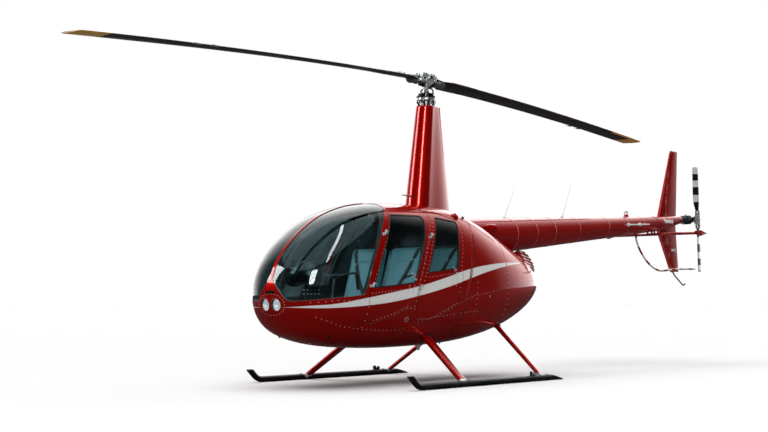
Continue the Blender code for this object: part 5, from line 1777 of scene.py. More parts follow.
@dataclass
class Cabin:
    """Seats, belts, instrument pod, controls and trim.

    Attributes:
        form: The body's outer form.
        floor_top: Height of the floor.
        voxel: Size of the remeshed faces of a cushion.
        swell: How far a cushion's skin may move.
    """

    form: BodyForm
    floor_top: float = 0.485
    voxel: float = 0.0105
    swell: float = 0.024

    # Side outlines of the cushions. Columns: y, z, corner radius
    CUSHIONS = {
        "seat_front": (
            ("cushion", ((-1.244, 0.7015, 0.01), (-0.792, 0.7015, 0.01), (-0.800, 0.825, 0.03), (-0.880, 0.842, 0.04),
                         (-1.130, 0.838, 0.05), (-1.232, 0.806, 0.045), (-1.252, 0.760, 0.03))),
            ("back", ((-0.832, 0.850, 0.03), (-0.776, 0.775, 0.03), (-0.742, 0.800, 0.02), (-0.582, 1.400, 0.03),
                      (-0.600, 1.430, 0.02), (-0.640, 1.425, 0.03), (-0.672, 1.360, 0.08))),
        ),
        "seat_rear": (
            ("cushion", ((-0.640, 0.7015, 0.01), (-0.205, 0.7015, 0.01), (-0.200, 0.812, 0.03), (-0.300, 0.838, 0.04),
                         (-0.530, 0.834, 0.05), (-0.628, 0.806, 0.045), (-0.646, 0.760, 0.03))),
            ("back", ((-0.262, 0.860, 0.03), (-0.205, 0.790, 0.02), (-0.168, 0.800, 0.02), (0.022, 1.412, 0.02),
                      (0.008, 1.438, 0.02), (-0.040, 1.436, 0.03), (-0.072, 1.370, 0.08))),
        ),
    }

    def build(self) -> None:
        """Make the whole inside."""
        self.still = Bench("airframe")
        for kind, parts in self.CUSHIONS.items():
            self.seat(kind, parts)
        self.pod()
        self.controls()
        self.trim()

    def cushion(self, name: str, outline: Pairs, rear: bool) -> bpy.types.Object:
        """One port cushion, swollen by a cloth simulation from a slightly smaller blank.

        Args:
            name: Its name.
            outline: Its side outline.
            rear: True for the upright one.

        Returns:
            The cushion in the mast frame.
        """
        blank = Blank.outline(name, grown(rounded(outline, 12), -0.008), X, 0.050, 0.500)
        cushion = blank.done_round(0.030, 4)
        modify(cushion, "REMESH", mode="VOXEL", voxel_size=self.voxel)
        start = np.array([v.co for v in cushion.data.vertices])
        low = start[:, 2].min() + 0.012
        held = cushion.vertex_groups.new(name="held")
        held.add([i for i, p in enumerate(start) if p[2] < low], 1.0, "REPLACE")
        cloth = cushion.modifiers.new("padding", "CLOTH")
        rules = cloth.settings
        rules.quality = 4
        rules.mass = 0.4
        rules.tension_stiffness = rules.compression_stiffness = 12.0
        rules.shear_stiffness = 8.0
        rules.bending_stiffness = 2.0
        rules.use_pressure = True
        rules.uniform_pressure_force = 4.0
        rules.effector_weights.gravity = 0.0
        rules.vertex_group_mass = "held"
        cloth.point_cache.frame_start, cloth.point_cache.frame_end = 1, 14
        for frame in range(1, 15):
            bpy.context.scene.frame_set(frame)
        activate(cushion)
        bpy.ops.object.modifier_apply(modifier=cloth.name)
        bpy.context.scene.frame_set(1)
        moved = np.array([v.co for v in cushion.data.vertices]) - start
        length = np.maximum(np.linalg.norm(moved, axis=1, keepdims=True), 1e-9)
        placed = start + moved / length * np.minimum(length, self.swell * 0.5)
        cushion.data.vertices.foreach_set("co", placed.astype(np.float32).ravel())
        cushion.vertex_groups.clear()
        modify(cushion, "SUBSURF", levels=1, render_levels=1)
        self.sew(cushion, rear)
        return smooth(cushion, 60)

    def sew(self, cushion: bpy.types.Object, upright: bool) -> None:
        """Press the sewn channels in: two lengthwise lines and one across."""
        mesh = cushion.data
        points = np.array([v.co for v in mesh.vertices])
        normals = np.array([v.normal for v in mesh.vertices])
        low, high = points.min(axis=0), points.max(axis=0)
        axis = Z if upright else Y
        share = (points[:, axis] - low[axis]) / (high[axis] - low[axis])
        facing = np.clip(-normals[:, 1] if upright else normals[:, 2], 0, 1)
        press = np.zeros(len(points))
        for x in (0.165, 0.385):
            press += np.exp(-(((points[:, 0] - x) / 0.0055) ** 2)) * np.clip((share - 0.06) * 12, 0, 1)
        across = np.exp(-(((share - (0.76 if upright else 0.36)) / 0.011) ** 2))
        press = np.maximum(press, across * (np.abs(points[:, 0] - 0.275) < 0.112))
        depth = 0.0075 * np.clip(press, 0, 1) * facing**2
        crown = 0.010 * facing**2 * np.cos((points[:, 0] - 0.275) / 0.25 * math.pi / 2).clip(0, 1)
        points += normals * (crown - depth)[:, None]
        mesh.vertices.foreach_set("co", points.astype(np.float32).ravel())
        mesh.update()

    def seat(self, kind: str, parts: Sequence[tuple[str, Pairs]]) -> None:
        """One row of seats: cushions, piping, belts and buckles, the starboard one mirrored."""
        pieces = []
        for label, outline in parts:
            cushion = self.cushion(f"{kind}_{label}", outline, label == "back")
            tree = BVHTree.FromPolygons([v.co for v in cushion.data.vertices], [p.vertices for p in cushion.data.polygons])
            pieces.append((label, cushion, tree))
            low = [min(v.co[i] for v in cushion.data.vertices) for i in range(3)]
            high = [max(v.co[i] for v in cushion.data.vertices) for i in range(3)]
            if label == "cushion":
                ring = [(x, y, 0.800) for x, y in ((low[0], low[1] + 0.03), (low[0], high[1] - 0.03), (high[0], high[1] - 0.03),
                                                   (high[0], low[1] + 0.03))]
                corners = [(x, y, 0.06) for x, y, _ in ring]
                loop = [Vector((p.x, p.y, 0.806)) for p in rounded(corners, 10)]
            else:
                lean = (high[1] - low[1] - 0.06) / (high[2] - low[2])
                corners = [(x, z, 0.07) for x, z in ((low[0], low[2]), (low[0], high[2]), (high[0], high[2]), (high[0], low[2]))]
                loop = [Vector((p.x, low[1] + 0.020 + lean * (p.y - low[2]), p.y)) for p in rounded(corners, 10)]
            line = [tree.find_nearest(p)[0] for p in spread([*loop, loop[0]], 0.012)]
            pieces.append((f"{label}_piping", tube(f"{kind}_{label}_piping", line, 0.0042, 2), None))
        points, faces = [], []
        for label, obj, tree in pieces:
            if tree:
                faces += [tuple(i + len(points) for i in p.vertices) for p in obj.data.polygons]
                points += [v.co.copy() for v in obj.data.vertices]
        surface = BVHTree.FromPolygons(points, faces)
        shift = 0.0 if kind == "seat_front" else 0.590
        over = [(0.470, -0.560 + shift, 1.600), (0.455, -0.600 + shift, 1.450), (0.400, -0.690 + shift, 1.300),
                (0.300, -0.770 + shift, 1.080), (0.170, -0.840 + shift, 0.900), (0.080, -0.850 + shift, 0.850),
                (0.036, -0.830 + shift, 0.780)]
        lap = [(0.505, -0.850 + shift, 0.740), (0.490, -0.880 + shift, 0.850), (0.300, -0.930 + shift, 0.870),
               (0.090, -0.880 + shift, 0.860), (0.036, -0.850 + shift, 0.780)]
        belts = [("shoulder_belt", strap(f"{kind}_shoulder_belt", surface, over, 0.048)),
                 ("lap_belt", strap(f"{kind}_lap_belt", surface, lap, 0.048))]
        for side, word in SIDES:
            mirror = Matrix.Diagonal((side, 1, 1, 1))
            for label, obj, tree in pieces:
                copy = twin(obj, f"{kind}_{label}_{word}", mirror)
                nodes = (f"{kind}_{word}",) if label in ("cushion", "back") else ()
                finish_piece(copy, "airframe", LEATHER if tree else PIPING, stands_for=nodes, fill=0.6 if tree else 0.0)
            for label, obj in belts:
                finish_piece(twin(obj, f"{kind}_{label}_{word}", mirror), "airframe", WEBBING)
            bench = Bench("airframe", mirror)
            bench.block(f"{kind}_buckle_{word}", (0.022, -0.878 + shift, 0.770), (0.050, -0.822 + shift, 0.868), BLACK_ENAMEL, 0.006)
            bench.block(f"{kind}_buckle_button_{word}", (0.0485, -0.866 + shift, 0.826), (0.0525, -0.834 + shift, 0.852), PLAIN_RED,
                        0.0015)
            bench.block(f"{kind}_belt_anchor_{word}", (0.498, -0.872 + shift, 0.708), (0.512, -0.828 + shift, 0.752), STEEL, 0.003)
        for _, obj, _ in pieces:
            remove(obj)
        for _, obj in belts:
            remove(obj)

    def pod(self) -> None:
        """The pedestal with its radio stack, the domed pod with its recessed panel, dials and lamps."""
        still = self.still
        low = self.floor_top + 0.0003
        side = ((-2.050, low, 0.01), (-1.770, low, 0.01), (-1.712, 0.700, 0.05), (-1.800, 0.990, 0.05), (-1.850, 1.060, 0.03),
                (-2.050, 1.040, 0.03), (-2.130, 0.900, 0.05))
        still.plate("console_pedestal", side, X, -0.132, 0.132, PANEL_BLACK, 0.012, ("instrument_console",))
        middle = Vector((0, -1.930, 1.090))
        dome = Blank.ball("instrument_pod", middle, 0.212, (0, 0, 1), 64, 40).everything()
        dome.scale((1.0, 0.80, 0.86), middle)
        lean = Vector((0, 1, 0.16)).normalized()
        dome.halve(middle + Vector((0, 0.070, 0)), lean, True).halve(middle - Vector((0, 0, 0.125)), (0, 0, -1), True)
        dome.pick(lambda c, n: n.dot(lean) > 0.999 and (c - middle).y > 0.02).inset(0.010).inset(0.003, 0.012)
        pod = dome.done(35)
        still.keep(smooth(soften(pod, 0.004, 3, 50), 40), POD_BLACK)
        face = middle + Vector((0, 0.070, 0)) - lean * 0.012
        frame = Matrix.Translation(face) @ Matrix.Rotation(math.atan2(0.16, 1.0), 4, "X") @ Matrix.Rotation(math.pi / 2, 4, "Z")
        panel = Bench("airframe", frame)
        # Columns: across, up, radius
        dials = ((-0.110, 0.072, 0.036), (-0.036, 0.092, 0.036), (0.040, 0.092, 0.036), (0.112, 0.072, 0.036),
                 (-0.135, -0.006, 0.034), (-0.060, 0.012, 0.036), (0.016, 0.012, 0.036), (0.092, 0.004, 0.034),
                 (-0.095, -0.075, 0.024), (-0.040, -0.075, 0.024), (0.015, -0.075, 0.024), (0.070, -0.075, 0.024),
                 (0.120, -0.070, 0.020))
        marks = []
        for number, (across, up, radius) in enumerate(dials):
            at = Vector((0.0, -across, up))
            rim = ((radius - 0.006, -0.001), (radius, -0.001), (radius, 0.004), (radius - 0.002, 0.006), (radius - 0.006, 0.0035))
            panel.lathe(f"dial_bezel_{number + 1}", rim, at, (1, 0, 0), BLACK_STEEL, 32)
            panel.lathe(f"dial_face_{number + 1}", ((0.0, -0.0006), (radius - 0.0055, -0.0006), (radius - 0.0055, 0.0006),
                                                    (0.0, 0.0006)), at, (1, 0, 0), PANEL_BLACK, 32)
            for step in range(12):
                turn = math.radians(30 * step + 15)
                spot = at + Vector((0.0008, 0, 0)) + Vector((0, math.cos(turn), math.sin(turn))) * (radius - 0.010)
                marks.append(Matrix.Translation(spot) @ Matrix.Rotation(turn, 4, "X"))
            turn = math.radians(40 + 67 * number)
            tip = Vector((0.0, math.cos(turn), math.sin(turn))) * (radius - 0.013)
            lift = Vector((0.0018, 0, 0))
            panel.bar(f"dial_needle_{number + 1}", at + lift - tip * 0.2, at + lift + tip, 0.0011, DIAL_WHITE, 0.0005, 0.0002, 8)
            panel.bar(f"dial_hub_{number + 1}", at, at + lift * 1.6, 0.003, BLACK_STEEL, edge=0.0005, sides=12)
        tick = Blank.block("dial_tick", (-0.0002, -0.0024, -0.0005), (0.0004, 0.0024, 0.0005)).done()
        panel.keep(scatter("dial_ticks", tick, marks), DIAL_WHITE)
        for number in range(8):
            across = -0.112 + 0.032 * number
            panel.block(f"warning_lamp_{number + 1}", (0.0, -across - 0.009, 0.133), (0.003, -across + 0.009, 0.144),
                        LAMP_AMBER if number % 3 else RED_LENS, 0.001)
        # Radio faces down the pedestal's sloping back
        slope = Vector((0, -0.088, 0.290)).normalized()
        out = Vector((0, slope.z, -slope.y))
        start = Vector((0, -1.716, 0.712))
        stack = Matrix.Translation(start) @ Matrix((out, Vector((-1, 0, 0)), slope)).transposed().to_4x4()
        radio = Bench("airframe", stack)
        for number, (foot, tall) in enumerate(((0.010, 0.048), (0.062, 0.036), (0.102, 0.036), (0.142, 0.036), (0.182, 0.060))):
            radio.block(f"radio_face_{number + 1}", (-0.006, -0.082, foot), (0.006, 0.082, foot + tall), PANEL_BLACK, 0.002)
            radio.block(f"radio_screen_{number + 1}", (0.0055, -0.040, foot + 0.012), (0.0068, 0.030, foot + tall - 0.010),
                        LAMP_AMBER if number == 2 else POD_BLACK, 0.0005)
            for across in (-0.066, 0.064):
                radio.bar(f"radio_knob_{number + 1}_{'a' if across < 0 else 'b'}", (0.004, across, foot + tall / 2),
                          (0.018, across, foot + tall / 2), 0.0085, BLACK_ENAMEL, 0.007, 0.001, 20)
        # Two rows of white squares on the pedestal's flanks: painted reflections of lamps, in the dials' white
        for row, z in enumerate((0.925, 0.965)):
            for number in range(5):
                y = -2.068 + 0.052 * number
                for flank, word in SIDES:
                    low_x, high_x = sorted((flank * 0.131, flank * 0.1345))
                    still.block(f"side_indicator_{row + 1}_{number + 1}_{word}", (low_x, y - 0.012, z - 0.005),
                                (high_x, y + 0.012, z + 0.005), DIAL_WHITE, 0.001)
        still.pipe("pod_hose", curve_points(((0.10, -2.02, 0.99), (0.15, -2.06, 0.93), (0.14, -2.08, 0.80), (0.10, -2.06, 0.70)), 6),
                   0.012, RUBBER)

    def controls(self) -> None:
        """The T-shaped stick with its hinged bar and grips, pedals, collectives and compass."""
        still = self.still
        low = self.floor_top + 0.0003
        still.bar("stick_post", (0, -1.5626, low + 0.02), (0, -1.482, 1.100), 0.0150, BLACK_ENAMEL, nodes=("control_stick",))
        still.lathe("stick_boot", ((0.0, 0.0), (0.058, 0.0), (0.052, 0.012), (0.040, 0.018), (0.042, 0.028), (0.028, 0.036),
                                   (0.030, 0.046), (0.018, 0.056), (0.0, 0.057)), (0, -1.563, low), (0, 0.13, 1), RUBBER)
        still.keep(Blank.ball("stick_pivot", (0, -1.480, 1.105), 0.030, (1, 0, 0)).everything()
                   .scale((1.5, 1, 1), (0, -1.480, 1.105)).done(60), BLACK_ENAMEL)
        for side, word in SIDES:
            arm = [(side * x, y, z) for x, y, z in ((0.030, -1.480, 1.108), (0.130, -1.478, 1.118), (0.235, -1.476, 1.132),
                                                    (0.275, -1.474, 1.128), (0.290, -1.472, 1.100))]
            still.pipe(f"stick_arm_{word}", curve_points(arm, 6), 0.0115, BLACK_ENAMEL)
            top, foot = Vector((side * 0.290, -1.474, 1.118)), Vector((side * 0.290, -1.452, 0.965))
            grip = ((0.0, 0.0), (0.015, 0.002), (0.0185, 0.018), (0.0165, 0.040), (0.0180, 0.062), (0.0165, 0.084), (0.0180, 0.106),
                    (0.0165, 0.122), (0.0205, 0.140), (0.0190, 0.154), (0.0, 0.158))
            still.lathe(f"stick_grip_{word}", grip, foot, top - foot, RUBBER, 32)
            still.bar(f"stick_switch_{word}", top + Vector((0, -0.010, -0.012)), top + Vector((0, -0.028, -0.010)), 0.005, PLAIN_RED,
                      sides=16)
            for number, x in enumerate((0.200, 0.340)):
                y = -2.000 + 0.030 * number
                still.pipe(f"pedal_arm_{number + 1}_{word}", ((side * x, y + 0.05, low + 0.006), (side * x, y + 0.02, low + 0.04),
                                                             (side * x, y, 0.610)), 0.009, BLACK_ENAMEL)
                plate = Blank.block(f"pedal_{number + 1}_{word}", (side * x - 0.040, y - 0.008, 0.585), (side * x + 0.040, y + 0.004, 0.665))
                plate.pick(lambda c, n: n.y > 0.9).inset(0.006).inset(0.002, 0.002)
                still.keep(plate.done_round(0.003), ALUMINIUM)
            lever = [(side * 0.022, -1.240, 0.640), (side * 0.022, -1.290, 0.720), (side * 0.022, -1.330, 0.800), (side * 0.022, -1.420, 0.880)]
            if side < 0:
                lever = [(-0.530, -1.235, 0.610), (-0.535, -1.300, 0.680), (-0.535, -1.360, 0.760), (-0.535, -1.440, 0.830)]
            route = curve_points(lever, 5)
            still.pipe(f"collective_{word}", route, 0.011, BLACK_ENAMEL)
            still.bar(f"collective_grip_{word}", route[-6], route[-1] + (route[-1] - route[-2]) * 1.0, 0.018, RUBBER, edge=0.003)
        place = Vector((0, -1.520, 1.690))
        still.keep(Blank.ball("compass_bowl", place, 0.034, (0, 1, 0)).everything().scale((1, 1.1, 0.9), place).done(60), POD_BLACK)
        still.bar("compass_stem", place + Vector((0, 0, 0.024)), place + Vector((0, 0.012, 0.075)), 0.008, BLACK_ENAMEL)
        still.lathe("compass_window", ((0.0, 0.0), (0.024, 0.0), (0.026, 0.006), (0.020, 0.010), (0.0, 0.011)),
                    place + Vector((0, 0.030, 0)), (0, 1, 0.1), CLEAR_LENS, 32)

    def trim(self) -> None:
        """Aft trim panel, roof console and lamp, seat-box lids and lifts, floor mats and headset hooks."""
        still = self.still
        slope = 0.309
        aft = [(-0.1035 + slope * (z - 1.0) + d, z, 0.006) for z, d in ((1.455, 0.0), (1.760, 0.0), (1.760, -0.014), (1.455, -0.014))]
        still.plate("aft_trim_panel", aft, X, -0.42, 0.42, TRIM, 0.005)
        still.block("roof_console", (-0.060, -1.060, 1.800), (0.060, -0.700, 1.826), TRIM, 0.010)
        still.bar("roof_lamp", (0, -0.980, 1.794), (0, -0.980, 1.802), 0.026, CLEAR_LENS, edge=0.002)
        for side, word in SIDES:
            still.plate(f"seat_box_lid_{word}", ((-1.2535, 0.540, 0.02), (-1.2505, 0.540, 0.0), (-1.2505, 0.672, 0.0), (-1.2535, 0.672, 0.02)),
                        X, *sorted((side * 0.060, side * 0.490)), TRIM, 0.001)
            still.pipe(f"seat_box_lift_{word}", ((side * 0.250, -1.252, 0.650), (side * 0.250, -1.262, 0.642), (side * 0.300, -1.262, 0.642),
                                                 (side * 0.300, -1.252, 0.650)), 0.003, STEEL)
            near, far = sorted((side * 0.150, side * 0.470))
            mat = rounded(((near, -1.990, 0.04), (far, -1.990, 0.04), (far, -1.300, 0.04), (near, -1.300, 0.04)), 12)
            sheet = Blank.outline(f"floor_mat_{word}", mat, Z, self.floor_top + 0.0002, self.floor_top + 0.007).done_round(0.002)
            still.keep(carve(sheet, self.form.shell(f"mat_cut_{word}", 0.055, steps=4, sides=80), "INTERSECT"), RUBBER)
            still.bar(f"headset_hook_{word}", (side * 0.30, -0.560, 1.700), (side * 0.30, -0.585, 1.690), 0.006, BLACK_ENAMEL)


def dress_cad_nodes() -> None:
    """Give the plain sheet and box nodes that stay as they are their real finishes."""
    for name, finish in (("bulkhead", FIREWALL), ("cabin_floor", CARPET), ("seat_box_front", TRIM), ("seat_box_rear", TRIM)):
        for place in bpy.data.objects[name].material_slots:
            place.material = finish.material()
        LOG.info("%s keeps its CAD shape, in %s", name, finish.name)


@dataclass
class MainRotor:
    """Blades, seesaw hub, swashplate and the fairing round the mast.

    Attributes:
        azimuth: Degrees by which the parked blades are turned.
        hub: Height of the hub's middle.
        radius: Reach of a blade's tip.
        droop: How far a tip hangs at rest.
        fairing_top: Height of the fairing's top; not used.
    """

    form: BodyForm
    azimuth: float = 3.33
    hub: float = 3.278
    radius: float = 5.03
    droop: float = 0.238
    droop_power: float = 1.6
    fairing_top: float = 2.985

    # Columns: reach, chord, thickness, pitch in degrees
    STATIONS = (
        (0.2153, 0.085, 0.052, 9.0), (0.300, 0.110, 0.048, 9.0), (0.420, 0.254, 0.036, 8.5), (1.300, 0.254, 0.032, 7.0),
        (2.300, 0.254, 0.030, 5.5), (3.300, 0.254, 0.029, 4.0), (4.250, 0.268, 0.028, 2.5), (5.030, 0.268, 0.024, 1.5),
    )

    def build(self) -> None:
        """Make everything about the mast."""
        spin = Matrix.Rotation(math.radians(self.azimuth), 4, "Z")
        self.head = Bench("main_rotor", spin)
        for sign, word in ((1, "fore"), (-1, "aft")):
            self.blade(sign, word)
            self.root(sign, word)
        self.yoke()
        self.swashplate()
        self.fairing()

    def height(self, reach: float) -> float:
        """Height of the blade's axis at a reach."""
        return self.hub - self.droop * (reach / self.radius) ** self.droop_power

    def blade(self, sign: int, word: str) -> None:
        """One blade with its yellow tip and bright leading edge, its trim tabs and the doubler plates on its root."""
        reaches = [*np.linspace(0.2153, 0.52, 9), *np.linspace(0.62, 4.9, 44), 4.97, 5.0, 5.018, 5.027, 5.03]
        rings = []
        for row in blended(self.STATIONS, reaches):
            rounding = max(0.0, (row[0] - 4.985) / 0.045)
            row[1] *= 1 - 0.16 * rounding**2
            row[2] *= 1 - 0.55 * rounding**2
            lift = Vector((0, 0, self.height(row[0])))
            rings.append([point + lift for point in blade_section(row, sign)])
        blade = lofted(f"rotor_blade_{word}_skin", rings, 50)

        def coat(middle: Vector) -> int:
            reach, ahead = abs(middle.y), -sign * middle.x
            chord = blended(self.STATIONS, [reach])[0][1]
            if reach > 4.74 or (reach > 4.24 and ahead > 0.22 * chord):
                return 1
            return 2 if reach > 0.60 and ahead > 0.262 * chord else 0

        finish_faces(blade, (BLADE_PAINT, TIP_YELLOW, EDGE_STEEL), coat)
        self.head.keep(blade, None, (f"rotor_blade_{word}",), "blade_paint")
        for reach in (3.50, 3.72):
            z = self.height(reach)
            x = sign * 0.178
            low, high = sorted((x - 0.020 * sign, x + 0.034 * sign))
            self.head.block(f"trim_tab_{word}_{round(reach * 100)}", (low, -sign * reach - 0.055, z - 0.017),
                            (high, -sign * reach + 0.055, z - 0.0145), ALUMINIUM, edge=0.0008)
        # Doubler plates bonded on the root, one over the other
        for number, (start, end, grow) in enumerate(((0.44, 0.90, 0.0012), (0.44, 0.76, 0.0024))):
            rows = blended(self.STATIONS, np.linspace(start, end, 8))
            sleeve = [[p + Vector((0, 0, self.height(row[0]))) for p in blade_section(row, sign, grow=grow)]
                      for row in rows]
            self.head.keep(lofted(f"blade_root_doubler_{word}_{number + 1}", sleeve, 50), BLADE_PAINT)

    def root(self, sign: int, word: str) -> None:
        """The pitch housing, its boot and clamp, the spindle bolts, the horn and the pitch link of one blade."""
        head, out = self.head, Vector((0, -sign, -0.012)).normalized()
        base = Vector((0, -sign * 0.128, self.hub - 0.020))
        housing = ((0.0, 0.010), (0.030, 0.010), (0.036, 0.014), (0.036, 0.040), (0.044, 0.044), (0.046, 0.052),
                   (0.046, 0.070), (0.041, 0.078), (0.041, 0.140), (0.046, 0.150), (0.046, 0.172), (0.036, 0.196),
                   (0.020, 0.206), (0.0, 0.208))
        head.lathe(f"pitch_housing_{word}", housing, base, out, GRIP_GREY)
        head.lathe(f"spindle_boot_{word}", ((0.0, -0.02), (0.026, -0.02), (0.034, -0.012), (0.027, -0.004), (0.035, 0.004),
                                            (0.028, 0.010), (0.0, 0.012)), base, out, RUBBER)
        cuff, start = [], 0.112 if sign > 0 else 0.165
        for t in np.linspace(0, 1, 10):
            reach = start + (0.352 - start) * t
            middle = Vector((sign * 0.010 * t, -sign * reach, self.height(reach) + 0.024 * (1 - t)))
            cuff.append([middle + Vector(((0.028 + 0.024 * t) * math.cos(a), 0, (0.017 + 0.007 * t) * math.sin(a)))
                         for a in np.linspace(0, 2 * math.pi, 28, endpoint=False)])
        head.keep(lofted(f"blade_root_cuff_{word}", cuff, 60), BLADE_PAINT)
        z = self.height(0.47) + 0.019
        head.bolts(f"blade_root_bolts_{word}", [((x, -sign * reach, z - 0.06 * abs(x)), (0, 0, 1)) for reach in (0.46, 0.54)
                                               for x in (-0.030, 0.012, 0.045)], 0.009, 0.008, BLACK_STEEL)
        high = Vector((sign * 0.088, -sign * 0.106, self.hub - 0.030))
        low = Vector((sign * 0.074, -sign * 0.088, 3.090))
        mid = [Vector((sign * 0.030, -sign * 0.200, self.hub - 0.022)), Vector((sign * 0.070, -sign * 0.186, self.hub - 0.026)),
               Vector((sign * 0.090, -sign * 0.150, self.hub - 0.030)), high]
        head.pipe(f"pitch_horn_{word}", curve_points(mid, 5), 0.015, STEEL, radii=np.linspace(1.25, 0.8, 16).tolist())
        head.bar(f"pitch_link_{word}", low.lerp(high, 0.12), low.lerp(high, 0.88), 0.0085, STEEL)
        for end, t in (("lower", 0.18), ("upper", 0.80)):
            one, two = low.lerp(high, t), low.lerp(high, t + 0.05)
            head.bar(f"pitch_link_nut_{end}_{word}", one, two, 0.013, BLACK_STEEL, sides=6)
        for end, place in (("lower", low), ("upper", high)):
            eye = Blank.ring(f"rod_end_{end}_{word}", place, (1, 0, 0), 0.0125, 0.0062, 28, 10).done(60)
            head.keep(eye, STEEL)
            head.bar(f"rod_end_bolt_{end}_{word}", place - Vector((0.021, 0, 0)), place + Vector((0.021, 0, 0)), 0.0068,
                     BLACK_STEEL, sides=12)

    def yoke(self) -> None:
        """Mast, seesaw beam with its cheeks, hinge bolts, droop stops and cap."""
        head, hub = self.head, self.hub
        mast = ((0.0, 2.86), (0.032, 2.86), (0.032, 3.130), (0.0375, 3.134), (0.0375, 3.150), (0.032, 3.154), (0.032, 3.196),
                (0.046, 3.206), (0.046, 3.226), (0.040, 3.236), (0.040, 3.262), (0.0, 3.262))
        head.lathe("rotor_mast", mast, (0, 0, 0), (0, 0, 1), STEEL, nodes=("rotor_mast_and_hub",))
        beam = ((-0.150, hub - 0.028, 0.012), (-0.150, hub + 0.026, 0.012), (-0.118, hub + 0.050, 0.012),
                (0.112, hub + 0.054, 0.012), (0.150, hub + 0.026, 0.012), (0.150, hub - 0.028, 0.012),
                (0.080, hub - 0.022, 0.02), (0.018, hub - 0.064, 0.012), (-0.034, hub - 0.064, 0.012),
                (-0.086, hub - 0.022, 0.02))
        for x, word in ((0.047, "port"), (-0.047, "starboard")):
            cheek = Blank.outline(f"hub_cheek_{word}", rounded(beam, 15), X, x - 0.012, x + 0.012).done_round(0.003, 3)
            for y in (-0.062, 0.062):
                carve(cheek, Blank.rod("cheek_window", (x - 0.1, y, hub + 0.012), (x + 0.1, y, hub + 0.012), 0.015,
                                       sides=24).done())
            head.keep(smooth(cheek, 35), STEEL)
            for y in (-0.098, -0.050, 0.0, 0.048, 0.094):
                head.bar(f"cheek_stud_{round(y * 1000) + 100}_{word}", (x, y, hub + 0.050), (x, y, hub + 0.068), 0.0085,
                         BLACK_STEEL if y else STEEL, sides=6)
        head.block("hub_centre", (-0.036, -0.060, hub - 0.046), (0.036, 0.060, hub + 0.046), STEEL, 0.008)
        for sign, word in ((-1, "fore"), (1, "aft")):
            near, far = sorted((sign * 0.086, sign * 0.106))
            head.block(f"hub_bridge_{word}", (-0.038, near, hub - 0.016), (0.038, far, hub + 0.030), ALUMINIUM, 0.005)
        for word, y, z, r, reach in (("teeter", 0.0, hub + 0.022, 0.016, 0.088), ("coning_fore", -0.122, hub, 0.014, 0.082),
                                     ("coning_aft", 0.122, hub, 0.014, 0.082)):
            head.bar(f"{word}_bolt", (-reach, y, z), (reach, y, z), r, BLACK_STEEL, sides=24)
            for side, name in SIDES:
                near, far = side * 0.0585, side * (reach - 0.010)
                head.bar(f"{word}_washer_{name}", (near, y, z), (near + side * 0.004, y, z), r * 1.75, STEEL, sides=32)
                head.bar(f"{word}_nut_{name}", (near + side * 0.003, y, z), (far, y, z), r * 1.42, STEEL, edge=0.002,
                         sides=6)
        head.block("droop_stop_fore", (-0.022, -0.118, hub - 0.074), (0.022, -0.040, hub - 0.048), BLACK_STEEL, 0.004)
        head.block("droop_stop_aft", (-0.022, 0.040, hub - 0.074), (0.022, 0.118, hub - 0.048), BLACK_STEEL, 0.004)
        cap = ((0.0, hub + 0.040), (0.034, hub + 0.040), (0.034, hub + 0.056), (0.028, hub + 0.062), (0.026, hub + 0.072),
               (0.018, hub + 0.078), (0.0, hub + 0.080))
        head.lathe("mast_cap", cap, (0, 0, 0), (0, 0, 1), STEEL)
        head.bolts("mast_cap_bolts", [((0.030 * math.cos(a), 0.030 * math.sin(a), hub + 0.056), (0, 0, 1))
                                      for a in np.linspace(0, 2 * math.pi, 6, endpoint=False)], 0.0048, 0.005, BLACK_STEEL)
        for side, word in SIDES:
            head.pipe(f"drive_scissor_{word}", curve_points(((side * 0.034, 0.012, 3.185), (side * 0.070, 0.018, 3.172),
                      (side * 0.082, 0.022, 3.140), (side * 0.078, 0.024, 3.112)), 4), 0.0085, BLACK_STEEL)

    def swashplate(self) -> None:
        """The turning plate above and the still plate below, with their boot and the push rods from below."""
        upper = ((0.036, 3.101), (0.080, 3.101), (0.085, 3.105), (0.085, 3.121), (0.080, 3.125), (0.060, 3.127),
                 (0.052, 3.134), (0.036, 3.136))
        self.head.lathe("swashplate_turning", upper, (0, 0, 0), (0, 0, 1), BLACK_STEEL, 64)
        self.head.bolts("swashplate_bolts", [((0.070 * math.cos(a), 0.070 * math.sin(a), 3.125), (0, 0, 1))
                                             for a in np.linspace(0.2, 2 * math.pi + 0.2, 12, endpoint=False)],
                        0.0045, 0.005, STEEL)
        for sign, word in ((1, "fore"), (-1, "aft")):
            self.head.bar(f"swashplate_lug_{word}", (sign * 0.050, -sign * 0.060, 3.113), (sign * 0.074, -sign * 0.088, 3.113),
                          0.012, STEEL, sides=20)
        still = Bench("airframe")
        lower = ((0.0335, 3.098), (0.098, 3.098), (0.104, 3.094), (0.104, 3.083), (0.098, 3.079), (0.036, 3.079))
        still.lathe("swashplate_still", lower, (0, 0, 0), (0, 0, 1), BLACK_STEEL, 64)
        ring = ((0.0335, 3.079), (0.096, 3.079), (0.101, 3.074), (0.101, 3.052), (0.095, 3.046), (0.070, 3.044),
                (0.056, 3.036), (0.054, 2.990), (0.060, 2.9862), (0.0335, 2.9862))
        still.lathe("swashplate_sleeve", ring, (0, 0, 0), (0, 0, 1), STEEL, 64, nodes=("swashplate_fixed",))
        for number, degrees in enumerate(range(0, 360, 36)):
            turn = math.radians(degrees + 8)
            out, side = Vector((math.cos(turn), math.sin(turn), 0)), Vector((-math.sin(turn), math.cos(turn), 0))
            place = out * 0.094 + Vector((0, 0, 3.030))
            still.keep(Blank.ring(f"sleeve_eye_{number + 1}", place, side if number % 2 else out, 0.0125, 0.0062, 24,
                                  8).done(60), STEEL if number % 2 else BLACK_STEEL)
            still.bar(f"sleeve_eye_stem_{number + 1}", place + Vector((0, 0, 0.010)), place + Vector((0, 0, 0.022)), 0.0075,
                      STEEL, sides=12)
        for number, degrees in enumerate((25, 115, 205, 295)):
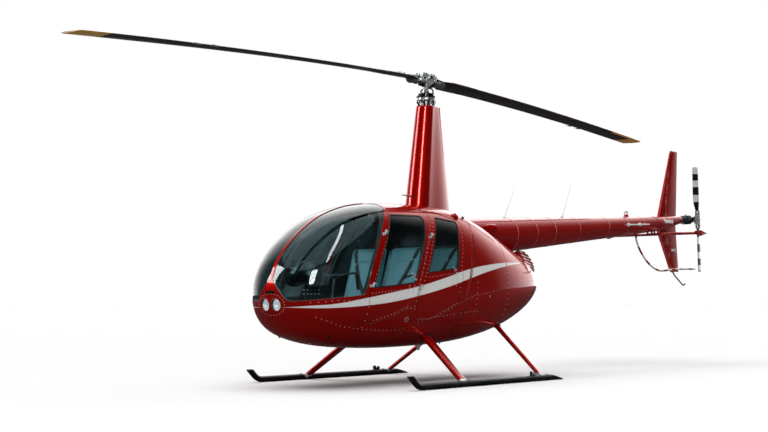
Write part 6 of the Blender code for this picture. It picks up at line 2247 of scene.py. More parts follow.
            turn = math.radians(degrees)
            out = Vector((math.cos(turn), math.sin(turn), 0))
            top, low = out * 0.088 + Vector((0, 0, 3.040)), out * 0.080 + Vector((0, 0.006, 2.9985))
            still.bar(f"push_rod_{number + 1}", low, top, 0.0065, BLACK_STEEL, sides=16)
            still.keep(Blank.ring(f"push_rod_end_{number + 1}", top, out.cross(Vector((0, 0, 1))), 0.011, 0.0055, 24,
                                  8).done(60), STEEL)
            still.keep(Blank.ring(f"push_rod_foot_{number + 1}", low, out.cross(Vector((0, 0, 1))), 0.011, 0.0055, 24,
                                  8).done(60), BLACK_STEEL)
        still.pipe("swashplate_scissor", curve_points(((0.052, -0.030, 3.000), (0.082, -0.060, 3.012), (0.098, -0.064, 3.040),
                                                       (0.090, -0.050, 3.066)), 4), 0.008, BLACK_STEEL)

    def fairing(self) -> None:
        """The tall fairing with its cap, its rivet lines and foot strip, and the pitot on its nose."""
        still = Bench("airframe")
        # Columns: z, middle of the nose, nose radius, trailing edge
        ends = ((1.80, -0.160, 0.142, 0.415), (2.985, -0.015, 0.100, 0.258))
        heights = [*np.linspace(1.80, 2.94, 24), 2.965, 2.978, 2.985]
        rings = [teardrop(row[0], row[1], row[2] - max(0.0, row[0] - 2.965) ** 2 * 10, row[3], bulge=0.055)
                 for row in blended(ends, heights)]
        shell = lofted("mast_fairing_skin", rings, 40)
        carve(shell, self.form.shell("fairing_foot_cut", 0.006, steps=6, sides=120))
        carve(shell, Blank.rod("fairing_bore", (0, 0, 2.80), (0, 0, 3.10), 0.041, sides=48).done())
        still.keep(smooth(shell, 30), PLAIN_RED, ("mast_fairing",))
        places = []
        for side, _ in SIDES:
            for z in np.arange(1.93, 2.96, 0.033):
                row = blended(ends, [z])[0]
                flank = Vector((side * row[2], row[1], z))
                edge = Vector((side * 0.004, row[3], z))
                normal = Vector((side, row[2] / (row[3] - row[1]), 0)).normalized()
                for t, near in ((0.30, flank), (0.95, flank)):
                    spot = near.lerp(edge, t)
                    depth = row[2] * math.sin(math.acos(row[2] / (row[3] - row[1])))
                    spot.x = side * (0.004 + (depth - 0.004) * (1 - t)) if t > 0.2 else spot.x
                    places.append(stand(spot, normal))
            for t in np.arange(0.05, 1.0, 0.09):
                row = blended(ends, [2.955])[0]
                depth = row[2] * math.sin(math.acos(row[2] / (row[3] - row[1])))
                spot = Vector((side * (0.004 + (depth - 0.004) * (1 - t)), row[1] + (row[3] - row[1]) * t, 2.955))
                places.append(stand(spot, (side, 0.4, 0)))
        still.keep(scatter("fairing_rivets", rivet("fairing_rivet", 0.003, 0.0013), places), RIVET_PAINTED_GLINT)
        foot = [self.form.on_skin((p.x, p.y, 3.0), (0, 0, -1))[0] for p in teardrop(1.86, -0.153, 0.146, 0.412, 36)]
        strip = self.form.strip("fairing_foot_strip", [*foot, foot[0]], 0.030, 0.0022, pitch=0.012)
        still.keep(strip, PLAIN_RED)
        nose = Vector((0, -0.160 - 0.142 + 0.020, 1.985))
        still.bar("pitot_mast", nose + Vector((0, 0.03, 0)), nose + Vector((0, -0.060, 0)), 0.012, ALUMINIUM, 0.010)
        still.bar("pitot_tube", nose + Vector((0, -0.045, 0)), nose + Vector((0, -0.135, 0.004)), 0.0065, STEEL, 0.0055)


@dataclass
class Tail:
    """Spine, tailcone, fins, stabiliser, gearbox, tail rotor, guard, lamp and aerials.

    Attributes:
        form: The body's outer form.
        fin_out: Sideways place of the fins.
        stabiliser_height: Height of the stabiliser.
        rotor_middle: Middle of the tail rotor's shaft.
        lean: Degrees by which the tail rotor stands turned.
        rotor_out: Sideways place of its blades.
    """

    form: BodyForm
    fin_out: float = -0.10
    stabiliser_height: float = 1.745
    rotor_middle: tuple[float, float, float] = (0.0, 5.884, 1.985)
    lean: float = 2.25
    rotor_out: float = 0.175

    # Columns: y, radius, width factor, drop of the top
    SPINE = ((0.36, 0.110, 1.12, 0.050), (0.44, 0.150, 1.10, 0.030), (0.62, 0.190, 1.10, 0.004), (1.00, 0.200, 1.04, 0.0),
             (1.4577, 0.2025, 1.0, 0.0))
    # Columns: y, radius
    CONE = ((1.458, 0.2025), (5.05, 0.101), (5.62, 0.059), (5.68, 0.053))
    BLADE = ((0.1303, 0.060, 0.034, 12.0), (0.200, 0.100, 0.024, 12.0), (0.270, 0.130, 0.018, 12.0), (0.737, 0.130, 0.014, 8.0))

    def build(self) -> None:
        """Make the whole tail."""
        self.still = Bench("airframe")
        self.cone()
        self.scoop()
        self.fins()
        self.stabiliser()
        self.gearbox()
        self.rotor()
        self.guard()
        self.aerials()

    def top(self, y: float) -> float:
        """Height of the cone's top edge."""
        return 1.752 + 0.049 * y

    def ring(self, y: float, radius: float, widen: float = 1.0, drop: float = 0.0, sides: int = 64) -> list[Vector]:
        """A section of the cone or the spine."""
        middle = self.top(y) - drop - radius
        return [Vector((radius * widen * math.cos(t), y, middle + radius * math.sin(t)))
                for t in np.linspace(0, 2 * math.pi, sides, endpoint=False)]

    def on_cone(self, y: float, degrees: float) -> tuple[Vector, Vector]:
        """A place on the cone and its normal, by Y and by the angle round it, 0 at port."""
        radius = blended(self.CONE, [y])[0][1]
        turn = math.radians(degrees)
        out = Vector((math.cos(turn), 0, math.sin(turn)))
        return Vector((0, y, self.top(y) - radius)) + out * radius, out

    def cone(self) -> None:
        """The spine behind the mast, the cone's skin with its ring seams, and its end cap."""
        rows = blended(self.SPINE, [*np.linspace(0.36, 0.62, 8), *np.linspace(0.68, 1.4577, 14)])
        spine = lofted("spine_fairing_skin", [self.ring(*row) for row in rows], 50)
        carve(spine, self.form.shell("spine_foot_cut", 0.006, steps=6, sides=120))
        self.still.keep(smooth(spine, 40), RED_PAINT, ("spine_fairing",))
        ys = [*np.linspace(1.458, 5.05, 60), *np.linspace(5.10, 5.62, 10), 5.65, 5.668, 5.68]
        rings = []
        for y, radius in blended(self.CONE, ys):
            radius -= max(0.0, y - 5.655) ** 2 * 8
            rings.append(self.ring(y, radius))
        self.still.keep(lofted("tailcone_skin", rings, 60), RED_PAINT, ("tailcone",))
        places = []
        for y in (1.4577, 1.881, 2.290, 2.858, 3.582, 4.079, 4.520, 4.905, 5.250):
            radius = blended(self.CONE, [max(y, 1.458)])[0][1]
            middle = (0, y, self.top(y) - radius)
            name = f"cone_seam_{round(y * 100)}"
            lap = ((radius - 0.004, -0.011), (radius + 0.0008, -0.011), (radius + 0.0014, -0.009), (radius + 0.0012, 0.009),
                   (radius + 0.0004, 0.0115), (radius - 0.004, 0.0115))
            self.still.lathe(name, lap, middle, (0, 1, 0), PLAIN_RED, 64)
            count = max(14, round(2 * math.pi * radius / 0.030))
            for number in range(count):
                place, out = self.on_cone(y, 360 * number / count)
                places.append(stand(place + out * 0.0014, out))
        for degrees in (48, 132, -100, -80):
            for y in np.arange(1.52, 5.2, 0.06):
                place, out = self.on_cone(y, degrees)
                places.append(stand(place + out * 0.0004, out))
        self.still.keep(scatter("cone_rivets", rivet("cone_rivet", 0.0042, 0.0016), places), RIVET_PAINTED_GLINT)
        seam = [self.on_cone(y, 138)[0] for y in np.arange(1.47, 5.3, 0.05)]
        self.still.pipe("cone_long_seam", seam, 0.0010, SEALANT, around=1)

    def scoop(self) -> None:
        """The ram-air scoop on the port side of the spine, with its dark mouth and lip."""
        for side, word in SIDES:
            rows = []
            for t in np.linspace(0, 1, 12):
                y = 0.980 - 0.200 * (1 - t)
                swell = math.sin(min(1.0, t * 1.15) * math.pi / 2)
                middle = Vector((side * (0.180 + 0.018 * t), y, 1.668 - 0.004 * t))
                rows.append([middle + Vector((side * 0.052 * swell * math.cos(a), 0, 0.058 * (0.35 + 0.65 * swell)
                                              * math.sin(a))) for a in np.linspace(0, 2 * math.pi, 28, endpoint=False)])
            scoop = lofted(f"air_scoop_{word}", rows, 50)
            mouth = Blank.rod(f"scoop_mouth_{word}", (side * 0.206, 0.930, 1.664), (side * 0.206, 1.02, 1.664), 0.036,
                              0.041, 32)
            carve(scoop, mouth.everything().scale((0.8, 1, 1), (side * 0.206, 0.97, 1.664)).done())
            self.still.keep(soften(scoop, 0.003, 2), PLAIN_RED)
            self.still.block(f"scoop_screen_{word}", (side * 0.206 - 0.028, 0.926, 1.634),
                             (side * 0.206 + 0.028, 0.931, 1.694), RUBBER, 0.001)

    def wing(self, name: str, rows: Sequence[Sequence[float]], place: Callable[[float, float, float], Vector],
             half: int = 16, angle: float = 50.0) -> bpy.types.Object:
        """A thin symmetric wing through rows of station, lead, trail and thickness."""
        rings = []
        for station, lead, trail, thickness in rows:
            ring = []
            for k in range(2 * half):
                t = (1 - math.cos(math.pi * k / half)) / 2
                out = math.copysign(thickness * (1.3 * math.sqrt(t) * (1 - t) + 0.06 * min(1.0, 6 * t)), 1 if k < half else -1)
                ring.append(place(station, lead + (trail - lead) * t, out))
            rings.append(ring)
        return lofted(name, rings, angle)

    def fins(self) -> None:
        """Upper and lower fins with leading-edge strips, rivet lines along spars and ribs, stepped tips, a root bracket
        and blank plates.
        """
        still, out = self.still, self.fin_out

        def upright(station: float, along: float, across: float) -> Vector:
            return Vector((out + across, along, station))

        tables = {"fin_upper": ((1.9503, 5.224, 5.766, 0.044), (2.955, 5.622, 5.829, 0.020)),
                  "fin_lower": ((1.250, 5.574, 5.817, 0.022), (1.9497, 5.143, 5.752, 0.044))}
        places = []
        for name, ends in tables.items():
            low, high = ends[0][0], ends[1][0]
            tip_up = name == "fin_upper"
            stations = np.linspace(low, high, 22)
            rows = blended(ends, stations)
            tip = rows[-1] if tip_up else rows[0]
            for step, shrink in ((0.004, 0.75), (0.006, 0.35)):
                extra = [tip[0] - (0.006 - step) * (1 if tip_up else -1), tip[1], tip[2], tip[3] * shrink]
                if tip_up:
                    rows = [*rows[:-1], [tip[0] - 0.008, *rows[-1][1:]], extra] if step < 0.005 else [*rows, extra]
                else:
                    rows = [extra, [tip[0] + 0.008, *rows[0][1:]], *rows[1:]] if step < 0.005 else [extra, *rows]
            rows = sorted(rows)
            still.keep(self.wing(f"{name}_skin", rows, upright), PLAIN_RED, (name,))
            cap = [[row[0], row[1] - 0.0016, row[1] + 0.105 * (row[2] - row[1]), row[3] * 0.72]
                   for row in blended(ends, np.linspace(low + 0.03, high - 0.03, 16))]
            strip = self.wing(f"{name}_leading_edge", cap, upright, half=8)
            # The strip's brighter red is a painted highlight along the leading edge
            still.keep(strip, RED_PAINTED_EDGE_HIGHLIGHT)
            for z in np.arange(low + 0.05, high - 0.02, 0.045):
                row = blended(ends, [z])[0]
                for t in (0.16, 0.52, 0.93):
                    spread_out = row[3] * (1.3 * math.sqrt(t) * (1 - t) + 0.06)
                    for sign in (1, -1):
                        places.append(stand((out + sign * spread_out, row[1] + (row[2] - row[1]) * t, z), (sign, 0, 0)))
            for fraction in (0.02, 0.40, 0.98) if tip_up else (0.03, 0.55):
                row = blended(ends, [low + (high - low) * fraction])[0]
                for t in np.arange(0.1, 0.98, 0.03 / (row[2] - row[1])):
                    spread_out = row[3] * (1.3 * math.sqrt(t) * (1 - t) + 0.06)
                    for sign in (1, -1):
                        places.append(stand((out + sign * spread_out, row[1] + (row[2] - row[1]) * t, row[0]), (sign, 0, 0)))
        still.keep(scatter("fin_rivets", rivet("fin_rivet", 0.0034, 0.0013), places), RIVET_PAINTED_GLINT)
        still.plate("fin_root_bracket", ((5.30, 1.876, 0.02), (5.66, 1.900, 0.02), (5.66, 1.972, 0.01), (5.30, 1.952, 0.01)), X,
                    out - 0.030, -0.045, BLACK_ENAMEL)
        arrow = ((5.150, 1.400, 0.004), (5.170, 1.378, 0.004), (5.170, 1.388, 0.004), (5.330, 1.388, 0.004),
                 (5.330, 1.378, 0.004), (5.352, 1.400, 0.004), (5.330, 1.422, 0.004), (5.330, 1.412, 0.004),
                 (5.170, 1.412, 0.004), (5.170, 1.422, 0.004))
        lower = [(y + 0.37, 1.555 + (z - 1.40) * 1.36, r) for y, z, r in arrow]
        still.plate("blank_arrow_plate_lower", lower, X, out + 0.004, out + 0.0162, WHITE_PAINT, 0.0004)
        cone_arrow = [(y - 5.25, (z - 1.40) * 1.82, r) for y, z, r in arrow]
        middle, _ = self.on_cone(5.225, 8)
        plate = Blank.outline("blank_arrow_plate_cone", [(p.x * 1.386 + middle.y, p.y + middle.z) for p in
                              rounded(cone_arrow, 15)], X, 0.02, 0.2).done()
        band = lofted("arrow_shell", [[p + (p - Vector((0, p.y, self.top(p.y) - r))).normalized() * 0.0034
                                       for p in self.ring(y, r)] for y, r in blended(self.CONE, np.linspace(5.05, 5.40, 6))], 60)
        still.keep(smooth(carve(plate, band, "INTERSECT")), WHITE_PAINT)

    def stabiliser(self) -> None:
        """The tailplane under the cone, with its diamond ends, brackets and strap."""
        still, z = self.still, self.stabiliser_height
        ends = ((-0.712, 4.93, 4.95, 0.004), (-0.700, 4.775, 5.105, 0.052), (-0.690, 4.79, 5.09, 0.034),
                (0.690, 4.79, 5.09, 0.034), (0.700, 4.775, 5.105, 0.052), (0.712, 4.93, 4.95, 0.004))
        rows = [*ends[:2], *blended(ends, np.linspace(-0.690, 0.690, 30)), *ends[4:]]
        wing = self.wing("stabiliser_skin", rows, lambda x, y, up: Vector((x, y, z + up)), angle=35)
        still.keep(wing, PLAIN_RED, ("stabiliser",))
        diamond = ((4.750, z, 0.003), (4.94, z + 0.040, 0.02), (5.130, z, 0.003), (4.94, z - 0.040, 0.02))
        for side, word in SIDES:
            low, high = sorted((side * 0.700, side * 0.7115))
            still.plate(f"stabiliser_end_{word}", diamond, X, low, high, PLAIN_RED, 0.002)
        for label, y in (("fore", 4.83), ("aft", 5.01)):
            for side, word in SIDES:
                top, _ = self.on_cone(y + 0.02, -90 + side * 17)
                still.plate(f"stabiliser_bracket_{label}_{word}", ((side * 0.030 - 0.004, z - 0.002, 0.002),
                            (side * 0.030 + 0.004, z - 0.002, 0.002), (top.x + 0.004, top.z + 0.014, 0.002),
                            (top.x - 0.004, top.z + 0.014, 0.002)), Y, y, y + 0.040, PLAIN_RED, 0.001)
        rings = []
        for radius in (0.0018,):
            for y in (4.905, 4.935):
                size = blended(self.CONE, [y])[0][1] + radius
                rings.append([(size, y - 4.92)])
        size = blended(self.CONE, [4.92])[0][1]
        strap = ((size - 0.002, -0.016), (size + 0.003, -0.016), (size + 0.0035, 0.016), (size - 0.002, 0.016))
        still.lathe("stabiliser_strap", strap, (0, 4.92, self.top(4.92) - size), (0, 1, 0), PLAIN_RED, 64)
        spots = [((side * x, y, z + 0.0185), (0, 0, 1)) for side, _ in SIDES for x in (0.028, 0.045) for y in (4.85, 4.93, 5.03)]
        still.bolts("stabiliser_bolts", spots, 0.0055, 0.005, STEEL)
        places = [stand((x, 4.79 + 0.30 * t, z + sign * 0.034 * (1.3 * math.sqrt(t) * (1 - t) + 0.06)), (0, 0, sign))
                  for x in np.arange(-0.67, 0.68, 0.042) for t in (0.14, 0.62, 0.95) for sign in (1, -1)]
        still.keep(scatter("stabiliser_rivets", rivet("stabiliser_rivet", 0.0024, 0.0011), places), RIVET_PAINTED_GLINT)

    def gearbox(self) -> None:
        """The finned gearbox on the cone's end, its output neck, sight glass, filler and pitch lever."""
        still = self.still
        profile = [(0.0, 5.6805), (0.051, 5.6805), (0.051, 5.688), (0.040, 5.690)]
        for step in range(9):
            start = 5.702 + 0.0135 * step
            size = 0.056 - 0.001 * abs(step - 4)
            profile += [(0.041, start), (size, start + 0.002), (size, start + 0.0055), (0.041, start + 0.0075)]
        profile += [(0.044, 5.826), (0.050, 5.832), (0.0, 5.838)]
        still.lathe("tail_gearbox_fins", profile, (0, 0, 1.980), (0, 1, 0), GEARBOX_GREY, nodes=("tail_gearbox",))
        case = [(0.0, -0.080), (0.030, -0.080), (0.036, -0.074), (0.055, -0.068)]
        for step in range(7):
            start = -0.060 + 0.0175 * step
            case += [(0.054, start), (0.063, start + 0.003), (0.063, start + 0.008), (0.054, start + 0.011)]
        case += [(0.050, 0.070), (0.035, 0.076), (0.034, 0.104), (0.0225, 0.105), (0.0, 0.105)]
        still.lathe("tail_gearbox_case", case, self.rotor_middle, (1, 0, 0), GEARBOX_GREY)
        x, y, z = self.rotor_middle
        still.bolts("gearbox_bolts", [((0.071, y + 0.050 * math.cos(a), z + 0.050 * math.sin(a)), (1, 0, 0))
                                      for a in np.linspace(0, 2 * math.pi, 8, endpoint=False)], 0.0055, 0.006, STEEL)
        still.bar("gearbox_filler", (-0.01, y, z + 0.050), (-0.01, y, z + 0.078), 0.015, ALUMINIUM, sides=6)
        still.bar("gearbox_sight_glass", (-0.02, y + 0.052, z - 0.02), (-0.02, y + 0.070, z - 0.02), 0.012, CLEAR_LENS)
        lever = ((0.030, 5.742, 1.930), (0.066, 5.770, 1.938), (0.100, 5.812, 1.952), (0.118, 5.842, 1.962))
        still.pipe("tail_pitch_lever", curve_points(lever, 5), 0.0078, BLACK_STEEL)
        still.bar("tail_pitch_pivot", (0.026, 5.742, 1.918), (0.026, 5.742, 1.950), 0.012, STEEL, sides=20)
        still.bar("tail_push_pull_tube", (0.028, 5.60, 1.9335), (0.028, 5.742, 1.931), 0.0065, ALUMINIUM, sides=16)

    def rotor(self) -> None:
        """Shaft, seesaw plate, pitch ring and links, and two banded blades."""
        place = Matrix.Translation(Vector(self.rotor_middle)) @ Matrix.Rotation(math.radians(self.lean), 4, "X")
        spin, out = Bench("tail_rotor", place), self.rotor_out
        shaft = ((0.0, 0.049), (0.015, 0.049), (0.015, 0.150), (0.022, 0.153), (0.022, 0.196), (0.015, 0.199), (0.015, 0.210),
                 (0.008, 0.216), (0.0, 0.216))
        spin.lathe("tail_rotor_shaft", shaft, (0, 0, 0), (1, 0, 0), STEEL, nodes=("tail_rotor_hub",))
        plate = [(y, z, 0.010) for y, z in ((-0.030, -0.045), (-0.022, -0.128), (0.022, -0.128), (0.030, -0.045),
                                            (0.030, 0.045), (0.022, 0.128), (-0.022, 0.128), (-0.030, 0.045))]
        for x, word in ((out - 0.019, "inner"), (out + 0.019, "outer")):
            spin.plate(f"tail_hub_plate_{word}", plate, X, x - 0.0045, x + 0.0045, ALUMINIUM, 0.0015)
        spin.block("tail_hub_block", (out - 0.016, -0.024, -0.040), (out + 0.016, 0.024, 0.040), STEEL, 0.005)
        ring = ((0.0155, 0.120), (0.043, 0.120), (0.045, 0.122), (0.045, 0.132), (0.043, 0.134), (0.0155, 0.134))
        spin.lathe("tail_pitch_ring", ring, (0, 0, 0), (1, 0, 0), BLACK_STEEL)
        spin.lathe("tail_shaft_boot", ((0.0155, 0.108), (0.024, 0.108), (0.019, 0.112), (0.024, 0.116), (0.019, 0.119),
                                       (0.0155, 0.119)), (0, 0, 0), (1, 0, 0), RUBBER)
        for sign, word in ((1, "upper"), (-1, "lower")):
            low, high = Vector((0.127, 0.036 * sign, 0)), Vector((out, 0.050 * sign, 0.09 * sign))
            spin.bar(f"tail_pitch_link_{word}", low, high, 0.0058, STEEL, sides=16)
            for end, at in (("inner", low), ("outer", high)):
                spin.keep(Blank.ball(f"tail_link_ball_{end}_{word}", at, 0.0095).everything().scale((1, 1, 0.85), at).done(60),
                          BLACK_STEEL)
            spin.pipe(f"tail_pitch_horn_{word}", ((out, 0.016 * sign, 0.100 * sign), (out, 0.034 * sign, 0.094 * sign), high),
                      0.0085, STEEL)
            spin.bar(f"tail_blade_cuff_{word}", (out, 0, 0.118 * sign), (out, 0, 0.215 * sign), 0.020, BLACK_ENAMEL, 0.013)
            spin.bolts(f"tail_hub_bolts_{word}", [((out + 0.0235, y, z * sign), (1, 0, 0)) for y, z in
                                                 ((0, 0.112), (-0.012, 0.080), (0.012, 0.080))], 0.0072, 0.007, BLACK_STEEL)
            stations = [*np.linspace(0.1303, 0.27, 7), *np.linspace(0.29, 0.715, 24), 0.728, 0.734, 0.737]
            rings = []
            for row in blended(self.BLADE, stations):
                over = max(0.0, (row[0] - 0.715) / 0.022)
                row[1] *= 1 - 0.30 * over**2
                row[2] *= 1 - 0.50 * over**2
                rings.append([Vector((out + p.z, -sign * p.x, -sign * p.y)) for p in
                              blade_section(row, 1, lead=0.35)])
            blade = lofted(f"tail_blade_{word}_skin", rings, 50)

            def band(middle: Vector) -> int:
                edges = (0.256, 0.354, 0.451, 0.548, 0.645)
                return (0, 1, 0, 1, 0, 1)[sum(abs(middle.z) > edge for edge in edges)]

            finish_faces(blade, (BLADE_PAINT, WHITE_PAINT), band)
            spin.keep(blade, None, (f"tail_blade_{word}",), "blade_paint")

    def guard(self) -> None:
        """The striped guard tube with its clamp, and the sprung skid under the lower fin."""
        route = curve_points(((0.0, 4.465, 1.78), (0.0, 4.500, 1.644), (0.010, 4.579, 1.510), (0.020, 4.730, 1.376),
                              (0.030, 4.880, 1.295), (0.030, 5.070, 1.256), (0.030, 5.300, 1.268), (0.030, 5.550, 1.285),
                              (0.030, 6.0492, 1.295)), 12)
        route = spread(route, 0.016)
        tube_piece = tube("tail_rotor_guard_tube", route, 0.0140, 4)
        soften(tube_piece, 0.003, 2, 60)

        def band(middle: Vector) -> int:
            nearest = min(range(len(route)), key=lambda i: (route[i] - middle).length_squared)
            return 1 if (nearest * 0.016) % 0.235 < 0.105 else 0

        finish_faces(tube_piece, (WHITE_PAINT, PLAIN_RED), band)
        self.still.keep(smooth(tube_piece, 60), None, ("tail_rotor_guard",), "white_paint")
        self.still.lathe("guard_socket", ((0.0135, -0.01), (0.024, -0.01), (0.026, -0.004), (0.018, 0.020), (0.0135, 0.024)),
                         (0, 4.478, 1.756), (0, 0.25, -1), PLAIN_RED)
        clamp = self.fin_out + 0.010
        self.still.block("guard_clamp_arm", (clamp, 5.655, 1.276), (0.020, 5.695, 1.292), WHITE_PAINT, 0.002)
        self.still.bar("guard_clamp", (0.030, 5.650, 1.2892), (0.030, 5.700, 1.2894), 0.0165, WHITE_PAINT, edge=0.002)
        self.still.bolts("guard_clamp_bolts", [((x, 5.675, 1.292), (0, 0, 1)) for x in (-0.060, -0.015)], 0.006, 0.006, STEEL)
        out = self.fin_out
        skid = curve_points(((out, 5.640, 1.262), (out, 5.700, 1.205), (out, 5.860, 1.110), (out, 5.930, 1.072),
                             (out, 5.965, 1.066), (out, 6.000, 1.084)), 6)
        self.still.pipe("tail_skid_spring", skid, 0.0100, DARK_RED, nodes=("tail_skid",))
        self.still.block("tail_skid_clamp", (out - 0.0135, 5.612, 1.243), (out + 0.0135, 5.668, 1.262), PLAIN_RED, 0.003)

    def aerials(self) -> None:
        """The beacon, two bar aerials on their feet and two whips."""
        still = self.still
        y = 4.233
        top = self.top(y)
        base = ((0.0, -0.012), (0.034, -0.012), (0.034, 0.010), (0.031, 0.016), (0.030, 0.028), (0.0, 0.029))
        still.lathe("beacon_base", base, (0, y, top), (0, 0, 1), PLAIN_RED)
        lens = ((0.0, 0.029), (0.0265, 0.029), (0.0268, 0.034), (0.0250, 0.060), (0.0195, 0.069), (0.010, 0.0735),
                (0.0, 0.0742))
        still.lathe("beacon_lens", lens, (0, y, top), (0, 0, 1), CLEAR_LENS, nodes=("tail_beacon",))
        # The reflector carries a painted glow, though the beacon is off
        still.lathe("beacon_reflector", ((0.0, 0.0295), (0.019, 0.0295), (0.012, 0.037), (0.012, 0.053), (0.0, 0.055)),
                    (0, y, top), (0, 0, 1), REFLECTOR_PAINTED_GLOW)
        for side, word in SIDES:
            ends = Vector((side * 0.150, 4.02, 1.838)), Vector((side * 0.150, 4.58, 1.866))
            still.bar(f"bar_aerial_rod_{word}", *ends, 0.0088, WHITE_PAINT, edge=0.003, nodes=(f"bar_aerial_{word}",))
            for label, at, z in (("fore", 4.04, 1.839), ("aft", 4.33, 1.8535)):
                foot = ((0.0, -0.05), (0.026, -0.05), (0.022, -0.02), (0.014, 0.0), (0.014, 0.020), (0.022, 0.030),
                        (0.023, 0.050), (0.018, 0.058), (0.0, 0.060))
                still.lathe(f"bar_aerial_foot_{label}_{word}", foot, (side * 0.110, at, z), (side, 0, 0), WHITE_PAINT)
        for name, base_at, tip in (("fore", (0, 1.458, 1.815), (0, 1.687, 2.20)), ("aft", (0, 2.693, 1.878),
                                                                               (0, 2.905, 2.31))):
            base_at, tip = Vector(base_at), Vector(tip)
            way = (tip - base_at).normalized()
            foot = ((0.0, 0.0), (0.022, 0.0), (0.021, 0.012), (0.012, 0.020), (0.0085, 0.040), (0.006, 0.048), (0.0, 0.050))
            still.lathe(f"whip_foot_{name}", foot, base_at, way, WHITE_PAINT, 32)
            still.bar(f"whip_{name}", base_at + way * 0.040, tip, 0.0032, WHITE_PAINT, 0.0016, edge=0.0004, sides=12)


@dataclass
class LandingGear:
    """Skids with their shoes, wheel lugs, streamlined struts and the cuffs where they leave the belly."""

    form: BodyForm
    out: float = 1.092
    tube: float = 0.032

    # Columns: name, foot y, hip x, y, z, chord, thickness
    STRUTS = (("front", -0.780, 0.340, -0.615, 0.590, 0.135, 0.058), ("rear", 0.600, 0.290, 0.790, 0.640, 0.092, 0.052))

    def build(self) -> None:
        """Make both sides."""
        belly = self.form.shell("strut_top_cut", 0.008, steps=6, sides=120)
        for side, word in SIDES:
            self.skid(side, word)
            for row in self.STRUTS:
                self.strut(side, word, belly, *row)
        remove(belly)
        self.belly_fittings()

    def skid(self, side: int, word: str) -> None:
        """One skid tube with its toe, caps, wear shoes, lug and pin."""
        still, x = Bench("airframe"), side * self.out
        bend, radius, angle = -1.43, 0.16, math.radians(42)
        route = [Vector((x, y, self.tube)) for y in np.arange(0.985, bend, -0.09)]
        route += [Vector((x, bend - radius * math.sin(t), self.tube + radius * (1 - math.cos(t))))
                  for t in np.linspace(0, angle, 13)]
        route.append(route[-1] + 0.110 * Vector((0, -math.cos(angle), math.sin(angle))))
        pipe = tube(f"skid_tube_{word}", route, self.tube, 8)
        # The toe is cut level, the tail on a long slant that leaves a tongue on the ground
        Blank.reopen(pipe).halve((0, 0, 0.141), (0, 0, 1), True).halve((0, 0.985, 0.006), (0, 0.24, 0.97), True).done()
        still.keep(smooth(soften(pipe, 0.0015, 2, 40), 35), SKID_ENAMEL, (f"skid_{word}",))
        for number, (low, high) in enumerate(((-1.36, -1.02), (-0.66, -0.22), (0.05, 0.34), (0.66, 0.80))):
            shoe = Blank.rod(f"skid_shoe_{number + 1}_{word}", (x, low, self.tube), (x, high, self.tube), self.tube + 0.0022,
                             sides=48)
            shoe.halve((x, 0, 0.020), (0, 0, 1), True).halve((x, 0, 0.0004), (0, 0, -1), True)
            still.keep(shoe.done_round(0.001), BLACK_STEEL)
        for label, y in (("fore", -0.78), ("aft", 0.60)):
            for end in (-0.075, 0.075):
                still.keep(Blank.ring(f"skid_clamp_{label}_{'front' if end < 0 else 'back'}_{word}", (x, y + end, self.tube),
                                      (0, 1, 0), self.tube, 0.0026, 40, 8).everything().scale((1, 2.4, 1), (x, y + end, 0))
                           .halve((x, 0, 0.0004), (0, 0, -1), True).done(60), BLACK_STEEL)
        lug = ((0.385, 0.050, 0.003), (0.475, 0.050, 0.003), (0.475, 0.100, 0.008), (0.452, 0.100, 0.008),
               (0.448, 0.072, 0.004), (0.412, 0.072, 0.004), (0.408, 0.108, 0.008), (0.385, 0.108, 0.008))
        still.plate(f"wheel_lug_plate_{word}", lug, X, x - 0.011, x + 0.011, BLACK_ENAMEL, 0.002)
        still.bar(f"wheel_pin_{word}", (x, 0.435, 0.078), (x + side * 0.059, 0.435, 0.078), 0.0108, STEEL)
        still.bar(f"wheel_pin_head_{word}", (x - side * 0.010, 0.435, 0.078), (x - side * 0.018, 0.435, 0.078), 0.015,
                  BLACK_STEEL, sides=6)
        still.bar(f"wheel_pin_post_{word}", (x + side * 0.050, 0.435, 0.072), (x + side * 0.050, 0.435, 0.100), 0.008,
                  BLACK_ENAMEL, sides=16)

    def strut(self, side: int, word: str, belly: bpy.types.Object, kind: str, foot_y: float, hip_x: float, hip_y: float,
              hip_z: float, chord: float, thickness: float) -> None:
        """One strut with its foot casting, bolts and belly cuff."""
        still = Bench("airframe")
        foot, hip = Vector((side * self.out, foot_y, 0.030)), Vector((side * hip_x, hip_y, hip_z))
        along = (hip - foot).normalized()
        aft = (AXES[Y] - along * along.y).normalized()
        across = along.cross(aft)
        section = teardrop(0.0, 0.0, thickness / 2, chord - thickness / 2, 24, bulge=0.06)

        def ring(t: float, grow: float = 0.0) -> list[Vector]:
            middle = foot.lerp(hip, t)
            size = 0.80 + 0.24 * t
            return [middle + across * (p.x * size + math.copysign(grow, p.x)) + aft * (p.y * size + (grow if p.y > 0 else -grow))
                    for p in section]

        name = f"{kind}_{word}"
        strut = lofted(f"strut_{name}_fairing", [ring(t) for t in np.linspace(0.045, 1.0, 16)], 35)
        carve(strut, belly, keep=True)
        still.keep(smooth(strut, 35), PLAIN_RED, (f"strut_{name}",))
        shoe = lofted(f"strut_foot_{name}", [ring(t, 0.002) for t in (0.012, 0.03, 0.05, 0.060)], 35)
        still.keep(soften(shoe, 0.001, 1), WHITE_PAINT if kind == "front" else ALUMINIUM)
        still.bolts(f"strut_foot_bolts_{name}", [((foot.x + dx, foot_y + dy, 0.0635), (0, 0, 1)) for dx in (-0.010, 0.010)
                                                for dy in (-0.055, 0.095)], 0.0065, 0.007, STEEL)
        leave = self.form.tree.ray_cast(foot, along)[0]
        share = (leave - foot).length / (hip - foot).length
        cuff = lofted(f"strut_cuff_{name}", [ring(share + d, g) for d, g in ((-0.014, 0.0008), (-0.010, 0.0030), (0.0, 0.0050),
                                                                             (0.06, 0.008))], 50)
        carve(cuff, belly, keep=True)
        still.keep(smooth(cuff, 50), RUBBER)

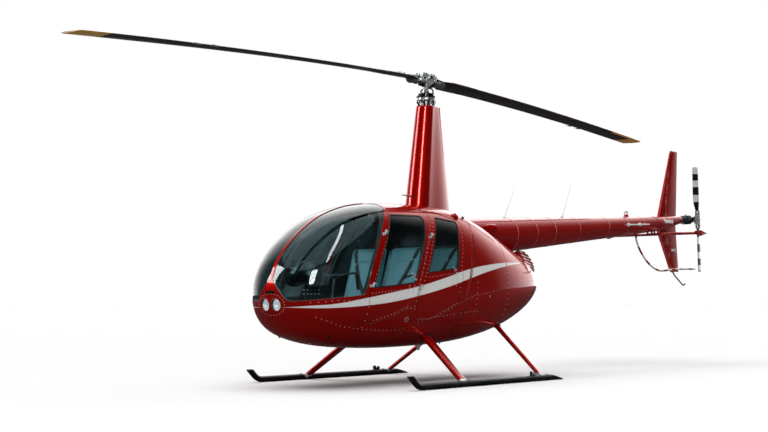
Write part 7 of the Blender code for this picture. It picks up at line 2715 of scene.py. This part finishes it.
    def belly_fittings(self) -> None:
        """The blisters over the crosstubes, the belly bracket and drains."""
        still = Bench("airframe")
        lines = {"front": ((0.515, -1.120, 0.560), (0.524, -1.00, 0.553), (0.515, -0.882, 0.539), (0.48, -0.709, 0.505)),
                 "rear": ((0.575, -0.500, 0.615), (0.57, -0.15, 0.621), (0.541, 0.241, 0.609), (0.473, 0.517, 0.578),
                          (0.40, 0.70, 0.56))}
        for kind, line in lines.items():
            for side, word in SIDES:
                points = curve_points([(side * x, y, z) for x, y, z in line], 8)
                rows = []
                for i, point in enumerate(points):
                    place = self.form.tree.find_nearest(point)[0]
                    normal = self.form.normal_at(place)
                    ahead = points[min(i + 1, len(points) - 1)] - points[max(i - 1, 0)]
                    across = normal.cross(ahead).normalized()
                    swell = math.sin(math.pi * min(1.0, (i + 0.15) / (0.75 * len(points))) / 2)
                    rows.append([place + across * 0.030 * swell * math.cos(a) + normal * 0.0085 * swell * math.sin(a)
                                 for a in np.linspace(0, 2 * math.pi, 16, endpoint=False)])
                still.keep(lofted(f"crosstube_blister_{kind}_{word}", rows, 70), PLAIN_RED)
        low = self.form.on_skin((0.0, -0.15, -1.0), (0, 0, 1))[0]
        still.plate("belly_bracket", ((-0.165, low.z - 0.060, 0.008), (-0.140, low.z - 0.062, 0.008),
                                      (-0.126, low.z + 0.010, 0.002), (-0.186, low.z + 0.010, 0.002)), X, -0.014, 0.014,
                    WHITE_PAINT)
        for number, (x, y) in enumerate(((0.16, 0.02), (-0.16, 0.02), (0.22, -1.35), (-0.22, -1.35))):
            place, normal = self.form.on_skin((x, y, -1.0), (0, 0, 1))
            still.lathe(f"belly_drain_{number + 1}", ((0.0, -0.004), (0.013, -0.004), (0.013, 0.003), (0.006, 0.006),
                                                     (0.005, 0.018), (0.0, 0.019)), place, normal, STEEL, 24)


@dataclass
class BodyFittings:
    """What stands on the fuselage: hinges, latches, lamps, caps, seams, rivets and the engine behind its mouth."""

    form: BodyForm

    # Columns: door, hinge, x, y, z, how far aft the door's arm reaches
    HINGES = (("front", "lower", 0.666, -1.655, 0.990, 0.037), ("front", "upper", 0.575, -1.350, 1.560, 0.037),
              ("rear", "lower", 0.684, -0.937, 0.970, 0.045), ("rear", "upper", 0.609, -0.667, 1.550, 0.045))
    KNUCKLE, KNUCKLE_LENGTH, SEAT_GAP = 0.009, 0.026, 0.0003

    def build(self) -> None:
        """Make all of them."""
        self.hinges()
        self.latches()
        self.lamps()
        self.caps()
        self.seams()
        self.rivets()
        self.engine()

    def hinges(self) -> None:
        """Four turned hinges to a side: two knuckles on a pin, and a leaf on each part."""
        ends = {row[0]: [Vector(r[2:5]) for r in self.HINGES if r[0] == row[0]] for row in self.HINGES}
        for door, label, x, y, z, aft in self.HINGES:
            line = (ends[door][1] - ends[door][0]).normalized()
            middle = Vector((x, y, z))
            for side, word in SIDES:
                flip = Matrix.Diagonal((side, 1, 1, 1))
                long, gap = self.KNUCKLE_LENGTH, self.SEAT_GAP
                foot = 0.0 if label == "lower" else -2 * long
                name = f"{door}_{label}_{word}"
                hull, leaf = Bench("airframe", flip), Bench(f"{door}_door_{word}", flip)
                start = middle + line * foot
                hull.bar(f"hinge_hull_knuckle_{name}", start, start + line * long, self.KNUCKLE, STEEL, edge=0.0012)
                place = self.form.tree.find_nearest(start + line * long / 2)[0]
                normal = self.form.normal_at(place)
                hull.bar(f"hinge_hull_arm_{name}", start + line * long / 2, start + line * long / 2 - Vector((0.055, 0, 0)),
                         0.006, STEEL, sides=16)
                hull.keep(Blank.rod(f"hinge_hull_foot_{name}", place - normal * 0.002, place + normal * 0.004, 0.017,
                                    sides=24).done_round(0.001), STEEL)
                first = start + line * (long + gap)
                middle_door = first + line * long / 2
                leaf.bar(f"hinge_door_knuckle_{name}", first, first + line * long, self.KNUCKLE, STEEL, edge=0.0012)
                bend = middle_door + Vector((0, aft, 0))
                leaf.pipe(f"hinge_door_arm_{name}", (middle_door, middle_door.lerp(bend, 0.85), bend - Vector((0.006, 0, 0)),
                                                    bend - Vector((0.050, 0, 0))), 0.0047, STEEL)
                spot = self.form.tree.find_nearest(bend)[0]
                facing = self.form.normal_at(spot)
                leaf.keep(Blank.rod(f"hinge_door_foot_{name}", spot - facing * 0.002, spot + facing * 0.0035, 0.013,
                                    sides=24).done_round(0.001), STEEL)

    def latches(self) -> None:
        """Door handles, locks and inner pulls."""
        for side, word in SIDES:
            for door, y, z in (("front", -1.011, 1.104), ("rear", -0.330, 1.175)):
                leaf = Bench(f"{door}_door_{word}")
                place, normal = self.form.on_side(y, z, side)
                leaf.lathe(f"latch_rose_{door}_{word}", ((0.0, -0.002), (0.017, -0.002), (0.017, 0.003), (0.012, 0.006),
                                                        (0.009, 0.012), (0.0, 0.012)), place, normal, STEEL, 32)
                start = place + normal * 0.016
                leaf.pipe(f"latch_handle_{door}_{word}", curve_points((start, start + Vector((side * 0.006, -0.030, 0.012)),
                          start + Vector((side * 0.004, -0.062, 0.030))), 5), 0.0066, STEEL, radii=np.linspace(1.25, 0.85, 11).tolist())
                lock, out = self.form.on_side(y + 0.031, z - 0.034, side)
                leaf.lathe(f"door_lock_{door}_{word}", ((0.0, -0.002), (0.0125, -0.002), (0.0125, 0.003), (0.010, 0.005),
                                                       (0.0, 0.0055)), lock, out, STEEL, 32)
                inner = place - normal * 0.040
                leaf.pipe(f"door_pull_{door}_{word}", curve_points((inner + Vector((0, -0.10, -0.02)), inner +
                          Vector((-side * 0.030, -0.09, -0.02)), inner + Vector((-side * 0.034, 0.0, 0.0)), inner +
                          Vector((-side * 0.030, 0.06, 0.010)), inner + Vector((0.0, 0.07, 0.010))), 4), 0.008, RUBBER)

    def lamps(self) -> None:
        """Two landing lamps in the nose: bezel, bowl, bulb and ribbed lens."""
        still = Bench("airframe")
        for side, word in SIDES:
            x = side * 0.070
            middle, ahead = Vector((x, -2.352, 0.822)), Vector((0, -1, 0))
            bowl = ((0.0, -0.030), (0.020, -0.028), (0.040, -0.015), (0.0545, 0.012), (0.0572, 0.012), (0.0572, -0.034), (0.0, -0.036))
            # The bowl and the bulb carry a painted glow, though the landing lamps are off
            still.lathe(f"landing_lamp_bowl_{word}", bowl, middle, ahead, REFLECTOR_PAINTED_GLOW)
            still.keep(Blank.ball(f"landing_lamp_bulb_{word}", middle - ahead * 0.012, 0.010).everything()
                       .scale((1, 1.5, 1), middle).done(60), REFLECTOR_PAINTED_GLOW)
            lens = [(0.0, 0.014), (0.0562, 0.014), (0.0562, 0.018)]
            lens += [(0.0562 * (1 - t) * 1.0, 0.018 + 0.012 * math.sqrt(1 - (1 - t) ** 2)) for t in np.linspace(0.05, 1, 10)]
            still.lathe(f"landing_lamp_lens_{word}", lens, middle, ahead, CLEAR_LENS, nodes=(f"landing_lamp_{word}",))
            for number in range(7):
                offset = -0.042 + 0.014 * number
                half = math.sqrt(0.050**2 - offset**2)
                still.bar(f"lens_rib_{number + 1}_{word}", (x + offset, -2.3685, 0.822 - half), (x + offset, -2.3685, 0.822 + half),
                          0.0022, CLEAR_LENS, edge=0.0006, sides=10)
            rim = []
            for a in np.linspace(0, 2 * math.pi, 49):
                place = self.form.on_skin((x + 0.0615 * math.cos(a), -3.0, 0.822 + 0.0615 * math.sin(a)), (0, 1, 0))
                rim.append(place[0] + place[1] * 0.001)
            still.pipe(f"landing_lamp_rim_{word}", rim, 0.0040, PLAIN_RED, 3)
        still.plate("intake_screen", ((-0.074, 0.925, 0.006), (0.074, 0.925, 0.006), (0.054, 0.952, 0.006),
                                      (-0.054, 0.952, 0.006)), Y, -2.374, -2.370, RUBBER, 0.0005)

    def caps(self) -> None:
        """Fuel caps, the round port and static ports."""
        still = Bench("airframe")
        for side, word in SIDES:
            place, normal = self.form.on_skin((side * 0.428, -0.049, 3.0), (0, 0, -1))
            profile = ((0.0, -0.004), (0.048, -0.004), (0.048, 0.004), (0.040, 0.008), (0.038, 0.020), (0.030, 0.026), (0.0, 0.028))
            still.lathe(f"fuel_cap_{word}", profile, place, normal, PLAIN_RED, 40)
            Bench("airframe", stand(place, normal)).block(f"fuel_cap_tab_{word}", (-0.006, -0.028, 0.024),
                                                          (0.006, 0.028, 0.034), PLAIN_RED)
            spot, out = self.form.on_side(-1.071, 0.667, side)
            still.lathe(f"round_port_{word}", ((0.019, -0.002), (0.027, -0.002), (0.028, 0.003), (0.024, 0.006), (0.019, 0.004)),
                        spot, out, STEEL, 40)
            still.lathe(f"round_port_well_{word}", ((0.0, -0.001), (0.0195, -0.001), (0.0195, 0.002), (0.0, 0.002)), spot, out,
                        PLAIN_RED, 40)
            port, facing = self.form.on_side(0.30, 0.90, side)
            still.lathe(f"static_port_{word}", ((0.0, -0.001), (0.012, -0.001), (0.012, 0.0016), (0.003, 0.0016), (0.002, 0.0004),
                                               (0.0, 0.0004)), port, facing, ALUMINIUM, 32)

    def side_line(self, points: Pairs, side: int) -> list[Vector]:
        """Places on one side's skin above a line of Y and Z."""
        line = spread([(y, z, 0) for y, z in points], 0.03)
        return [self.form.on_side(p.x, p.y, side)[0] for p in line]

    def seams(self) -> None:
        """Raised strips, lap seams and the drip moulding along the roof."""
        still = Bench("airframe")
        roof = ((0.331, -1.084, 1.799), (0.348, -0.867, 1.804), (0.380, -0.495, 1.795), (0.435, -0.226, 1.752), (0.470, -0.074, 1.714))
        for side, word in SIDES:
            route = curve_points([(side * x, y, z) for x, y, z in roof], 6)
            still.keep(self.form.strip(f"roof_moulding_{word}", route, 0.016, 0.005), PLAIN_RED)
            cowl = ((0.163, 1.67), (0.035, 1.501), (-0.020, 1.300), (-0.062, 1.115), (-0.150, 0.86), (-0.26, 0.70))
            line = self.side_line(cowl, side)
            still.keep(self.form.strip(f"cowl_front_lap_{word}", line, 0.020, 0.0016), PLAIN_RED)
            for label, points in (("cowl_door_edge", ((0.687, 1.16), (0.687, 0.99))), ("cowl_door_foot", ((0.30, 0.955), (0.687, 0.99))),
                                  ("cowl_hatch_front", ((0.06, 1.10), (0.02, 0.94), (-0.03, 0.86)))):
                line = self.side_line(points, side)
                still.keep(self.form.strip(f"{label}_{word}", line, 0.0035, 0.0006), SEALANT)
            for label, y in (("front", -0.960), ("rear", -0.245)):
                body = Bench(f"{label}_door_{word}")
                for number, shift in enumerate((0.0, 0.085)):
                    points = [(y + shift * 0.9 - 0.115, 1.02 if label == "front" else 1.10),
                              (y + shift * 0.9 - 0.150, 0.93 if label == "front" else 1.00)]
                    line = self.side_line(points, side)
                    # The pocket edges take the rivets' pale finish: a painted glint along each edge
                    body.keep(self.form.strip(f"door_pocket_edge_{label}_{number + 1}_{word}", line, 0.004, 0.0009), RIVET_PAINTED_GLINT)
            for end in (0.0, 1.0):
                y = 0.688 if end else 0.696
                ring = [self.form.on_skin((side * 2 * math.cos(a), y, 1.05 + 2 * math.sin(a)), (-side * math.cos(a), 0, -math.sin(a)))[0]
                        for a in np.linspace(-math.pi / 2 + 0.02, math.pi / 2 - 0.02, 60)]
                if end:
                    still.keep(self.form.strip(f"cowl_split_lap_{word}", ring, 0.014, 0.0014), PLAIN_RED)
        post = [self.form.on_skin((0, y, z), way)[0] for y, z, way in
                [(-3.0, z, (0, 1, 0)) for z in np.linspace(1.09, 1.40, 12)] + [(y, 3.0, (0, 0, -1)) for y in np.linspace(-2.10, -1.06, 22)]]
        still.keep(self.form.strip("windshield_post_strip", post, 0.028, 0.0035), PLAIN_RED)

    def rivets(self) -> None:
        """Lines of domed rivets along frames, seams and door edges."""
        fixed = (
            ((-2.18, 0.700), (-1.90, 0.610), (-1.70, 0.585)), ((-1.70, 0.585), (-1.30, 0.560), (-1.05, 0.570)),
            ((-1.28, 0.712), (-1.10, 0.790), (-0.985, 0.770)), ((-0.93, 0.640), (-0.60, 0.690), (-0.33, 0.800), (0.0, 0.905), (0.66, 0.995)),
            ((-0.60, 0.688), (-0.10, 0.735), (0.10, 0.740)), ((0.163, 1.67), (0.035, 1.501), (-0.020, 1.300), (-0.062, 1.115)),
            ((0.08, 1.05), (0.06, 0.90), (0.05, 0.70)), ((0.672, 1.45), (0.672, 0.70)), ((0.712, 1.45), (0.712, 0.70)),
            ((1.30, 1.30), (1.30, 0.80)), ((-0.525, 1.80), (-0.605, 1.638), (-0.767, 1.372), (-0.901, 1.065), (-0.985, 0.80)),
            ((-1.72, 0.86), (-2.00, 0.86), (-2.25, 0.84)), ((-1.66, 0.60), (-1.66, 0.86)), ((-0.86, 0.62), (-0.95, 0.56), (-1.10, 0.52)),
        )
        doors = {"front": (((-1.62, 0.930), (-1.00, 0.985)), ((-1.55, 0.665), (-1.344, 0.712), (-1.10, 0.800)), ((-0.565, 1.70), (-0.79, 1.31), (-0.945, 0.985)),
                           ((-1.60, 1.03), (-1.455, 1.31), (-1.25, 1.59))),
                 "rear": (((-0.76, 1.095), (-0.27, 1.150)), ((-0.90, 0.672), (-0.70, 0.672), (-0.40, 0.790), (-0.30, 0.830)), ((-0.075, 1.66), (-0.20, 1.25), (-0.25, 0.95)),
                          ((-0.54, 1.66), (-0.72, 1.32), (-0.84, 1.06)))}
        for side, word in SIDES:
            groups = {"airframe": fixed, **{f"{door}_door_{word}": lines for door, lines in doors.items()}}
            for body, lines in groups.items():
                places = []
                for line in lines:
                    for point in spread([(y, z, 0) for y, z in line], 0.058 if body == "airframe" else 0.046):
                        places.append(stand(*self.form.on_side(point.x, point.y, side)))
                name = f"skin_rivets_{word}" if body == "airframe" else f"door_rivets_{body}"
                # The pale heads are a painted glint on each dome
                Bench(body).keep(scatter(name, rivet("skin_rivet", 0.0052, 0.0019), places), RIVET_PAINTED_GLINT)
        nose = [stand(*self.form.on_skin((x, -3.0, z), (0, 1, 0))) for x, z in
                [(0.172 * math.cos(a), 0.822 + 0.105 * math.sin(a)) for a in np.linspace(0, 2 * math.pi, 26, endpoint=False)]]
        Bench("airframe").keep(scatter("nose_rivets", rivet("nose_rivet", 0.0050, 0.0018), nose), RIVET_PAINTED_GLINT)

    def engine(self) -> None:
        """The flat-four seen through the cooling mouth: case, finned cylinders, fan, sump and mounts."""
        still = Bench("airframe")
        still.block("engine_crankcase", (-0.110, 0.330, 0.760), (0.110, 0.900, 0.990), CAST_METAL, 0.012, ("engine_block",))
        for side, word in SIDES:
            for number, y in enumerate((0.46, 0.72)):
                profile = [(0.0, 0.0), (0.062, 0.0)]
                for step in range(10):
                    start = 0.012 + 0.016 * step
                    profile += [(0.062, start), (0.080, start + 0.002), (0.080, start + 0.006), (0.062, start + 0.008)]
                profile += [(0.058, 0.180), (0.058, 0.215), (0.050, 0.225), (0.0, 0.225)]
                still.lathe(f"engine_cylinder_{number + 1}_{word}", profile, (side * 0.108, y, 0.880), (side, 0, 0), CAST_METAL, 36)
                still.pipe(f"exhaust_stub_{number + 1}_{word}", curve_points(((side * 0.27, y, 0.830), (side * 0.28, y + 0.01, 0.760),
                           (side * 0.24, y + 0.05, 0.700), (side * 0.12, y + 0.08, 0.690)), 5), 0.022, BLACK_STEEL)
            for z in (0.760, 0.960):
                still.bar(f"engine_mount_tube_{round(z * 100)}_{word}", (side * 0.150, -0.06 + 0.309 * (z - 1) + 0.012, z),
                          (side * 0.110, 0.40, z), 0.014, BLACK_ENAMEL)
        still.lathe("engine_sump", ((0.0, -0.20), (0.085, -0.20), (0.098, -0.18), (0.098, 0.18), (0.085, 0.20), (0.0, 0.20)),
                    (0, 0.56, 0.750), (0, 1, 0), CAST_METAL)
        still.lathe("exhaust_silencer", ((0.0, -0.24), (0.040, -0.24), (0.052, -0.22), (0.052, 0.22), (0.040, 0.24), (0.0, 0.24)),
                    (0, 0.80, 0.675), (1, 0, 0), BLACK_STEEL)
        still.lathe("cooling_fan_case", ((0.05, 0.0), (0.245, 0.0), (0.255, 0.012), (0.255, 0.070), (0.245, 0.082), (0.05, 0.082)),
                    (0, 0.952, 0.880), (0, 1, 0), CAST_METAL)
        mouth = Bench("airframe")
        for number in range(7):
            x = -0.21 + 0.07 * number
            mouth.plate(f"cooling_mouth_vane_{number + 1}", ((0.175, 0.470, 0.004), (0.545, 0.505, 0.004), (0.545, 0.530, 0.004),
                                                            (0.175, 0.495, 0.004)), X, x - 0.002, x + 0.002, BLACK_ENAMEL, 0.0006)


@dataclass
class Studio:
    """Floor, lamps, surroundings and the camera at the photograph's view.

    Attributes:
        eye: The camera's place in the mast frame.
        look: The way it looks.
        roll: Degrees by which it is turned about that way.
        lens: Focal length in millimetres on a 36 mm wide sensor.
    """

    eye: tuple[float, float, float] = (9.4849, -11.8397, 0.8650)
    look: tuple[float, float, float] = (-0.6475, 0.7596, 0.0603)
    roll: float = 0.1327
    lens: float = 65.14

    def build(self) -> None:
        """Set up everything that isn't part of the helicopter."""
        self.camera()
        self.floor()
        self.lamps()
        self.surroundings()

    def camera(self) -> None:
        """Stand the camera where the photograph was taken."""
        ahead = Vector(self.look).normalized()
        right = ahead.cross(Vector((0, 0, 1))).normalized()
        below = ahead.cross(right).normalized()
        angle = math.radians(self.roll)
        across = right * math.cos(angle) + below * math.sin(angle)
        down = below * math.cos(angle) - right * math.sin(angle)
        turn = Matrix((across, -down, -ahead)).transposed().to_4x4()
        data = bpy.data.cameras.new("camera")
        data.lens = self.lens
        data.sensor_width = 36.0
        data.sensor_fit = "HORIZONTAL"
        data.clip_end = 300.0
        camera = bpy.data.objects.new("camera", data)
        camera.matrix_world = Matrix.Translation(Vector(self.eye) + DATUM) @ turn
        bpy.context.scene.collection.objects.link(camera)
        bpy.context.scene.camera = camera

    def floor(self) -> None:
        """A wide pale floor, which looks dark in what mirrors it, as through a polarising filter."""
        bpy.ops.mesh.primitive_plane_add(size=400.0)
        floor = bpy.context.object
        floor.name = floor.data.name = "studio_floor"
        made = bpy.data.materials.new("white_studio_floor_paint")
        made.use_nodes = True
        tree = made.node_tree
        path = add_node(tree, "ShaderNodeLightPath")
        dim = add_node(tree, "ShaderNodeMix", {"data_type": "RGBA", 6: srgb("#404040"), 7: srgb("#A0A0A0")},
                       {0: path.outputs["Is Diffuse Ray"]})
        tone = add_node(tree, "ShaderNodeMix", {"data_type": "RGBA", 7: srgb("#F6F6F6")},
                        {0: path.outputs["Is Camera Ray"], 6: dim.outputs[2]})
        paint = add_node(tree, "ShaderNodeBsdfDiffuse", None, {"Color": tone.outputs[2]})
        tree.links.new(paint.outputs[0], tree.nodes["Material Output"].inputs["Surface"])
        floor.data.materials.append(made)

    def lamp(self, name: str, place: Sequence[float], target: Sequence[float], size: tuple[float, float],
             radiance: float, tint: str = "#FFFFFF") -> None:
        """Hang one soft box.

        Args:
            name: The lamp's name.
            place: Its middle.
            target: The point that it faces.
            size: Width and height.
            radiance: How bright its face is.
            tint: Its colour.
        """
        data = bpy.data.lights.new(name, "AREA")
        data.shape = "RECTANGLE"
        data.size, data.size_y = size
        data.energy = radiance * math.pi * size[0] * size[1]
        data.color = srgb(tint)[:3]
        lamp = bpy.data.objects.new(name, data)
        way = Vector(target) - Vector(place)
        lamp.matrix_world = Matrix.Translation(Vector(place)) @ way.to_track_quat("-Z", "Y").to_matrix().to_4x4()
        bpy.context.scene.collection.objects.link(lamp)

    def lamps(self) -> None:
        """A soft sky and a fill that nothing mirrors, and tall windows that only gloss shows, as long streaks."""
        sky = bpy.data.lights.new("soft_sky", "SUN")
        sky.energy = 2.75
        sky.angle = math.radians(84)
        lamp = bpy.data.objects.new("soft_sky", sky)
        lamp.matrix_world = Matrix.Translation((0, 0, 9)) @ Matrix.Rotation(math.radians(6), 4, "X")
        bpy.context.scene.collection.objects.link(lamp)
        self.lamp("camera_fill", (9.0, -7.0, 5.5), (0.0, 0.0, 1.2), (8.0, 6.0), 1.15)
        for name in ("soft_sky", "camera_fill"):
            bpy.data.objects[name].visible_glossy = False
        # Columns: name, middle, width and height, radiance
        windows = (("window_behind_camera", (13.0, -13.6, 9.0), (3.6, 8.0), 15.0),
                   ("window_on_bow", (-11.5, -13.0, 9.5), (6.0, 8.0), 9.0),
                   ("window_overhead", (3.0, -2.0, 9.0), (0.5, 9.0), 9.0))
        for name, middle, size, radiance in windows:
            self.lamp(name, middle, (0.0, 0.0, 1.2), size, radiance)
            bpy.data.objects[name].visible_diffuse = False

    def surroundings(self) -> None:
        """A white backdrop for the camera; what surfaces mirror is white beyond the machine and dark behind the camera."""
        world = bpy.data.worlds.new("studio_room")
        bpy.context.scene.world = world
        world.use_nodes = True
        tree = world.node_tree
        tree.nodes.clear()
        path = add_node(tree, "ShaderNodeLightPath")
        way = add_node(tree, "ShaderNodeTexCoord").outputs["Generated"]
        ahead = add_node(tree, "ShaderNodeVectorMath", {"operation": "DOT_PRODUCT", 1: self.look}, {0: way})
        level = add_node(tree, "ShaderNodeMapRange", {"interpolation_type": "SMOOTHSTEP", 1: 0.36, 2: 0.92, 3: 0.02, 4: 2.3},
                         {0: ahead.outputs["Value"]})
        seen = add_node(tree, "ShaderNodeBackground", {"Color": srgb("#FFFFFF"), "Strength": 1.0})
        edge = add_node(tree, "ShaderNodeMapRange", {1: 0.955, 2: 0.99, 3: 1.0, 4: 0.3}, {0: ahead.outputs["Value"]})
        strength = add_node(tree, "ShaderNodeMath", {"operation": "MULTIPLY"}, {0: level, 1: edge})
        mirrored = add_node(tree, "ShaderNodeBackground", {"Color": srgb("#FFFFFF")}, {"Strength": strength})
        ambient = add_node(tree, "ShaderNodeBackground", {"Color": srgb("#FFFFFF"), "Strength": 0.16})
        inside = add_node(tree, "ShaderNodeBackground", {"Color": srgb("#FFFFFF"), "Strength": 0.03})
        through = add_node(tree, "ShaderNodeMixShader", None, {0: path.outputs["Is Transmission Ray"], 1: mirrored, 2: inside})
        room = add_node(tree, "ShaderNodeMixShader", None, {0: path.outputs["Is Diffuse Ray"], 1: through, 2: ambient})
        both = add_node(tree, "ShaderNodeMixShader", None, {0: path.outputs["Is Camera Ray"], 1: room, 2: seen})
        add_node(tree, "ShaderNodeOutputWorld", None, {"Surface": both})
        view = bpy.context.scene.view_settings
        view.view_transform = "Standard"
        view.look = "None"


def main() -> None:
    """Build the studio, then every part of the machine in order."""
    logging.basicConfig(level=logging.INFO, format="%(message)s")
    for old in list(bpy.data.objects):
        bpy.data.objects.remove(old, do_unlink=True)
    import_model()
    clear_selection()
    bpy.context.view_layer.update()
    Studio().build()
    form = BodyForm()
    for part in (FuselageSkins(form), Cabin(form), MainRotor(form), Tail(form), LandingGear(form), BodyFittings(form)):
        part.build()
        LOG.info("%s is done", type(part).__name__)
    hand_over()
    dress_cad_nodes()


if __name__ == "__main__":
    main()
